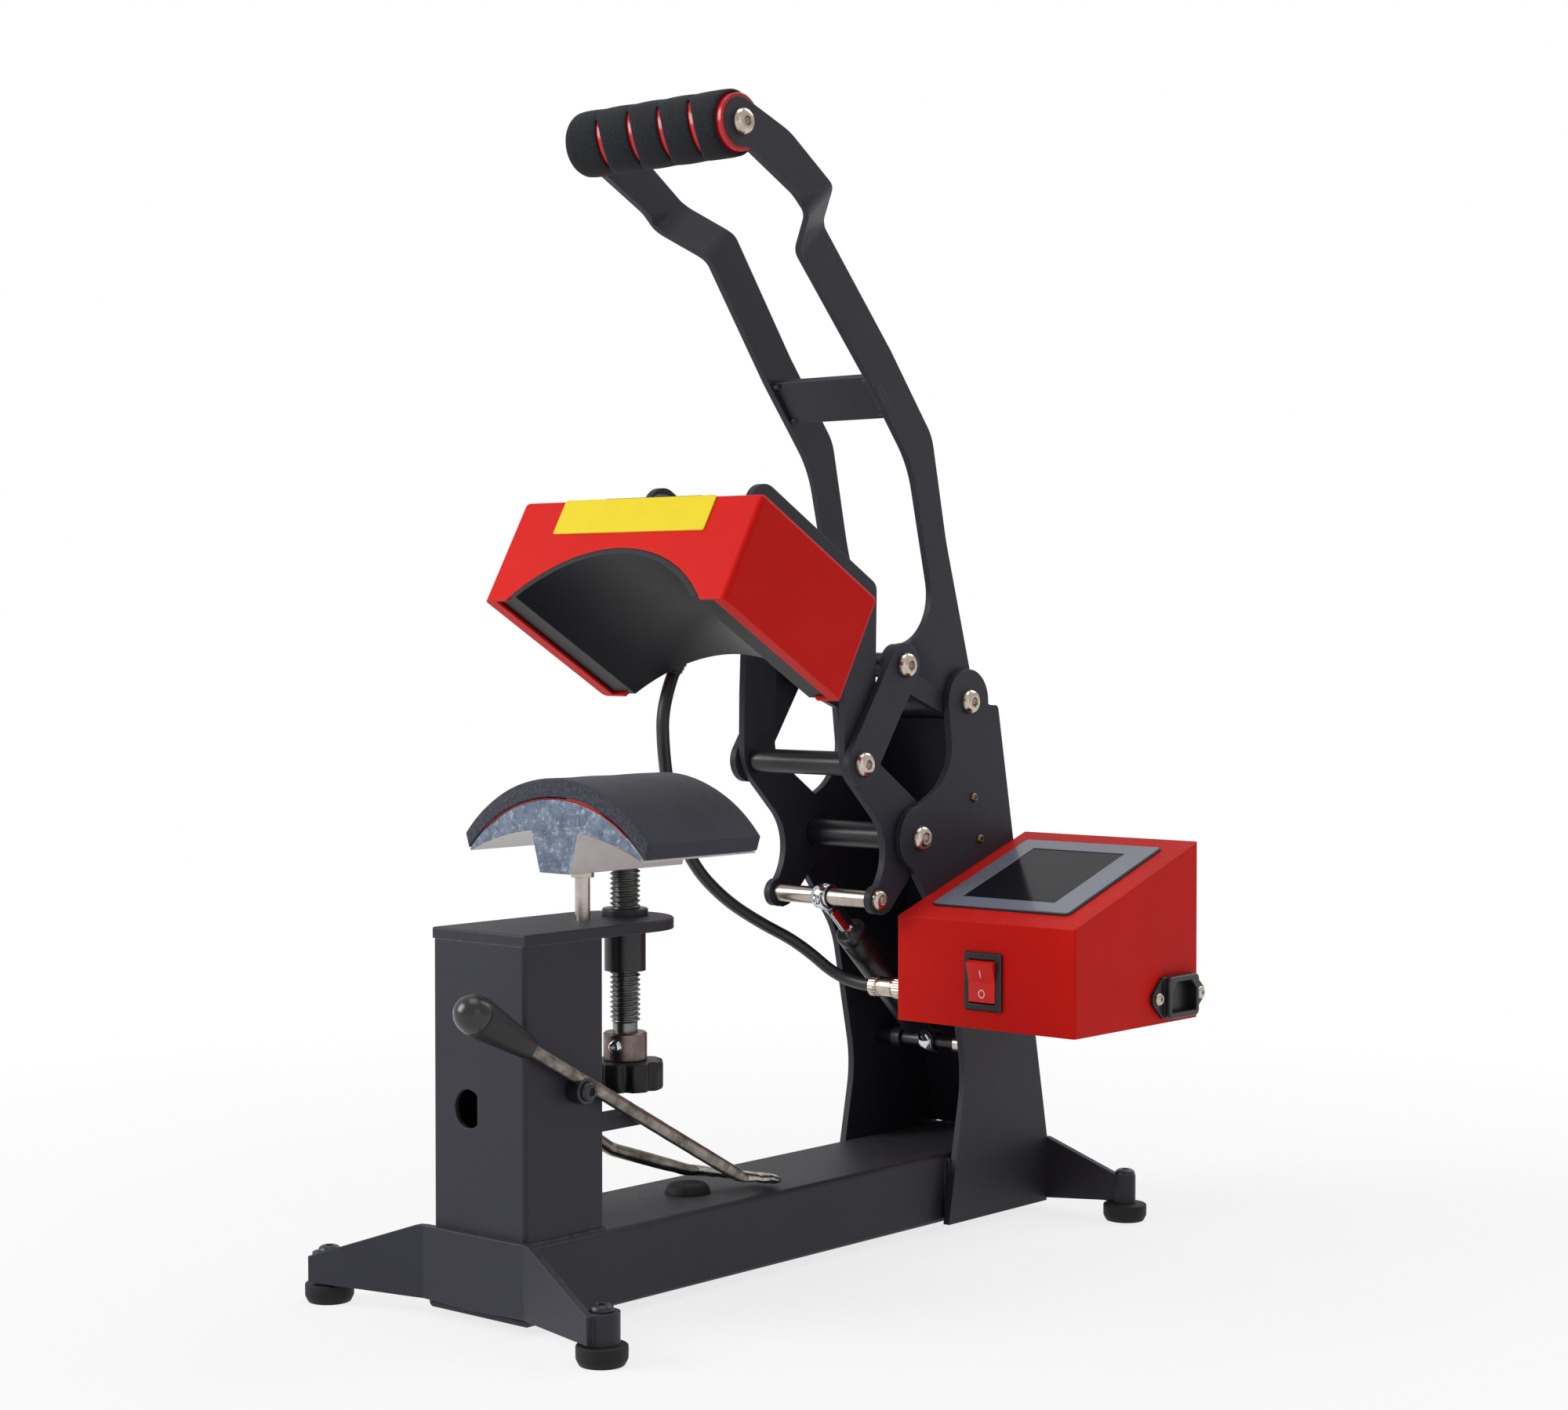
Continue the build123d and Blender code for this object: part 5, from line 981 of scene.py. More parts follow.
def profile(
    radius: str, height: str, *shares: tuple[float, float], flats: Sequence[int] = (),
    lobed: Sequence[int] = (),
) -> tuple[Row, ...]:
    """Rings whose radius and height are each a share of one input.

    Args:
        radius: The input that the radii are shares of.
        height: The input that the heights are shares of.
        shares: Each ring's share of the two.
        flats: The numbers of the rings that are hexagons.
        lobed: The numbers of the rings that have notches.

    Returns:
        The rings.
    """
    return tuple(
        Row({radius: wide}, {height: high}, i in flats, i in lobed)
        for i, (wide, high) in enumerate(shares)
    )


@dataclass(frozen=True)
class TurnedTree:
    """A Geometry Nodes tree that turns a row of rings and puts one at every point given.

    Args:
        name: The tree's name.
        sizes: Its named sizes in metres, with their usual values.
        rows: The rings, from the top of the axis down.
        segments: How many sides a ring has.
        notches: How many finger notches a lobed ring has.
    """

    name: str
    sizes: Mapping[str, float]
    rows: Sequence[Row]
    segments: int = 48
    notches: int = 0

    def tree(self) -> bpy.types.NodeTree:
        """The node tree, built the first time."""
        found = bpy.data.node_groups.get(self.name)
        if found:
            return found
        tree, graph, given, result = open_tree(self.name, "Places", self.sizes, "Turned")
        shape = self._shape(graph, given)
        graph.feed(result.inputs[0], self._placed(graph, given, shape))
        return tree

    def _sum(self, graph: Graph, given: bpy.types.Node, terms: Mapping[str, float]) -> object:
        """A sum of shares of the tree's inputs."""
        total: object = 0.0
        for name, share in terms.items():
            term = graph.math("MULTIPLY", given.outputs[name], share)
            total = term if total == 0.0 else graph.math("ADD", total, term)
        return total

    def _pick(self, graph: Graph, index: Socket, values: Sequence[object]) -> Socket:
        """The value that belongs to a ring's number."""
        switch = graph.node("GeometryNodeIndexSwitch", data_type="FLOAT")
        while len(switch.index_switch_items) < len(values):
            switch.index_switch_items.new()
        graph.feed(switch.inputs[0], index)
        for number, value in enumerate(values):
            graph.feed(switch.inputs[1 + number], value)
        return switch.outputs[0]

    def _shape(self, graph: Graph, given: bpy.types.Node) -> Socket:
        """One turned shape about +Z."""
        grid, row, angle = ring_grid(graph, len(self.rows), self.segments)
        index = graph.node("FunctionNodeFloatToInt", {0: graph.math("ROUND", row)}).outputs[0]
        radius = self._pick(graph, index, [self._sum(graph, given, r.radius) for r in self.rows])
        height = self._pick(graph, index, [self._sum(graph, given, r.height) for r in self.rows])
        if any(r.flats for r in self.rows):
            third = graph.math("SUBTRACT", graph.math("MODULO", angle, math.pi / 3), math.pi / 6)
            reach = graph.math("DIVIDE", 1.0, graph.math("COSINE", third))
            corner = graph.math("SUBTRACT", reach, 1.0)
            flats = self._pick(graph, index, [float(r.flats) for r in self.rows])
            radius = graph.math("MULTIPLY", radius, graph.math("MULTIPLY_ADD", corner, flats, 1.0))
        if self.notches:
            wave = graph.math("COSINE", graph.math("MULTIPLY", angle, float(self.notches)))
            notch = graph.math("POWER", graph.math("MAXIMUM", wave, 0.0), 1.5)
            depth = graph.math("MULTIPLY", notch, given.outputs["Notch Depth"])
            lobed = self._pick(graph, index, [float(r.lobed) for r in self.rows])
            radius = graph.math("SUBTRACT", radius, graph.math("MULTIPLY", depth, lobed))
        return wrap_grid(graph, grid, radius, angle, height)

    def _placed(self, graph: Graph, given: bpy.types.Node, shape: Socket) -> Socket:
        """A copy of the shape at every point, along the point's aim and spun by chance."""
        aim = graph.node(
            "GeometryNodeInputNamedAttribute", {"Name": "aim"}, data_type="FLOAT_VECTOR"
        )
        facing = graph.node("FunctionNodeAlignRotationToVector", axis="Z")
        graph.feed(facing.inputs["Vector"], aim.outputs[0])
        most = 0.0 if self.notches else math.pi / 3
        spun = any_number(graph, given.outputs["Seed"], 0.0, most)
        about = graph.node("ShaderNodeCombineXYZ", {2: spun}).outputs[0]
        spin = graph.node("FunctionNodeEulerToRotation", {0: about}).outputs[0]
        turned = graph.node("FunctionNodeRotateRotation", rotation_space="LOCAL")
        graph.feed(turned.inputs[0], facing.outputs[0])
        graph.feed(turned.inputs[1], spin)
        points, rotation = given.outputs["Places"], turned.outputs[0]
        fed = {"Points": points, "Instance": shape, "Rotation": rotation}
        return instanced(graph, given, fed)

    def make(
        self, name: str, spots: Sequence[Spot], finish: Finish, seed: int = 1, **sizes: float
    ) -> Piece:
        """Runs the tree and keeps the result as a plain mesh.

        Args:
            name: The piece's name.
            spots: Where each turned shape stands and where its axis points.
            finish: The finish.
            seed: Which way the shapes are spun.
            sizes: The sizes in metres that differ from the usual ones, an underscore for a space.

        Returns:
            The piece.
        """
        mesh = bpy.data.meshes.new(name + "_places")
        mesh.from_pydata([spot for spot, _ in spots], [], [])
        aims = mesh.attributes.new("aim", "FLOAT_VECTOR", "POINT")
        aims.data.foreach_set("vector", [value for _, aim in spots for value in aim])
        values = {key.replace("_", " "): value for key, value in sizes.items()}
        return run_tree(name, mesh, self.tree(), {**values, "Seed": seed}, finish)


def run_tree(
    name: str,
    mesh: bpy.types.Mesh,
    tree: bpy.types.NodeTree,
    values: Mapping[str, object],
    finish: Finish,
) -> Piece:
    """Puts a mesh through a Geometry Nodes tree and keeps the result as a plain mesh.

    Args:
        name: The piece's name.
        mesh: What goes into the tree.
        tree: The tree.
        values: Its inputs by name.
        finish: The material given to it.

    Returns:
        The piece, with no modifier.
    """
    work = bpy.data.objects.new(name + "_work", mesh)
    bpy.context.scene.collection.objects.link(work)
    modifier = work.modifiers.new("made", "NODES")
    modifier.node_group = tree
    by_name = {s.name: s.identifier for s in tree.interface.items_tree if s.in_out == "INPUT"}
    for key, value in {**values, "Material": finish.material()}.items():
        modifier[by_name[key]] = value
    bpy.context.view_layer.update()
    seen = work.evaluated_get(bpy.context.evaluated_depsgraph_get())
    result = bpy.data.meshes.new_from_object(seen)
    bpy.data.objects.remove(work)
    tidy_mesh(result)
    return link_mesh(name, result, finish)


SCREW_ROWS = (
    Row({}, {"Head Height": 0.4}),
    Row({"Socket Flats": 0.5}, {"Head Height": 0.4}, flats=True),
    Row({"Socket Flats": 0.5}, {"Head Height": 0.97}, flats=True),
    Row({"Socket Flats": 0.63}, {"Head Height": 1.0}),
    Row({"Head Diameter": 0.33}, {"Head Height": 0.955}),
    Row({"Head Diameter": 0.40}, {"Head Height": 0.83}),
    Row({"Head Diameter": 0.45}, {"Head Height": 0.66}),
    Row({"Head Diameter": 0.482}, {"Head Height": 0.44}),
    Row({"Head Diameter": 0.497}, {"Head Height": 0.24}),
    Row({"Head Diameter": 0.5}, {"Head Height": 0.1}),
    Row({"Head Diameter": 0.492}, {}),
    Row({"Shank Diameter": 0.5}, {}),
    Row({"Shank Diameter": 0.5}, {"Length": -1.0}),
    Row({}, {"Length": -1.0}),
)
SCREW_SIZES = {
    "Head Diameter": 0.014,
    "Head Height": 0.0044,
    "Socket Flats": 0.005,
    "Shank Diameter": 0.008,
    "Length": 0.01,
}
M6_BUTTON = {
    "Head_Diameter": 0.0115,
    "Head_Height": 0.0034,
    "Socket_Flats": 0.004,
    "Shank_Diameter": 0.006,
}
BUTTON_SCREW = TurnedTree("button_screw", SCREW_SIZES, SCREW_ROWS)


@dataclass(frozen=True)
class ThreadTree:
    """A Geometry Nodes tree for a screwed rod: one right-hand helical ridge on a bar.

    Args:
        around: How many points there are round the rod.
        per_turn: How many rows of points there are along one pitch.
    """

    around: int = 56
    per_turn: int = 8

    def tree(self, turns: int) -> bpy.types.NodeTree:
        """The node tree for a number of turns.

        Args:
            turns: How many pitches long the rod is, at most.

        Returns:
            The tree.
        """
        numbers = dict.fromkeys(("Radius", "Depth", "Pitch", "Length"), 0.0)
        tree, graph, given, result = open_tree("screw_thread", "Places", numbers, "Rod", False)
        full, depth, pitch, length = (given.outputs[name] for name in numbers)
        rows = turns * self.per_turn + 3
        grid, row, angle = ring_grid(graph, rows, self.around)
        inner = graph.math("DIVIDE", graph.math("SUBTRACT", row, 1.0), float(rows - 3), clamp=True)
        height = graph.math("MULTIPLY", inner, length)
        turned = graph.math("DIVIDE", angle, 2 * math.pi)
        wound = graph.math("SUBTRACT", graph.math("DIVIDE", height, pitch), turned)
        doubled = graph.math("MULTIPLY", graph.math("FRACT", wound), 2.0)
        saw = graph.math("ABSOLUTE", graph.math("SUBTRACT", doubled, 1.0))
        groove = graph.math("SUBTRACT", graph.math("MULTIPLY", saw, 1.3), 0.15, clamp=True)
        near_end = graph.math("MINIMUM", inner, graph.math("SUBTRACT", 1.0, inner))
        fade = graph.math("MULTIPLY", near_end, 60.0, clamp=True)
        cut = graph.math("MULTIPLY", graph.math("MULTIPLY", groove, fade), depth)
        slope = graph.math("MULTIPLY", depth, 0.9)
        chamfer = graph.math("MULTIPLY", graph.math("SUBTRACT", 1.0, fade), slope)
        solid = graph.math("SUBTRACT", graph.math("SUBTRACT", full, cut), chamfer)
        first = graph.math("GREATER_THAN", row, 0.5)
        last = graph.math("LESS_THAN", row, float(rows - 1) - 0.5)
        radius = graph.math("MULTIPLY", solid, graph.math("MULTIPLY", first, last))
        rod = wrap_grid(graph, grid, radius, angle, height)
        fed = {"Points": given.outputs["Places"], "Instance": rod}
        graph.feed(result.inputs[0], instanced(graph, given, fed))
        return tree


# ------------------------------------------------------------------ the press

LINK_TOP = (0.0773, 0.3150)
HANDLE_PIVOT = (0.1338, 0.2941)
LINK_FOOT = (0.0411, 0.2626)
ARM_PIVOT = (0.0905, 0.2206)
EYE_PIN = (0.0596, 0.1887)
SPRING_ANCHOR = (0.1546, 0.0989)
GRIP_AXIS = (-0.0695, 0.5865)
OUTER_FACE = 0.0422
HEAD_TILT = math.radians(30.0)
COVER_EDGE = (-0.1153, 0.3495)
COVER_DEPTH = 0.1025
SOCKET_SPOT = (OUTER_FACE, 0.0835, 0.1385)
ACROSS = (1.0, 0.0, 0.0)
UP = (0.0, 0.0, 1.0)


def head_point(x: float, along: float, up: float) -> tuple[float, float, float]:
    """A point of the tilted head, from the cover's lower front edge."""
    y = COVER_EDGE[0] + along * math.cos(HEAD_TILT) + up * math.sin(HEAD_TILT)
    return x, y, COVER_EDGE[1] - along * math.sin(HEAD_TILT) + up * math.cos(HEAD_TILT)


def both_sides(face: float, *spots: tuple[float, float]) -> list[Spot]:
    """Places on both sides of the press, facing outwards.

    Args:
        face: How far each side's face is from the middle.
        spots: The places, as (Y, Z).

    Returns:
        Points and the directions in which they face.
    """
    return [((side * face, y, z), (float(side), 0.0, 0.0)) for side in (-1, 1) for y, z in spots]


@dataclass
class Assembly(ABC):
    """A sub-assembly of the press.

    Args:
        nodes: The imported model's objects by name.
    """

    nodes: Mapping[str, Piece]

    @abstractmethod
    def build(self) -> None:
        """Makes the sub-assembly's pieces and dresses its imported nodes."""

    def dress(self, finish: Finish, *names: str) -> None:
        """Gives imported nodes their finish."""
        for name in names:
            mesh = self.nodes[name].data
            mesh.materials.clear()
            mesh.materials.append(finish.material())
            log.info("dressed %s in %s", name, finish.name)

    def fit(self, piece: Piece, body: Body, slot: str = "", *stands_for: str) -> Piece:
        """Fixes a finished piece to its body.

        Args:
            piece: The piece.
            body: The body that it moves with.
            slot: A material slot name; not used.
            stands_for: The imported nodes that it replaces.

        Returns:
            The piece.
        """
        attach(piece, body.value)
        self.note(piece, slot, *stands_for)
        return piece

    def note(self, piece: Piece, slot: str, *stands_for: str) -> None:
        """Hides the imported nodes that a piece stands for, and reports it."""
        if stands_for:
            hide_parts(*stands_for)
        faces = len(piece.data.polygons)
        log.info("made %s, %d faces, for %s", piece.name, faces, stands_for or "itself")

    def turn(
        self,
        tree: TurnedTree,
        name: str,
        spots: Sequence[Spot],
        finish: Finish,
        body: Body,
        slot: str,
        *stands_for: str,
        seed: int = 1,
        **sizes: float,
    ) -> None:
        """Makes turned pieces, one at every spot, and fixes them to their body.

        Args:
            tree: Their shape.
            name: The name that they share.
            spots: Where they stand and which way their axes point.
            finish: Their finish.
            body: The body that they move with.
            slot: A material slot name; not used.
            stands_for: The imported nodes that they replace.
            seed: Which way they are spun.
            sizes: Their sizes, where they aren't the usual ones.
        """
        self.fit(tree.make(name, spots, finish, seed, **sizes), body, slot, *stands_for)


@dataclass
class HeadCable(Assembly):
    """The lead from the heated head to the control box, and its elbow gland."""

    route: tuple[tuple[float, float, float], ...] = (
        (-0.0480, -0.006604, 0.316767),
        (-0.0480, -0.018604, 0.295982),
        (-0.0485, -0.0175, 0.268),
        (-0.0495, -0.0095, 0.236),
        (-0.0485, 0.005, 0.207),
        (-0.0445, 0.026, 0.187),
        (-0.0385, 0.049, 0.1725),
        (-0.0270, 0.070, 0.160),
        (-0.0060, 0.0835, 0.1385),
        (0.0140, 0.0835, 0.1385),
    )
    diameter: float = 0.0076
    thickness: float = 0.0064
    length: float = 0.2500
    gland_x: float = -0.048
    gland_up: float = 0.040
    gland_reach: float = 0.008
    sleeve_end: float = 0.018
    sleeve_radius: float = 0.0058
    taper_from: float = 0.013
    rib_pitch: float = 0.0024

    def build(self) -> None:
        """Makes the lead and the gland."""
        self.make_gland()
        self.make_lead()

    def line(self) -> np.ndarray:
        """Points along the lead's own smooth curve."""
        curve = bpy.data.curves.new("lead_route", "CURVE")
        curve.dimensions = "3D"
        curve.resolution_u = 24
        spline = curve.splines.new("NURBS")
        spline.points.add(len(self.route) - 1)
        for point, place in zip(spline.points, self.route):
            point.co = (*place, 1.0)
        spline.order_u = 3
        spline.use_endpoint_u = True
        holder = bpy.data.objects.new("lead_route", curve)
        bpy.context.scene.collection.objects.link(holder)
        bpy.context.view_layer.update()
        seen = holder.evaluated_get(bpy.context.evaluated_depsgraph_get())
        mesh = bpy.data.meshes.new_from_object(seen)
        points = np.array([v.co[:] for v in mesh.vertices], float)
        bpy.data.objects.remove(holder)
        bpy.data.meshes.remove(mesh)
        return points

    def make_lead(self) -> None:
        """A slightly oval tube along the route."""
        path = self.line()
        wide = np.full(len(path), self.diameter / 2)
        thick = np.full(len(path), self.thickness / 2)
        rings = sweep(path, wide, thick, ACROSS, 20)
        lead = skin("head_lead", rings, CABLE_BLACK, sharp=60.0)
        self.map_run(lead, path)
        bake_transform(lead)
        self.note(lead, "black_rubber", "head_cable")

    @staticmethod
    def map_run(lead: Piece, path: np.ndarray) -> None:
        """Gives the lead a map whose U is the distance along it.

        Args:
            lead: The lead.
            path: The points along its middle.
        """
        gone = distance_along(path)
        layer = lead.data.uv_layers.new(name="run")
        places = np.array([v.co[:] for v in lead.data.vertices])
        near = np.linalg.norm(places[:, None, :] - path[None, :, :], axis=2).argmin(axis=1)
        for loop in lead.data.loops:
            across = places[loop.vertex_index] - path[near[loop.vertex_index]]
            layer.data[loop.index].uv = (gone[near[loop.vertex_index]], float(across[0]) * 10)

    def make_gland(self) -> None:
        """A hexagon nut on the cover's rear wall, an elbow and a ribbed tapering sleeve."""
        elbow = COVER_DEPTH + self.gland_reach
        wall = head_point(self.gland_x, COVER_DEPTH, self.gland_up)
        corners = [
            wall,
            head_point(self.gland_x, elbow, self.gland_up),
            head_point(self.gland_x, elbow, self.sleeve_end),
        ]
        path = rounded_path(corners, [0.0055], 0.0005)
        gone = distance_along(path)
        share = np.clip((gone - self.taper_from) / (gone[-1] - self.taper_from), 0, 1)
        radius = self.sleeve_radius - 0.0022 * share
        ribs = np.sin(gone * 2 * math.pi / self.rib_pitch) > 0.2
        radius += 0.00045 * ribs * (share > 0.05) * (share < 0.9)
        radius[-1] -= 0.0004
        gland = skin("elbow_gland", sweep(path, radius, radius, ACROSS, 32), PLASTIC)
        self.fit(gland, Body.ARM, "black_plastic", "cable_gland")
        back = (0.0, math.cos(HEAD_TILT), -math.sin(HEAD_TILT))
        self.turn(
            HEX_NUT, "gland_nut", [(wall, back)], PLASTIC, Body.ARM, "black_plastic",
            Flats=0.0145, Height=0.0034,
        )


HEX_NUT = TurnedTree(
    "hex_nut",
    {"Flats": 0.013, "Height": 0.0065},
    profile(
        "Flats", "Height",
        (0, 1), (0.47, 1), (0.5, 0.9), (0.5, 0), (0, 0), flats=range(2, 4),
    ),
)
FOOT = TurnedTree(
    "rubber_foot",
    {"Radius": 0.0122, "Height": 0.0095},
    profile(
        "Radius", "Height",
        (0, 1), (0.86, 1), (0.95, 0.985), (0.99, 0.94), (1, 0.86), (0.995, 0.34), (0.97, 0.26),
        (0.88, 0.04), (0.85, 0), (0.5, 0), (0, 0.12),
    ),
)
BUMPER = TurnedTree(
    "hoop_bumper",
    {"Radius": 0.012, "Height": 0.0052},
    profile(
        "Radius", "Height",
        (0, 0.97), (0.45, 1), (0.68, 0.98), (0.8, 0.88), (0.88, 0.72), (0.94, 0.48), (1, 0.08),
        (1, 0), (0, 0),
    ),
)


@dataclass
class BenchStand(Assembly):
    """The box-section beam, its two foot brackets, the feet and the bail's bumper."""

    reach: float = 0.095
    feet_y: float = 0.211
    bolt_tops: tuple[float, float] = (0.0245, 0.0255)
    beam_top: float = 0.0425
    bumper_y: float = -0.0509

    def build(self) -> None:
        """Makes the stand."""
        self.dress(BLACK_COAT, "base_beam", "front_foot_bracket", "rear_foot_bracket")
        corners = [(x, y) for x in (-self.reach, self.reach) for y in (-self.feet_y, self.feet_y)]
        feet: list[Spot] = [((x, y, 0.0), UP) for x, y in corners]
        self.turn(FOOT, "feet", feet, RUBBER, Body.FRAME, "black_rubber", "rubber_feet", seed=3)
        tops: list[Spot] = [((x, y, self.bolt_tops[y > 0]), UP) for x, y in corners]
        self.turn(
            BUTTON_SCREW, "foot_screws", tops, BLACK_OXIDE, Body.FRAME, "black_steel",
            "foot_bolts", seed=4, Length=0.0165, **M6_BUTTON,
        )
        bumper: Spot = ((0.0, self.bumper_y, self.beam_top), UP)
        self.turn(
            BUMPER, "bail_bumper", [bumper], RUBBER, Body.FRAME, "black_rubber", "hoop_bumper"
        )
        self.make_welds()

    def make_welds(self) -> None:
        """Weld beads where the post stands on the beam and under its top plate."""
        beads = WeldTree().make("post_welds", self.weld_lines(), BLACK_COAT)
        self.fit(beads, Body.FRAME, "black_powder_coat")

    def weld_lines(self) -> list[list[tuple[float, float, float]]]:
        """The seams, as rows of points in order."""
        z = self.beam_top
        foot = [(0.032, -0.1955, z), (0.032, -0.1455, z)]
        rear = [(0.0295, -0.145, z), (-0.0295, -0.145, z)]
        left = [(-0.032, -0.1455, z), (-0.032, -0.1955, z)]
        tab = [(0.0185, -0.145, 0.0970), (0.0295, -0.145, 0.0970)]
        return [foot, rear, left, tab]


@dataclass(frozen=True)
class WeldTree:
    """A Geometry Nodes tree that lays overlapping ripples of weld along seams."""

    ripple: float = 0.0011
    size: float = 0.0016

    def tree(self) -> bpy.types.NodeTree:
        """The node tree."""
        numbers = {"Ripple": self.ripple, "Size": self.size}
        tree, graph, given, result = open_tree("weld_bead", "Seams", numbers, "Bead")
        curve = graph.node("GeometryNodeMeshToCurve", {0: given.outputs["Seams"]}).outputs[0]
        fed = {"Curve": curve, "Length": given.outputs["Ripple"]}
        spaced = graph.node("GeometryNodeCurveToPoints", fed, mode="LENGTH")
        share = any_number(graph, given.outputs["Seed"], 0.8, 1.15)
        sized = graph.math("MULTIPLY", share, given.outputs["Size"])
        bead = graph.node("GeometryNodeMeshIcoSphere", {"Radius": 1.0, "Subdivisions": 2})
        squat = graph.math("MULTIPLY", sized, 0.8)
        stretch = graph.node("ShaderNodeCombineXYZ", {0: sized, 1: sized, 2: squat})
        fed = {
            "Points": spaced.outputs["Points"], "Instance": bead.outputs["Mesh"],
            "Rotation": spaced.outputs["Rotation"], "Scale": stretch.outputs[0],
        }
        graph.feed(result.inputs[0], instanced(graph, given, fed))
        return tree

    def make(self, name: str, seams: Sequence[Sequence[Sequence[float]]], finish: Finish) -> Piece:
        """Lays the beads.

        Args:
            name: The piece's name.
            seams: Rows of points, one row for each seam.
            finish: The finish.

        Returns:
            The piece.
        """
        points = [p for seam in seams for p in seam]
        edges, start = [], 0
        for seam in seams:
            edges += [(start + i, start + i + 1) for i in range(len(seam) - 1)]
            start += len(seam)
        mesh = bpy.data.meshes.new(name + "_seams")
        mesh.from_pydata(points, edges, [])
        values = {"Ripple": self.ripple, "Size": self.size, "Seed": 5}
        return run_tree(name, mesh, self.tree(), values, finish)


@dataclass
class FrontPost(Assembly):
    """The hollow post, its top plate and the bush that the pressure screw runs in."""

    def build(self) -> None:
        """Dresses the post."""
        self.dress(BLACK_COAT, "front_post", "post_top_plate")
        self.dress(BLACK_OXIDE, "threaded_bush")


COLLAR = TurnedTree(
    "screw_collar",
    {"Radius": 0.0111, "Height": 0.0143, "Chamfer": 0.0008},
    (
        Row({}, {"Height": 1.0}),
        Row({"Radius": 0.62}, {"Height": 1.0}),
        Row({"Radius": 1.0, "Chamfer": -1.0}, {"Height": 1.0}),
        Row({"Radius": 1.0}, {"Height": 1.0, "Chamfer": -1.0}),
        Row({"Radius": 1.0}, {"Chamfer": 0.6}),
        Row({"Radius": 1.0, "Chamfer": -0.6}, {}),
        Row({}, {}),
    ),
    64,
)
KNOB = TurnedTree(
    "lobed_knob",
    {"Radius": 0.0195, "Height": 0.0145, "Notch Depth": 0.0026},
    profile(
        "Radius", "Height",
        (0, 1), (0.62, 1), (0.72, 0.985), (0.93, 1), (0.975, 0.975), (1, 0.91), (1, 0.12),
        (0.975, 0.03), (0.93, 0), (0.7, 0), (0.64, 0.08), (0, 0.08), lobed=range(2, 9),
    ),
    144,
    8,
)
SHANK = TurnedTree(
    "plain_shank",
    {"Radius": 0.006, "Height": 0.02},
    profile("Radius", "Height", (0, 1), (1, 1), (1, 0), (0, 0)),
)


@dataclass
class PressureScrew(Assembly):
    """The screwed rod under the former, with its collar, set screw and knob."""

    y: float = -0.0972
    radius: float = 0.00775
    pitch: float = 0.0025
    depth: float = 0.0015
    bottom: float = 0.136
    top: float = 0.2264
    collar_bottom: float = 0.117
    collar_top: float = 0.1313
    screw_seat: float = 0.0106
    knob_height: float = 0.0145

    def build(self) -> None:
        """Makes the rod, the collar and the knob."""
        length = self.top - self.bottom
        mesh = bpy.data.meshes.new("thread_place")
        mesh.from_pydata([(0.0, self.y, self.bottom)], [], [])
        values = {"Radius": self.radius, "Depth": self.depth, "Pitch": self.pitch, "Length": length}
        tree = ThreadTree().tree(round(length / self.pitch))
        rod = run_tree("pressure_screw_thread", mesh, tree, values, THREAD_STEEL)
        self.fit(rod, Body.SCREW, "bright_steel", "pressure_screw")
        under = (0.0, self.y, self.collar_bottom)
        self.turn(
            SHANK, "pressure_screw_neck", [(under, UP)], THREAD_STEEL, Body.SCREW, "bright_steel",
            Radius=0.0063, Height=self.bottom - self.collar_bottom + 0.0005,
        )
        self.turn(
            COLLAR, "screw_collar_ring", [(under, UP)], COLLAR_STEEL, Body.SCREW, "black_steel",
            "screw_collar",
        )
        aim = (0.31, -0.95, 0.0)
        middle = (self.collar_bottom + self.collar_top) / 2 + 0.0008
        seat = (aim[0] * self.screw_seat, self.y + aim[1] * self.screw_seat, middle)
        self.turn(
            BUTTON_SCREW, "collar_set_screw", [(seat, aim)], CHROME, Body.SCREW, "nickel_screw",
            seed=2, Head_Diameter=0.0072, Head_Height=0.0034, Socket_Flats=0.0024,
            Shank_Diameter=0.004, Length=0.003,
        )
        foot = (0.0, self.y, self.collar_bottom - self.knob_height)
        self.turn(
            KNOB, "knob", [(foot, UP)], SATIN_PLASTIC, Body.SCREW, "black_plastic",
            "adjuster_knob",
        )


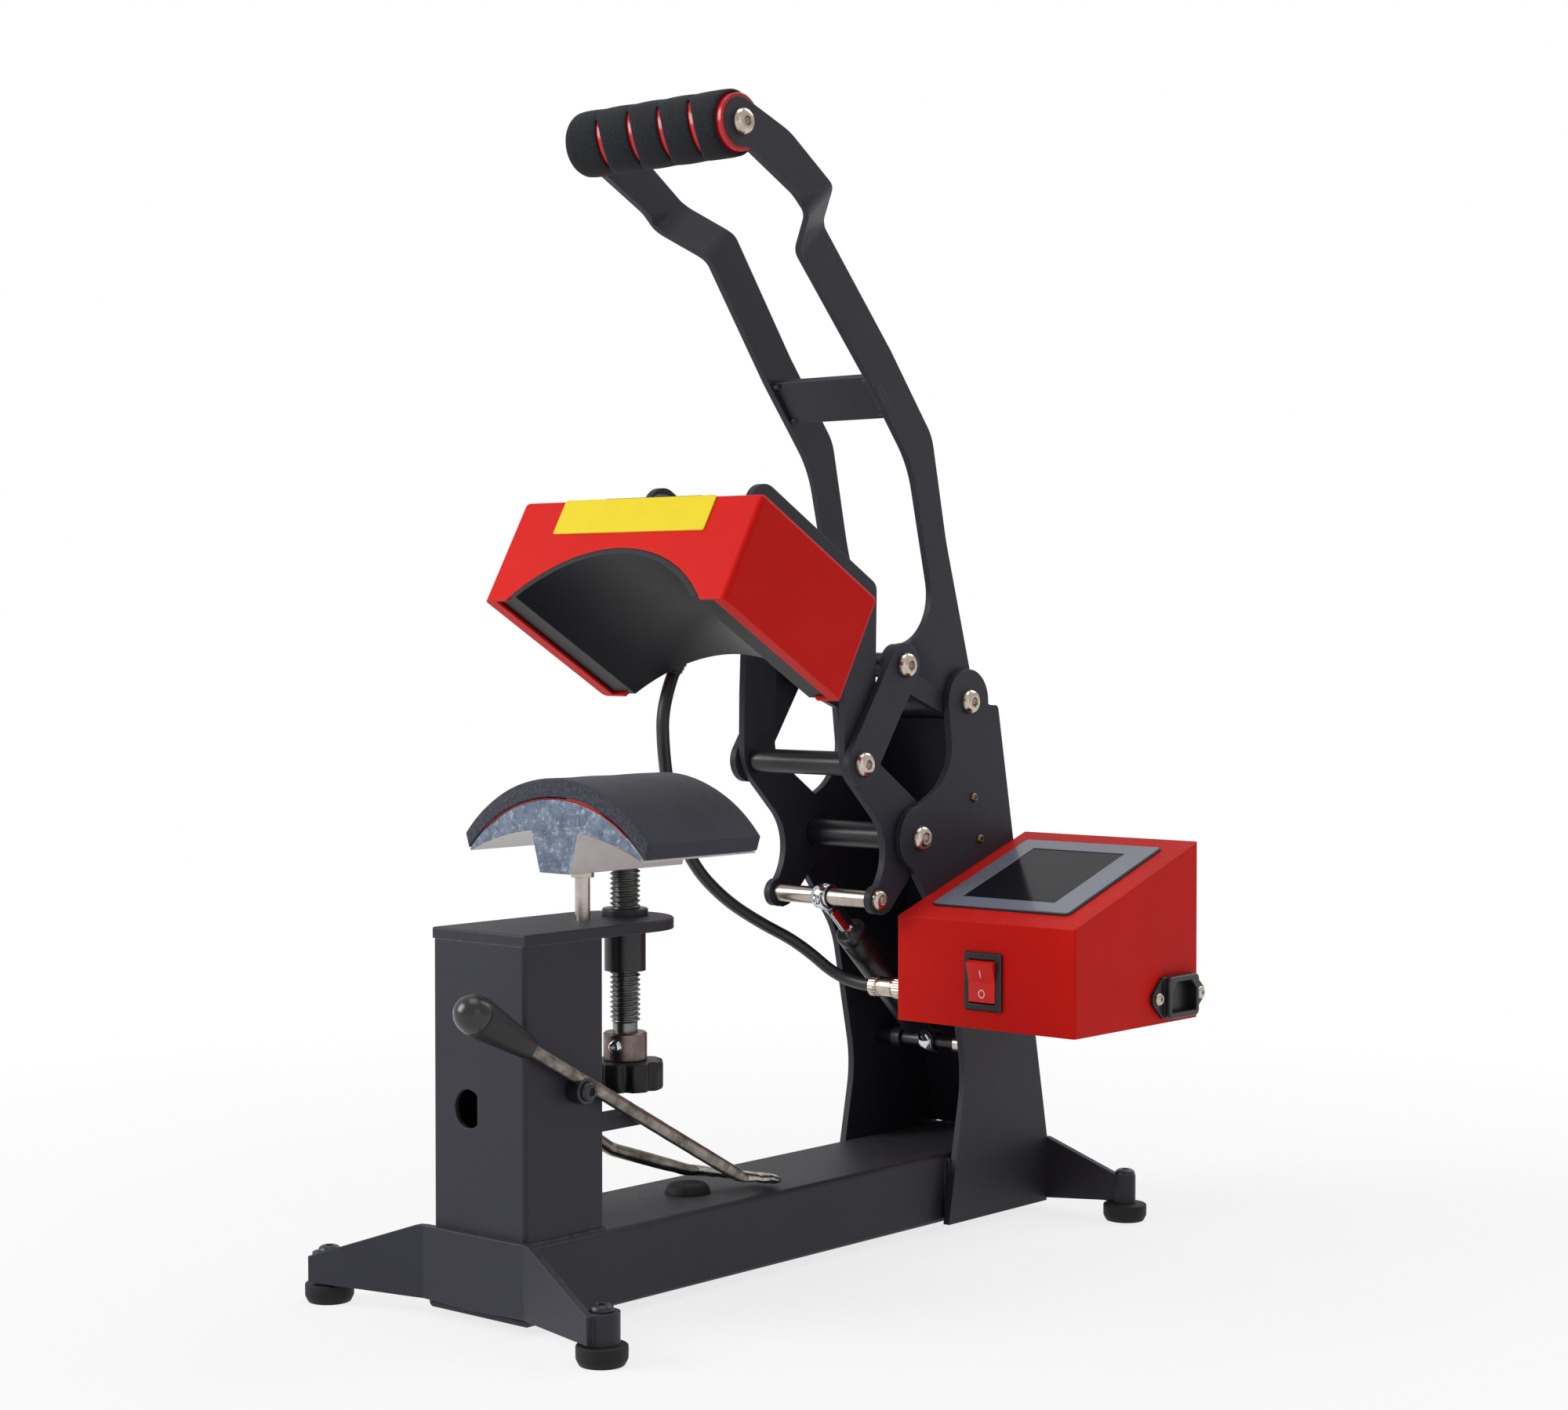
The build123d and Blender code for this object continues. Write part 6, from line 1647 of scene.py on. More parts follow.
@dataclass
class LowerPlaten(Assembly):
    """The aluminium saddle, its red silicone lining, the sponge pad and the guide rod."""

    front: float = -0.147
    rear: float = -0.066
    crown: float = 0.2614
    pad_radius: float = 0.084
    pad_half: float = 0.0643
    pad_thick: float = 0.0093
    pad_points: int = 97
    undercut: float = 0.0026
    saddle_radius: float = 0.081
    lining: float = 0.0009
    lining_points: int = 120
    gap: float = 0.0003

    def build(self) -> None:
        """Makes the pad and the lining, and dresses the saddle and the rod."""
        self.dress(ALUMINIUM, "platen_saddle")
        self.dress(GUIDE_STEEL, "guide_rod")
        self.make_pad()
        self.make_lining()

    def inner_centre(self) -> float:
        """Height of the middle of the saddle's arc."""
        return self.crown - self.pad_thick - self.lining - self.gap - self.saddle_radius

    def make_pad(self) -> None:
        """A slab of sponge bent over the saddle, its ends and faces cut square."""
        inner = self.saddle_radius + self.lining + self.gap
        outer_arc = math.asin(self.pad_half / self.pad_radius)
        inner_arc = math.asin((self.pad_half - self.undercut) / inner)
        outer_centre = self.crown - self.pad_radius
        rings = []
        for y, inset in self.stations():
            drawn_in = 1 - inset / self.pad_half
            outer = np.linspace(-outer_arc, outer_arc, self.pad_points) * drawn_in
            under = np.linspace(inner_arc, -inner_arc, self.pad_points) * drawn_in
            top = self.arc(outer, self.pad_radius - inset, y, outer_centre)
            low = self.arc(under, inner + inset * 0.3, y, self.inner_centre())
            swell = wobble(top, 0.00022, 0.035, 11) - 0.0001
            out = (top - np.array([0.0, 0.0, outer_centre])) * np.array([1, 0, 1])
            top += out / np.linalg.norm(out, axis=1, keepdims=True) * swell[:, None]
            rings.append(np.concatenate([top, low]))
        pad = skin("former_pad", np.array(rings), PAD_SPONGE, capped=False, sharp=50.0)
        self.close_ends(pad, self.pad_points)
        bevel = pad.modifiers.new("soft_edges", "BEVEL")
        bevel.width, bevel.segments, bevel.angle_limit = 0.0006, 2, math.radians(50)
        self.fit(pad, Body.PLATEN, "grey_silicone", "platen_pad")

    def stations(self) -> list[tuple[float, float]]:
        """Where the pad's rings stand along Y, and how far each is drawn in."""
        inner = np.linspace(self.front + 0.0009, self.rear - 0.0009, 30)
        edge = [(self.front, 0.0006), (self.front + 0.0003, 0.0002)]
        last = [(self.rear - 0.0003, 0.0002), (self.rear, 0.0006)]
        return edge + [(float(y), 0.0) for y in inner] + last

    @staticmethod
    def close_ends(pad: Piece, count: int) -> None:
        """Fills the pad's two cut faces with strips between its arcs.

        Args:
            pad: The pad.
            count: How many points each arc has.
        """
        work = bmesh.new()
        work.from_mesh(pad.data)
        work.verts.ensure_lookup_table()
        last = len(work.verts) - 2 * count
        for start in (0, last):
            for i in range(count - 1):
                across = start + 2 * count - 1 - i
                corners = (start + i, start + i + 1, across - 1, across)
                work.faces.new([work.verts[k] for k in corners])
        work.to_mesh(pad.data)
        work.free()
        tidy_mesh(pad.data, 50.0)

    def make_lining(self) -> None:
        """A thin red sheet under the pad, doubled where it was folded near the crown."""
        arcs = np.radians(np.linspace(-37, 37, self.lining_points))
        degrees = np.degrees(arcs)
        fold = np.clip(1 - ((degrees - 14.5) / 9.5) ** 2, 0, 1) ** 0.5
        uneven = wobble(np.stack([arcs * 40, arcs * 0, arcs * 0], axis=1), 0.35, 1.0, 4)
        thick = (self.lining * (0.6 + uneven)).clip(0.0003, None)
        rings = []
        for y in (self.front - 0.0004, self.front, self.rear, self.rear + 0.0003):
            ahead = 1.0 if y < self.front + 0.0002 else 0.0
            low = self.saddle_radius + 0.00005
            high = low + thick + (0.0011 * fold + 0.0003 * fold * uneven) * ahead
            top = self.arc(arcs, high, y, self.inner_centre())
            bottom = self.arc(arcs[::-1], low, y, self.inner_centre())
            rings.append(np.concatenate([top, bottom]))
        lining = skin("silicone_lining", np.array(rings), RED_SILICONE, capped=False)
        self.close_ends(lining, self.lining_points)
        self.fit(lining, Body.PLATEN, "red_silicone", "silicone_strip")

    @staticmethod
    def arc(arcs: np.ndarray, radius: np.ndarray | float, y: float, centre: float) -> np.ndarray:
        """Points of an arc over the saddle.

        Args:
            arcs: Their angles from the crown.
            radius: Their distance from the arc's middle.
            y: Where the arc stands.
            centre: The height of its middle.

        Returns:
            The points.
        """
        across = np.sin(arcs) * radius
        return np.stack([across, np.full(len(arcs), y), centre + np.cos(arcs) * radius], axis=1)


BAIL_SLEEVE = TurnedTree(
    "bail_sleeve",
    {"Fat Radius": 0.0099, "Thin Radius": 0.0057, "Length": 0.048},
    (
        Row({}, {"Length": 0.79}),
        Row({"Fat Radius": 0.90}, {"Length": 0.79}),
        Row({"Fat Radius": 0.985}, {"Length": 0.787}),
        Row({"Fat Radius": 1.0}, {"Length": 0.778}),
        Row({"Fat Radius": 0.995}, {"Length": 0.765}),
        Row({"Fat Radius": 0.76, "Thin Radius": 0.245}, {"Length": 0.58}),
        Row({"Fat Radius": 0.5, "Thin Radius": 0.5}, {"Length": 0.385}),
        Row({"Fat Radius": 0.25, "Thin Radius": 0.75}, {"Length": 0.19}),
        Row({"Thin Radius": 1.0}, {"Length": 0.012}),
        Row({"Thin Radius": 0.95}, {}),
        Row({}, {}),
    ),
    56,
)
BAIL_DOME = TurnedTree(
    "bail_dome",
    {"Radius": 0.0096, "Start": 0.0375, "Reach": 0.0122},
    (
        Row({}, {"Start": 1.0, "Reach": 1.0}),
        Row({"Radius": 0.26}, {"Start": 1.0, "Reach": 0.975}),
        Row({"Radius": 0.48}, {"Start": 1.0, "Reach": 0.905}),
        Row({"Radius": 0.67}, {"Start": 1.0, "Reach": 0.79}),
        Row({"Radius": 0.82}, {"Start": 1.0, "Reach": 0.64}),
        Row({"Radius": 0.92}, {"Start": 1.0, "Reach": 0.46}),
        Row({"Radius": 0.98}, {"Start": 1.0, "Reach": 0.27}),
        Row({"Radius": 1.0}, {"Start": 1.0, "Reach": 0.1}),
        Row({"Radius": 0.99}, {"Start": 1.0}),
        Row({"Radius": 0.8}, {"Start": 0.995}),
        Row({}, {"Start": 0.995}),
    ),
    56,
)
LUG = TurnedTree(
    "bail_lug",
    {"Radius": 0.0065, "Length": 0.0086},
    profile(
        "Radius", "Length",
        (0, 0), (0.92, 0), (1, -0.08), (1, -0.92), (0.92, -1), (0, -1),
    ),
)


@dataclass
class Bail(Assembly):
    """The bent hold-down bar with its hammered tip, its lugs, bolts and grip."""

    radius: float = 0.0035
    corners: tuple[tuple[float, float, float], ...] = (
        (0.037, -0.2369, 0.15798),
        (0.037, -0.074, 0.0679),
        (0.032, -0.046, 0.0542),
        (0.025, -0.010, 0.0466),
        (0.013, -0.013, 0.0468),
        (-0.006, -0.046, 0.0530),
        (-0.034, -0.073, 0.0640),
        (-0.037, -0.086, 0.0735),
        (-0.037, -0.1655, 0.1185),
    )
    bends: tuple[float, ...] = (0.018, 0.018, 0.0054, 0.0054, 0.016, 0.010, 0.010)
    pivot: tuple[float, float] = (-0.1655, 0.1135)
    lug_face: float = 0.0412
    grip_spot: tuple[float, float, float] = (0.037, -0.2009, 0.13808)
    slope: float = 0.553
    hammered_from: float = -0.062
    hammered_run: float = 0.034
    bright_from: float = -0.043

    def build(self) -> None:
        """Makes the bail's pieces."""
        path = rounded_path(self.corners, self.bends, 0.0007)
        tip = np.clip((path[:, 1] - self.hammered_from) / self.hammered_run, 0, 1)
        tip = tip * tip * (3 - 2 * tip)
        wide = self.radius * (1 + 0.42 * tip)
        flat = self.radius * (1 - 0.30 * tip)
        rings = sweep(path, wide, flat, ACROSS, 28)
        dents = wobble(rings, 1.0, 0.0075, 21) * (0.00006 + 0.00055 * tip[:, None])
        dents += wobble(rings, 0.00004, 0.002, 22)
        out = rings - path[:, None, :]
        out /= np.linalg.norm(out, axis=2, keepdims=True)
        bar = skin("bail_bar", rings + out * dents[:, :, None], WORN_CHROME, sharp=70.0)
        bar.data.materials.append(WORN_TIP.material())
        for face in bar.data.polygons:
            if face.center.y > self.bright_from:
                face.material_index = 1
        self.fit(bar, Body.BAIL, "weathered_chrome", "bail_rod")
        lugs = both_sides(self.lug_face, self.pivot)
        self.turn(LUG, "bail_lugs", lugs, BLACK_OXIDE, Body.BAIL, "black_steel")
        spot: Spot = (self.grip_spot, tuple(Vector((0.0, -1.0, self.slope)).normalized()))
        self.turn(
            BAIL_SLEEVE, "bail_handgrip", [spot], SATIN_PLASTIC, Body.BAIL, "black_plastic",
            "bail_grip",
        )
        self.turn(
            BAIL_DOME, "bail_grip_dome", [spot], SHINY_PLASTIC, Body.BAIL, "black_plastic"
        )
        self.turn(
            BUTTON_SCREW, "bail_screws", both_sides(self.lug_face + 0.0001, self.pivot),
            BLACK_OXIDE, Body.FRAME, "black_steel", "bail_bolts", seed=6, Head_Diameter=0.0096,
            Head_Height=0.0026, Socket_Flats=0.004, Shank_Diameter=0.006, Length=0.0095,
        )


@dataclass
class Tower(Assembly):
    """The two side plates, the rear cover, the pivot tubes and their screws."""

    cover_spots: tuple[tuple[float, float], ...] = ((0.1384, 0.2407), (0.1441, 0.2172))
    box_spots: tuple[tuple[float, float], ...] = ((0.1420, 0.1920), (0.1420, 0.1400))
    box_wall: float = 0.0434

    def build(self) -> None:
        """Dresses the plates and makes the screws."""
        self.dress(BLACK_COAT, "tower_plate_left", "tower_plate_right", "tower_rear_cover")
        self.dress(BLACK_OXIDE, "tower_cross_tubes")
        pivots = both_sides(OUTER_FACE, HANDLE_PIVOT, ARM_PIVOT)
        self.turn(
            BUTTON_SCREW, "pivot_screws", pivots, NICKEL, Body.FRAME, "nickel_screw",
            "tower_pivot_screws", seed=7, Length=0.0205,
        )
        outer: list[Spot] = [((OUTER_FACE, y, z), ACROSS) for y, z in self.cover_spots]
        self.turn(
            BUTTON_SCREW, "cover_screws", outer, BRASS, Body.FRAME, "brass_pin",
            "tower_small_screws", seed=8, Head_Diameter=0.0052, Head_Height=0.0016,
            Socket_Flats=0.0022, Shank_Diameter=0.003, Length=0.0035,
        )
        inner: list[Spot] = [((self.box_wall, y, z), ACROSS) for y, z in self.box_spots]
        self.turn(
            BUTTON_SCREW, "box_wall_screws", inner, NICKEL, Body.FRAME, "nickel_screw", seed=9,
            Head_Diameter=0.007, Head_Height=0.002, Socket_Flats=0.0025, Shank_Diameter=0.004,
            Length=0.005,
        )


CONNECTOR = TurnedTree(
    "round_connector",
    {"Radius": 0.0055, "Length": 0.0282, "Notch Depth": 0.00035},
    profile(
        "Radius", "Length",
        (0, 0.985), (0.6, 0.985), (0.66, 1), (0.88, 1), (1.04, 0.965), (1.04, 0.8), (0.97, 0.785),
        (0.86, 0.775), (0.86, 0.715), (1, 0.7), (1, 0.42), (0.92, 0.41), (0.92, 0.37),
        (1.1, 0.36), (1.1, 0.12), (1, 0.105), (1, 0), (0, 0), lobed=(5, 13, 14),
    ),
    120,
    20,
)


@dataclass
class ControlBox(Assembly):
    """The red control box with its display, rocker switch, mains inlet and head connector."""

    left: float = OUTER_FACE
    width: float = 0.116
    front: float = 0.0711
    front_top: float = 0.180
    slope: float = math.atan2(0.039, 0.1159)
    bezel: tuple[float, float, float, float] = (0.0118, 0.0165, 0.089, 0.0915)
    switch_x: float = 0.1002
    inlet_y: float = 0.1655
    inlet_z: float = 0.1372
    ear_reach: float = 0.020
    ear_radius: float = 0.0052

    def build(self) -> None:
        """Makes the box's fittings and dresses its sheet metal."""
        self.dress(RED_COAT, "box_shell", "box_floor")
        self.dress(BEZEL_GREY, "display_bezel")
        self.dress(SCREEN_BLACK, "display_screen")
        self.dress(PLASTIC, "switch_housing")
        self.dress(RED_PLASTIC, "switch_rocker")
        self.dress(BRASS, "inlet_pins")
        self.make_gasket()
        self.make_marks()
        self.make_inlet()
        spot: Spot = (SOCKET_SPOT, (-1.0, 0.0, 0.0))
        self.turn(
            CONNECTOR, "round_socket", [spot], NICKEL, Body.FRAME, "nickel_screw",
            "head_connector",
        )
        self.turn(
            HEX_NUT, "socket_nut", [spot], NICKEL, Body.FRAME, "nickel_screw", seed=3,
            Flats=0.0142, Height=0.0026,
        )

    def on_slope(self, x: float, up: float, out: float) -> tuple[float, float, float]:
        """A point of the sloping panel, from its lower left corner."""
        y = self.front + up * math.cos(self.slope) - out * math.sin(self.slope)
        z = self.front_top + up * math.sin(self.slope) + out * math.cos(self.slope)
        return self.left + x, y, z

    def make_gasket(self) -> None:
        """A thin black gasket that shows as a line round the bezel."""
        x, up, width, height = self.bezel
        middle = (x + width / 2, up + height / 2)
        edge = by_angle(rounded_box(width + 0.0020, height + 0.0020, 0.0026), 120)
        rings = [
            [self.on_slope(middle[0] + a * k, middle[1] + b * k, out) for a, b in edge]
            for k, out in ((1.0, 0.0), (1.0, 0.00055), (0.99, 0.0007))
        ]
        gasket = skin("bezel_gasket", np.array(rings), RUBBER)
        self.fit(gasket, Body.FRAME, "black_rubber")

    def make_marks(self) -> None:
        """The raised line and ring on the rocker's two faces."""
        face = math.atan2(0.0028, 0.01124)
        up = np.array([0.0, -math.sin(face), math.cos(face)])
        out = np.array([0.0, -math.cos(face), -math.sin(face)])
        line = self.mark(
            "rocker_line", np.array([self.switch_x, 0.06733, 0.1530]), up, out,
            by_angle(rounded_box(0.0006, 0.0042, 0.00028), 48), None,
        )
        self.fit(line, Body.ROCKER)
        turn = np.linspace(0, 2 * math.pi, 48, endpoint=False)
        circle = np.stack([np.cos(turn), np.sin(turn)], axis=1)
        ring = self.mark(
            "rocker_ring", np.array([self.switch_x, 0.06873, 0.1424]), np.array([0.0, 0.0, 1.0]),
            np.array([0.0, -1.0, 0.0]), circle * np.array([0.0021, 0.0023]), 0.74,
        )
        self.fit(ring, Body.ROCKER)

    def mark(
        self, name: str, middle: np.ndarray, up: np.ndarray, out: np.ndarray, outline: np.ndarray,
        hole: float | None,
    ) -> Piece:
        """A thin raised mark.

        Args:
            name: The piece's name.
            middle: Its middle on the rocker's face.
            up: Up along the face.
            out: Out of the face.
            outline: Its outline across and up.
            hole: How much smaller its hole is than its outline, if it has one.

        Returns:
            The piece.
        """

        def ring(share: float, height: float) -> np.ndarray:
            """The outline, drawn in and raised."""
            flat = outline * share
            return middle + flat[:, :1] * np.array(ACROSS) + flat[:, 1:] * up + out * height

        rings = [ring(1.0, -0.0002), ring(1.0, 0.00010), ring(0.96, 0.00014)]
        if hole:
            rings += [ring(hole + 0.03, 0.00014), ring(hole, 0.00010), ring(hole, -0.0002)]
        return skin(name, np.array(rings), MARK_WHITE, capped=hole is None)

    def make_inlet(self) -> None:
        """The mains inlet: a flange with two screw ears and a shroud round its socket."""
        wall = self.left + self.width
        ears = [
            (side * self.ear_reach + self.ear_radius * math.cos(a), self.ear_radius * math.sin(a))
            for side, start in ((1, -60), (-1, 120))
            for a in np.radians(np.linspace(start, start + 120, 9))
        ]
        corners = [(0.0150, 0.0112), (-0.0150, 0.0112), (-0.0150, -0.0112), (0.0150, -0.0112)]
        plate = ears[:9] + corners[:2] + ears[9:] + corners[2:]
        flange = by_angle(plate, 144)
        shroud = by_angle(rounded_box(0.0292, 0.0226, 0.0028), 144)
        right_half = [(0.0119, -0.0083), (0.0119, 0.0035), (0.0072, 0.0083)]
        cavity = by_angle(right_half + [(-a, b) for a, b in reversed(right_half)], 144)
        stages = (
            (flange, 1.0, 0.0), (flange, 1.0, 0.0020), (flange, 0.975, 0.0024),
            (shroud, 1.0, 0.0024), (shroud, 1.0, 0.0052), (shroud, 0.96, 0.0058),
            (cavity, 1.04, 0.0058), (cavity, 1.0, 0.0054), (cavity, 1.0, -0.0130),
        )
        rings = [
            [(wall + out, self.inlet_y + a * k, self.inlet_z + b * k) for a, b in outline]
            for outline, k, out in stages
        ]
        body = skin("mains_inlet", np.array(rings), PLASTIC, sharp=28.0)
        self.fit(body, Body.FRAME, "black_plastic", "inlet_body")
        spots: list[Spot] = [
            ((wall + 0.0024, self.inlet_y + side * self.ear_reach, self.inlet_z), ACROSS)
            for side in (-1, 1)
        ]
        self.turn(
            BUTTON_SCREW, "inlet_fixings", spots, NICKEL, Body.FRAME, "nickel_screw",
            "inlet_screws", seed=12, Head_Diameter=0.007, Head_Height=0.002,
            Socket_Flats=0.0022, Shank_Diameter=0.004, Length=0.0035,
        )


@dataclass
class Handle(Assembly):
    """The two bent arms, their brace and the foam grip on its red tube."""

    bend_angle: float = math.radians(40.4)
    bend_low: tuple[float, float] = (0.0090, 0.5395)
    bend_high: tuple[float, float] = (-0.0076, 0.55505)
    offset: float = 0.017
    lean: float = 0.0043
    roundness: float = 0.0042
    foam_left: float = -0.0532
    foam_right: float = 0.0505
    foam_radius: float = 0.0169
    foam_bore: float = 0.0157
    foam_lip: float = 0.0012
    slits: tuple[tuple[float, float, float], ...] = (
        (-0.0288, -34.0, 66.0),
        (-0.0067, -44.0, 68.0),
        (0.0143, -44.0, 68.0),
        (0.0355, -50.0, 68.0),
    )
    slit_width: float = 0.0036
    slit_rim: float = 0.0036
    slit_bow: float = 0.0048
    grip_face: float = 0.0545
    link_face: float = 0.0423
    slit_deepest: float = 25.0

    def build(self) -> None:
        """Makes the arms and the grip."""
        for name in ("left", "right"):
            self.make_arm(name)
        self.dress(BLACK_COAT, "handle_brace")
        self.dress(BLACK_OXIDE, "link_pivot_tube")
        self.make_foam()
        self.make_brace_welds()
        self.turn(
            BUTTON_SCREW, "grip_end_screws", both_sides(self.grip_face, GRIP_AXIS), NICKEL,
            Body.HANDLE, "nickel_screw", "grip_screws", seed=13, Length=0.0155,
        )
        self.turn(
            BUTTON_SCREW, "link_top_screws", both_sides(self.link_face, LINK_TOP), NICKEL,
            Body.HANDLE, "nickel_screw", "link_pivot_screws", seed=14, Length=0.0200,
        )

    def make_arm(self, name: str) -> None:
        """One handle arm, leaning in above the brace, its two bends rolled round.

        Args:
            name: Which side it is on.
        """
        across = np.array([-math.sin(self.bend_angle), math.cos(self.bend_angle)])
        low = float(across @ np.array(self.bend_low))
        run = float(across @ np.array(self.bend_high)) - low
        side = 1.0 if name == "right" else -1.0
        work = bmesh.new()
        work.from_mesh(self.nodes[f"handle_arm_{name}"].data)
        bmesh.ops.remove_doubles(work, verts=work.verts, dist=1e-6)
        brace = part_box("handle_brace")
        start = float(across @ np.array((brace[0][1], brace[1][2]))) - low
        bends = np.arange(low - self.roundness, low + run + self.roundness, 0.0007)
        for cut in [low + start, *bends]:
            everything = work.verts[:] + work.edges[:] + work.faces[:]
            spot = (0.0, cut * across[0], cut * across[1])
            bmesh.ops.bisect_plane(work, geom=everything, plane_co=spot, plane_no=(0.0, *across))
        for vert in work.verts:
            gone = vert.co.y * across[0] + vert.co.z * across[1] - low
            sharp = min(max(gone, 0.0), run)
            soft = self.eased(gone) - self.eased(gone - run)
            leant = min(max((gone - start) / (-self.roundness - start), 0.0), 1.0)
            shift = self.offset * (soft - sharp) / run + self.lean * (soft / run - leant)
            vert.co.x += side * shift
        mesh = bpy.data.meshes.new(name)
        work.to_mesh(mesh)
        work.free()
        tidy_mesh(mesh, 35.0)
        arm = link_mesh(f"handle_strip_{name}", mesh, BLACK_COAT)
        self.fit(arm, Body.HANDLE, "black_powder_coat", f"handle_arm_{name}")

    def make_brace_welds(self) -> None:
        """A short weld at each corner of the brace's front face."""
        low, high = (np.array(corner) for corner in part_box("handle_brace"))
        middle = (low + high) / 2
        run = np.array((0.0, low[1] - high[1], high[2] - low[2]))
        run /= np.linalg.norm(run)
        front = np.array((0.0, -run[2], run[1]))
        seams = []
        for side in (-1.0, 1.0):
            for end in (-0.0115, 0.0115):
                spot = middle + run * end + front * 0.0016
                seams.append([(side * 0.0327, *spot[1:]), (side * 0.0303, *spot[1:])])
        beads = WeldTree().make("brace_welds", seams, BLACK_COAT)
        self.fit(beads, Body.HANDLE, "black_powder_coat")

    def eased(self, gone: float) -> float:
        """A ramp that starts at nought, its corner rounded."""
        if gone <= -self.roundness:
            return 0.0
        if gone >= self.roundness:
            return gone
        return (gone + self.roundness) ** 2 / (4 * self.roundness)

    def make_foam(self) -> None:
        """A foam sleeve with four curved slits that show red, swelling a little between them."""
        turn = np.radians(np.linspace(0, 360, 181)[:-1])
        span = (np.degrees(turn) + 180) % 360 - 180
        flat = np.zeros(len(turn))
        bow = -self.slit_bow * np.clip((span - self.slit_deepest) / 60, -1.25, 1.25) ** 2
        radius = self.foam_radius
        columns: list[Column] = []
        holes: dict[int, np.ndarray] = {}
        for x, r in ((0.0, 0.93), (0.0003, 0.965), (self.foam_lip, 0.992)):
            columns.append((flat + self.foam_left + x, flat + radius * r))
        before = flat + self.foam_left + self.foam_lip
        for x, start, end in self.slits:
            lane = x + bow
            for share in (0.25, 0.5, 0.75):
                swollen = radius * (1 + 0.012 * math.sin(math.pi * share))
                place = before + (lane - self.slit_rim - before) * share
                columns.append((place, flat + swollen))
            left, right, opened = self.slit_edges(lane, span, start, end)
            columns += left
            holes[len(columns) - 1] = opened
            columns += right
            before = lane + self.slit_rim
        for share in (0.25, 0.5, 0.75):
            place = before + (self.foam_right - self.foam_lip - before) * share
            columns.append((place, flat + radius * 1.004))
        for x, r in ((self.foam_lip, 0.99), (0.0003, 0.955), (0.0, 0.90)):
            columns.append((flat + self.foam_right - x, flat + radius * r))
        self.wrap_foam(columns, holes, turn)
        self.make_liner()

    def slit_edges(
        self, lane: np.ndarray, span: np.ndarray, start: float, end: float
    ) -> tuple[list[Column], list[Column], np.ndarray]:
        """The foam's edges beside a slit.

        Args:
            lane: Where the slit runs along X, at every angle.
            span: The angles in degrees, from the front downwards.
            start: The angle at which the slit starts.
            end: The angle at which it ends.

        Returns:
            The columns on its left, those on its right, and True at the angles where it is open.
        """
        middle, half = (start + end) / 2, (end - start) / 2
        gap = self.slit_width * np.clip(1 - ((span - middle) / half) ** 2, 0, 1) ** 0.6
        dip = 0.992 - 0.022 * np.clip(1.25 - np.abs(span - middle) / (half + 25), 0, 1)
        radius = self.foam_radius
        left, right = (
            [
                (lane + side * self.slit_rim, np.full(len(span), radius)),
                (lane + side * 0.0024, radius * (0.5 + 0.5 * dip)),
                (lane + side * (gap / 2 + 0.00025), radius * (0.2 + 0.8 * dip)),
                (lane + side * gap / 2, radius * dip - 0.0002),
            ]
            for side in (-1, 1)
        )
        return left, right[::-1], gap > 1e-5

    def make_liner(self) -> None:
        """The red sleeve under the foam, whose edge stands out at the right end."""
        y, z = GRIP_AXIS
        turn = np.linspace(0, 2 * math.pi, 97)[:-1]
        rings = []
        left, right = self.foam_left + 0.0015, self.foam_right
        for x, r in (
            (left, 0.0140), (left, 0.0154), (right - 0.0012, 0.0154), (right - 0.0004, 0.0146),
            (0.0536, 0.0145), (0.0540, 0.0141), (0.0540, 0.0120),
        ):
            ring = [np.full(len(turn), x), y - r * np.cos(turn), z - r * np.sin(turn)]
            rings.append(np.stack(ring, axis=1))
        liner = skin("grip_liner", np.array(rings), RED_TUBE)
        self.fit(liner, Body.HANDLE, "red_powder_coat", "grip_tube")

    def wrap_foam(
        self, columns: list[Column], holes: Mapping[int, np.ndarray], turn: np.ndarray
    ) -> None:
        """Skins the foam's outside and its bore, with walls round the slits.

        Args:
            columns: X and radius at every angle, from left to right.
            holes: The columns after which faces are left out, and at which angles.
            turn: The angles, from the front downwards.
        """
        y, z = GRIP_AXIS
        verts: list[tuple[float, float, float]] = []
        bore = [(x, np.full(len(turn), self.foam_bore)) for x, _ in columns]
        for x, r in columns + bore:
            for a, px, pr in zip(turn, x, r):
                verts.append((px, y - pr * math.cos(a), z - pr * math.sin(a)))
        outside = len(verts) // 2
        count = len(turn)
        faces = []
        for i in range(len(columns) - 1):
            gone = holes.get(i, np.zeros(count, bool))
            for j in range(count):
                k = (j + 1) % count
                a, b, c, d = i * count + j, i * count + k, (i + 1) * count + k, (i + 1) * count + j
                if not (gone[j] or gone[k]):
                    faces += [(a, b, c, d), (outside + d, outside + c, outside + b, outside + a)]
                else:
                    faces += [(a, b, outside + b, outside + a), (c, d, outside + d, outside + c)]
        last = (len(columns) - 1) * count
        for j in range(count):
            k = (j + 1) % count
            a, b = last + j, last + k
            faces += [(j, k, outside + k, outside + j), (b, a, outside + a, outside + b)]
        mesh = bpy.data.meshes.new("grip_sleeve")
        mesh.from_pydata(verts, [], faces)
        tidy_mesh(mesh, 55.0)
        foam = link_mesh("grip_sleeve", mesh, GRIP_SPONGE)
        self.fit(foam, Body.HANDLE, "black_foam", "grip_foam")


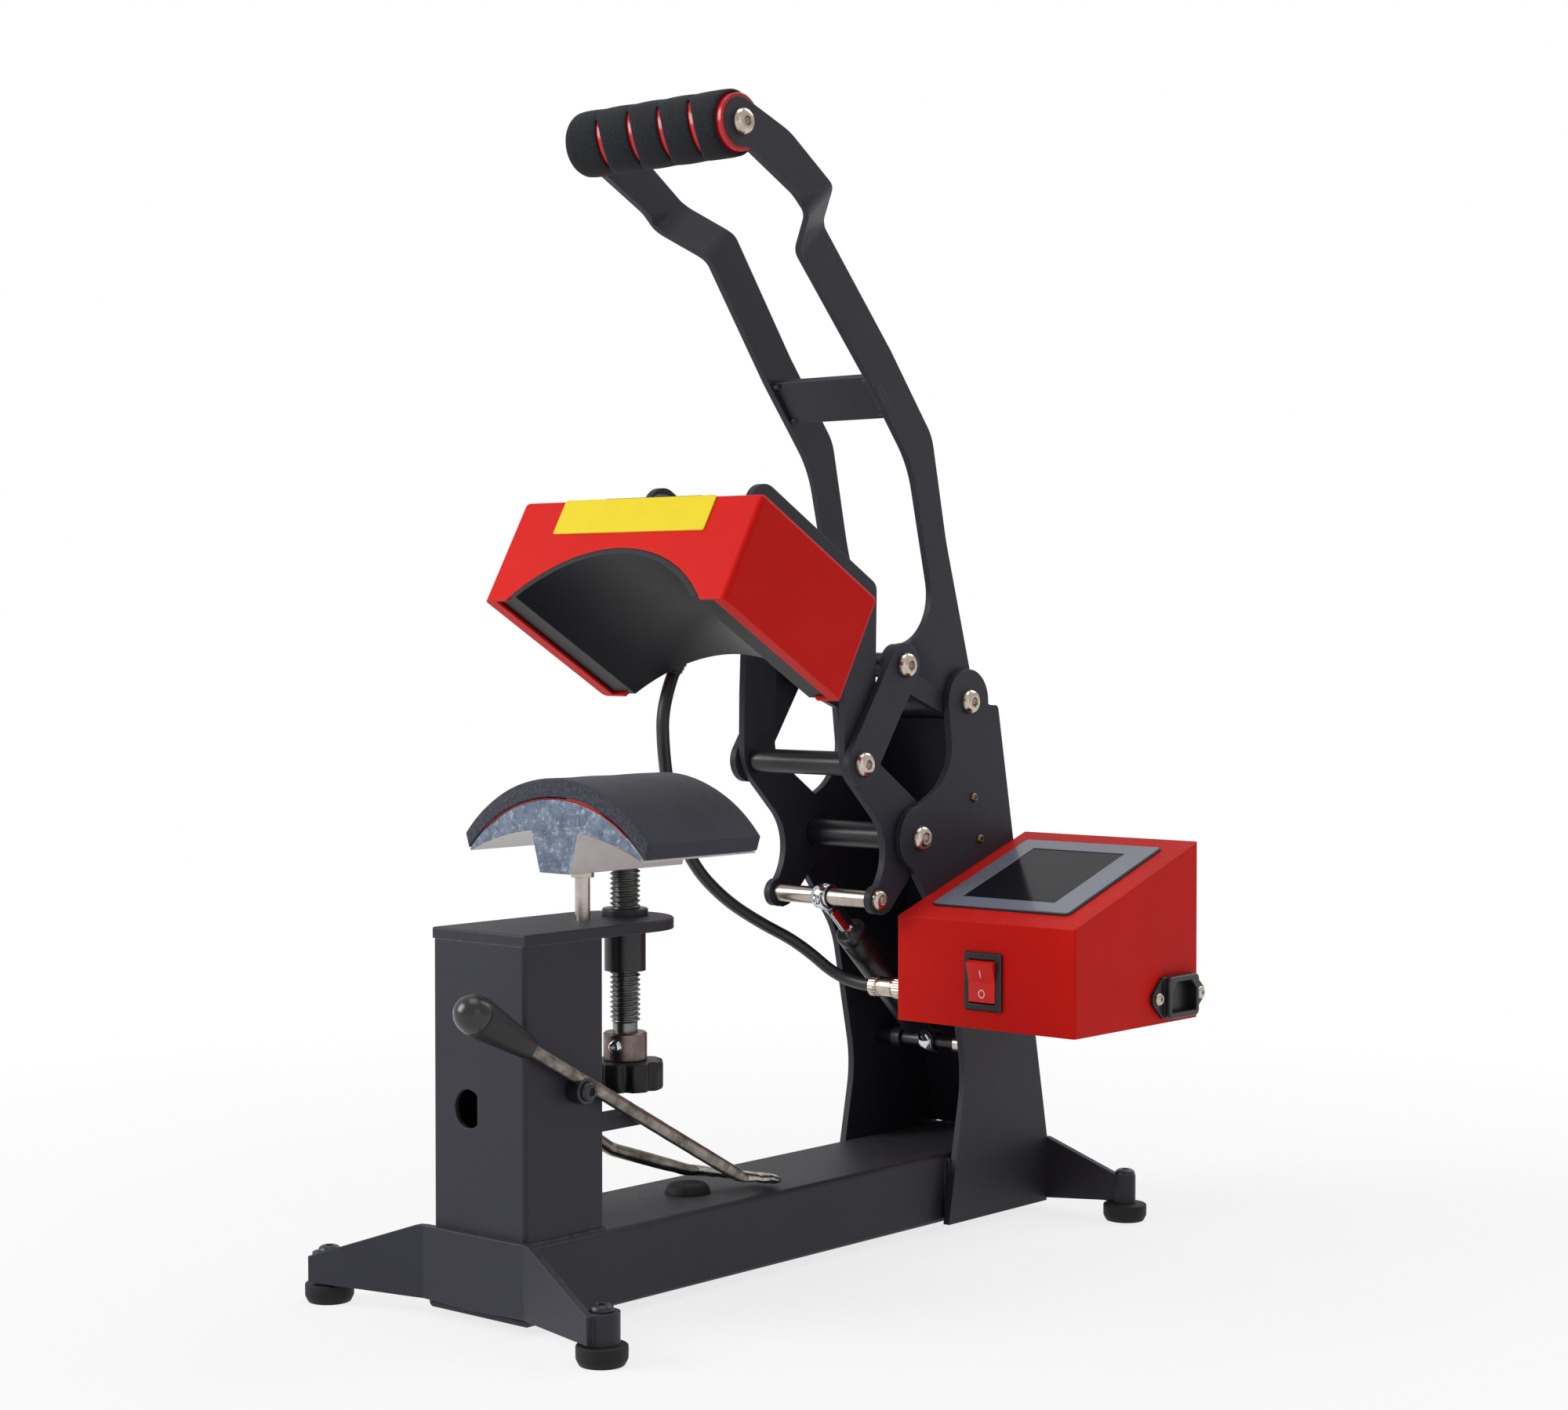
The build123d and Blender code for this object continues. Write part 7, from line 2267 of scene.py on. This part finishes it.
@dataclass
class SideLinks(Assembly):
    """The two links between the handle and the head arms."""

    def build(self) -> None:
        """Dresses the links and makes their screws."""
        self.dress(BLACK_COAT, "side_links")
        self.turn(
            BUTTON_SCREW, "link_foot_screws", both_sides(OUTER_FACE, LINK_FOOT), NICKEL,
            Body.LINKS, "nickel_screw", "link_end_screws", seed=15, Length=0.0035,
        )


@dataclass
class HeadArms(Assembly):
    """The two head arms with the rods between them."""

    plate_face: float = 0.0375

    def build(self) -> None:
        """Dresses the arms and makes their screws."""
        self.dress(BLACK_COAT, "arm_plate_left", "arm_plate_right", "head_carrier")
        self.dress(BLACK_OXIDE, "arm_cross_rod")
        self.dress(TURNED_STEEL, "spring_eye_rod")
        self.turn(
            BUTTON_SCREW, "eye_screws", both_sides(self.plate_face, EYE_PIN), NICKEL, Body.ARM,
            "nickel_screw", "eye_rod_screws", seed=16, Length=0.0155, **M6_BUTTON,
        )


@dataclass
class HeatedHead(Assembly):
    """The red cover, the curved heating platen and the blank label area."""

    bolt_spots: tuple[tuple[float, float], ...] = (
        (0.0, 0.017), (-0.022, 0.052), (0.022, 0.052), (0.0, 0.088),
    )
    carrier_top: float = 0.065

    def build(self) -> None:
        """Dresses the head and makes the screws on its carrier."""
        aim = (0.0, math.sin(HEAD_TILT), math.cos(HEAD_TILT))
        spots: list[Spot] = [
            (head_point(x, along, self.carrier_top), aim) for x, along in self.bolt_spots
        ]
        self.turn(
            BUTTON_SCREW, "head_screws", spots, BLACK_OXIDE, Body.ARM, "black_steel",
            "head_bolts", seed=18, Length=0.030,
        )
        self.dress(RED_COAT, "head_cover")
        self.dress(PTFE_COAT, "heating_platen")
        self.dress(RED_SILICONE, "heater_mat")
        self.dress(LABEL_YELLOW, "label_panel")


EYE_RING = TurnedTree(
    "spring_eye",
    {"Bore": 0.00505, "Radius": 0.0073, "Width": 0.0095},
    (
        Row({"Bore": 1.0}, {"Width": 0.38}),
        Row({"Bore": 0.8, "Radius": 0.2}, {"Width": 0.48}),
        Row({"Bore": 0.5, "Radius": 0.5}, {"Width": 0.5}),
        Row({"Radius": 0.93}, {"Width": 0.42}),
        Row({"Radius": 1.0}, {"Width": 0.24}),
        Row({"Radius": 1.02}, {}),
        Row({"Radius": 1.0}, {"Width": -0.24}),
        Row({"Radius": 0.93}, {"Width": -0.42}),
        Row({"Bore": 0.5, "Radius": 0.5}, {"Width": -0.5}),
        Row({"Bore": 0.8, "Radius": 0.2}, {"Width": -0.48}),
        Row({"Bore": 1.0}, {"Width": -0.38}),
        Row({"Bore": 1.0}, {"Width": 0.38}),
    ),
    64,
)


SPRING_TUBE = TurnedTree(
    "spring_tube",
    {"Radius": 0.009, "Length": 0.0845},
    profile(
        "Radius", "Length",
        (0, 1), (0.52, 1), (0.6, 0.992), (0.9, 0.99), (0.97, 0.984), (1, 0.972), (1, 0.085),
        (0.955, 0.076), (0.955, 0.068), (1, 0.059), (1, 0.022), (0.96, 0.008), (0.86, 0),
        (0.5, 0), (0, 0.012),
    ),
    64,
)


@dataclass
class GasSpring(Assembly):
    """The gas spring between the head arms and the tower."""

    rod_radius: float = 0.0036
    rod_tail: float = 0.078
    body_start: float = 0.0295
    body_end: float = 0.114
    blade_end: float = 0.0255
    eye_reach: float = 0.0064
    screw_seat: float = 0.0068
    neck_radius: float = 0.0042
    lower_eye: tuple[float, float, float] = (0.0041, 0.0074, 0.0105)
    pin_collars: tuple[float, float, float] = (0.0195, 0.0062, 0.0060)

    def build(self) -> None:
        """Makes the two eyes, the piston rod, the tube and the collars on its lower pin."""
        start = np.array([0.0, *EYE_PIN])
        run = np.array([0.0, *SPRING_ANCHOR]) - start
        length = float(np.linalg.norm(run))
        run /= length
        self.make_plunger(start, run)
        self.make_tube(start, run, length)
        x, radius, width = self.pin_collars
        plated = ((-1.0, BLACK_OXIDE, "black_steel"), (1.0, NICKEL, "nickel_screw"))
        for side, finish, slot in plated:
            spot: Spot = ((side * x, *SPRING_ANCHOR), (side, 0.0, 0.0))
            self.turn(
                SHANK, f"{slot}_pin_collar", [spot], finish, Body.FRAME, slot,
                Radius=radius, Height=width,
            )

    def make_plunger(self, start: np.ndarray, run: np.ndarray) -> None:
        """The upper eye with its flat stem, the piston rod and the eye's set screw.

        Args:
            start: The middle of the upper eye.
            run: The direction down the spring.
        """
        self.turn(
            EYE_RING, "spring_eye_ring", [((0.0, *EYE_PIN), ACROSS)], CHROME,
            Body.SPRING_PLUNGER, "bright_steel", "spring_rod",
        )
        gone = np.linspace(self.eye_reach, self.rod_tail, 90)
        blade = 1 - np.clip((gone - self.blade_end) / 0.002, 0, 1)
        neck = 1 - np.clip((gone - self.eye_reach) / 0.004, 0, 1)
        rings = sweep(
            start + gone[:, None] * run,
            self.rod_radius * (1 - 0.38 * blade + 0.5 * neck),
            self.rod_radius * (1 + 0.42 * blade + 0.1 * neck),
            ACROSS,
            32,
        )
        rod = skin("spring_piston_rod", rings, CHROME, sharp=50.0)
        self.fit(rod, Body.SPRING_PLUNGER, "bright_steel")
        aim = (0.0, -0.975, -0.22)
        seat = (0.0, EYE_PIN[0] + aim[1] * self.screw_seat, EYE_PIN[1] + aim[2] * self.screw_seat)
        self.turn(
            BUTTON_SCREW, "eye_set_screw", [(seat, aim)], CHROME, Body.SPRING_PLUNGER,
            "nickel_screw", seed=17, Head_Diameter=0.0056, Head_Height=0.0026,
            Socket_Flats=0.0016, Shank_Diameter=0.003, Length=0.001,
        )

    def make_tube(self, start: np.ndarray, run: np.ndarray, length: float) -> None:
        """The pressure tube and the lower eye on its threaded neck.

        Args:
            start: The middle of the upper eye.
            run: The direction down the spring.
            length: The distance between the two eyes.
        """
        foot, up = start + run * self.body_end, -run
        spot: Spot = (tuple(start + run * self.body_start), tuple(run))
        self.turn(
            SPRING_TUBE, "spring_tube_body", [spot], BLACK_OXIDE, Body.SPRING_BODY, "black_steel",
            "spring_cylinder", Length=self.body_end - self.body_start,
        )
        bore, outside, width = self.lower_eye
        self.turn(
            EYE_RING, "spring_lower_eye", [((0.0, *SPRING_ANCHOR), ACROSS)], CHROME,
            Body.SPRING_BODY, "bright_steel", Bore=bore, Radius=outside, Width=width,
        )
        gone = np.linspace(-0.001, length - self.body_end - self.eye_reach, 24)
        swell = 1 + 0.25 * np.clip((gone - gone[-1] + 0.004) / 0.004, 0, 1)
        radius = self.neck_radius * swell
        rings = sweep(foot - up * gone[:, None], radius, radius, ACROSS, 32)
        neck = skin("spring_neck", rings, CHROME, sharp=50.0)
        self.fit(neck, Body.SPRING_BODY, "bright_steel")


# ------------------------------------------------------------------ the studio


@dataclass
class Studio:
    """Camera, lamps, world and floor.

    Args:
        camera_spot: Where the camera stands.
        pitch: Its turn about X in degrees.
        yaw: Its turn about Z in degrees.
        lens: Its focal length in millimetres on a 36 mm sensor.
        sky: How strongly the white sky lights the press.
        reflected: How bright it looks in a reflection.
        aim_height: The height that the lamps point at.
        floor_fade: From where to where the floor fades to white, and how white it starts.
        lamps: Each lamp's name, place, size and power in watts.
    """

    camera_spot: tuple[float, float, float] = (1.0072, -1.1392, 0.3368)
    pitch: float = 88.4
    yaw: float = 40.85
    lens: float = 65.9
    sky: float = 0.24
    reflected: float = 0.55
    aim_height: float = 0.28
    floor_fade: tuple[float, float, float] = (0.30, 0.9, 0.78)
    lamps: tuple[tuple[str, tuple[float, float, float], float, float], ...] = (
        ("key_lamp", (-1.7, -2.2, 1.6), 1.6, 58.0),
        ("fill_lamp", (2.4, -0.9, 0.9), 1.5, 3.5),
        ("back_lamp", (0.4, 2.2, 2.3), 1.8, 22.0),
        ("top_lamp", (0.2, -0.2, 2.8), 1.6, 15.0),
    )

    def place_camera(self) -> None:
        """Makes the camera and sets the view."""
        lens = bpy.data.cameras.new("view")
        lens.lens, lens.sensor_width, lens.sensor_fit = self.lens, 36.0, "HORIZONTAL"
        lens.clip_start, lens.clip_end = 0.01, 100.0
        camera = bpy.data.objects.new("view", lens)
        camera.location = self.camera_spot
        camera.rotation_euler = (math.radians(self.pitch), 0.0, math.radians(self.yaw))
        bpy.context.scene.collection.objects.link(camera)
        bpy.context.scene.camera = camera
        bpy.context.scene.view_settings.view_transform = "Standard"

    def light(self) -> None:
        """Makes the lamps, the world and the floor."""
        for name, spot, size, power in self.lamps:
            lamp = bpy.data.lights.new(name, "AREA")
            lamp.shape, lamp.size, lamp.energy = "SQUARE", size, power
            holder = bpy.data.objects.new(name, lamp)
            holder.location = spot
            towards = Vector((0.0, 0.0, self.aim_height)) - Vector(spot)
            holder.rotation_euler = towards.to_track_quat("-Z", "Y").to_euler()
            bpy.context.scene.collection.objects.link(holder)
            log.info("lit %s", name)
        self.make_world()
        self.make_floor()

    def make_world(self) -> None:
        """A sky that looks white, and lights the press more softly than it looks."""
        world = bpy.data.worlds.new("studio")
        world.use_nodes = True
        world.node_tree.nodes.clear()
        graph = Graph(world.node_tree)
        rays = graph.node("ShaderNodeLightPath")
        through = rays.outputs["Is Transmission Ray"]
        seen = graph.math("MAXIMUM", rays.outputs["Is Camera Ray"], through)
        glossy = graph.math("MULTIPLY", rays.outputs["Is Glossy Ray"], self.reflected)
        share = graph.math("MAXIMUM", seen, glossy)
        strength = graph.math("MULTIPLY_ADD", share, 1.0 - self.sky, self.sky)
        fed = {"Color": (1.0, 1.0, 1.0, 1.0), "Strength": strength}
        sky = graph.node("ShaderNodeBackground", fed)
        graph.node("ShaderNodeOutputWorld", {"Surface": sky.outputs[0]})
        bpy.context.scene.world = world

    def make_floor(self) -> None:
        """A pale floor that fades to white away from the press and keeps its shadow."""
        mesh = bpy.data.meshes.new("floor")
        size = 14.0
        corners = [(-size, -size, 0), (size, -size, 0), (size, size, 0), (-size, size, 0)]
        mesh.from_pydata(corners, [], [(0, 1, 2, 3)])
        floor = link_mesh("floor", mesh)
        made = bpy.data.materials.new("pale_floor")
        made.use_nodes = True
        made.node_tree.nodes.clear()
        graph = Graph(made.node_tree)
        place = graph.node("ShaderNodeTexCoord").outputs["Object"]
        far = graph.node("ShaderNodeVectorMath", {0: place}, operation="LENGTH").outputs["Value"]
        near, end, start = self.floor_fade
        away = graph.remap(far, near, end, start, 1.0)
        rays = graph.node("ShaderNodeLightPath")
        seen = graph.math("MAXIMUM", rays.outputs["Is Camera Ray"], rays.outputs["Is Glossy Ray"])
        share = graph.math("MULTIPLY", seen, away)
        matt = graph.node("ShaderNodeBsdfDiffuse", {"Color": (0.9, 0.9, 0.9, 1.0)})
        white = graph.node("ShaderNodeEmission", {"Color": (1.0, 1.0, 1.0, 1.0), "Strength": 1.0})
        fed = {0: share, 1: matt.outputs[0], 2: white.outputs[0]}
        mixed = graph.node("ShaderNodeMixShader", fed).outputs[0]
        graph.node("ShaderNodeOutputMaterial", {"Surface": mixed})
        mesh.materials.append(made)


def main() -> None:
    """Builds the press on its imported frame, sub-assembly by sub-assembly."""
    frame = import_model()
    studio = Studio()
    studio.place_camera()
    nodes = frame["nodes"]
    assemblies = (
        HeadCable(nodes), BenchStand(nodes), FrontPost(nodes), PressureScrew(nodes),
        LowerPlaten(nodes), Bail(nodes), Tower(nodes), ControlBox(nodes), Handle(nodes),
        SideLinks(nodes), HeadArms(nodes), HeatedHead(nodes), GasSpring(nodes),
    )
    for assembly in assemblies:
        log.info("building %s", type(assembly).__name__)
        assembly.build()
    studio.light()


if __name__ == "__main__":
    logging.basicConfig(level=logging.INFO, format="%(name)s: %(message)s")
    main()
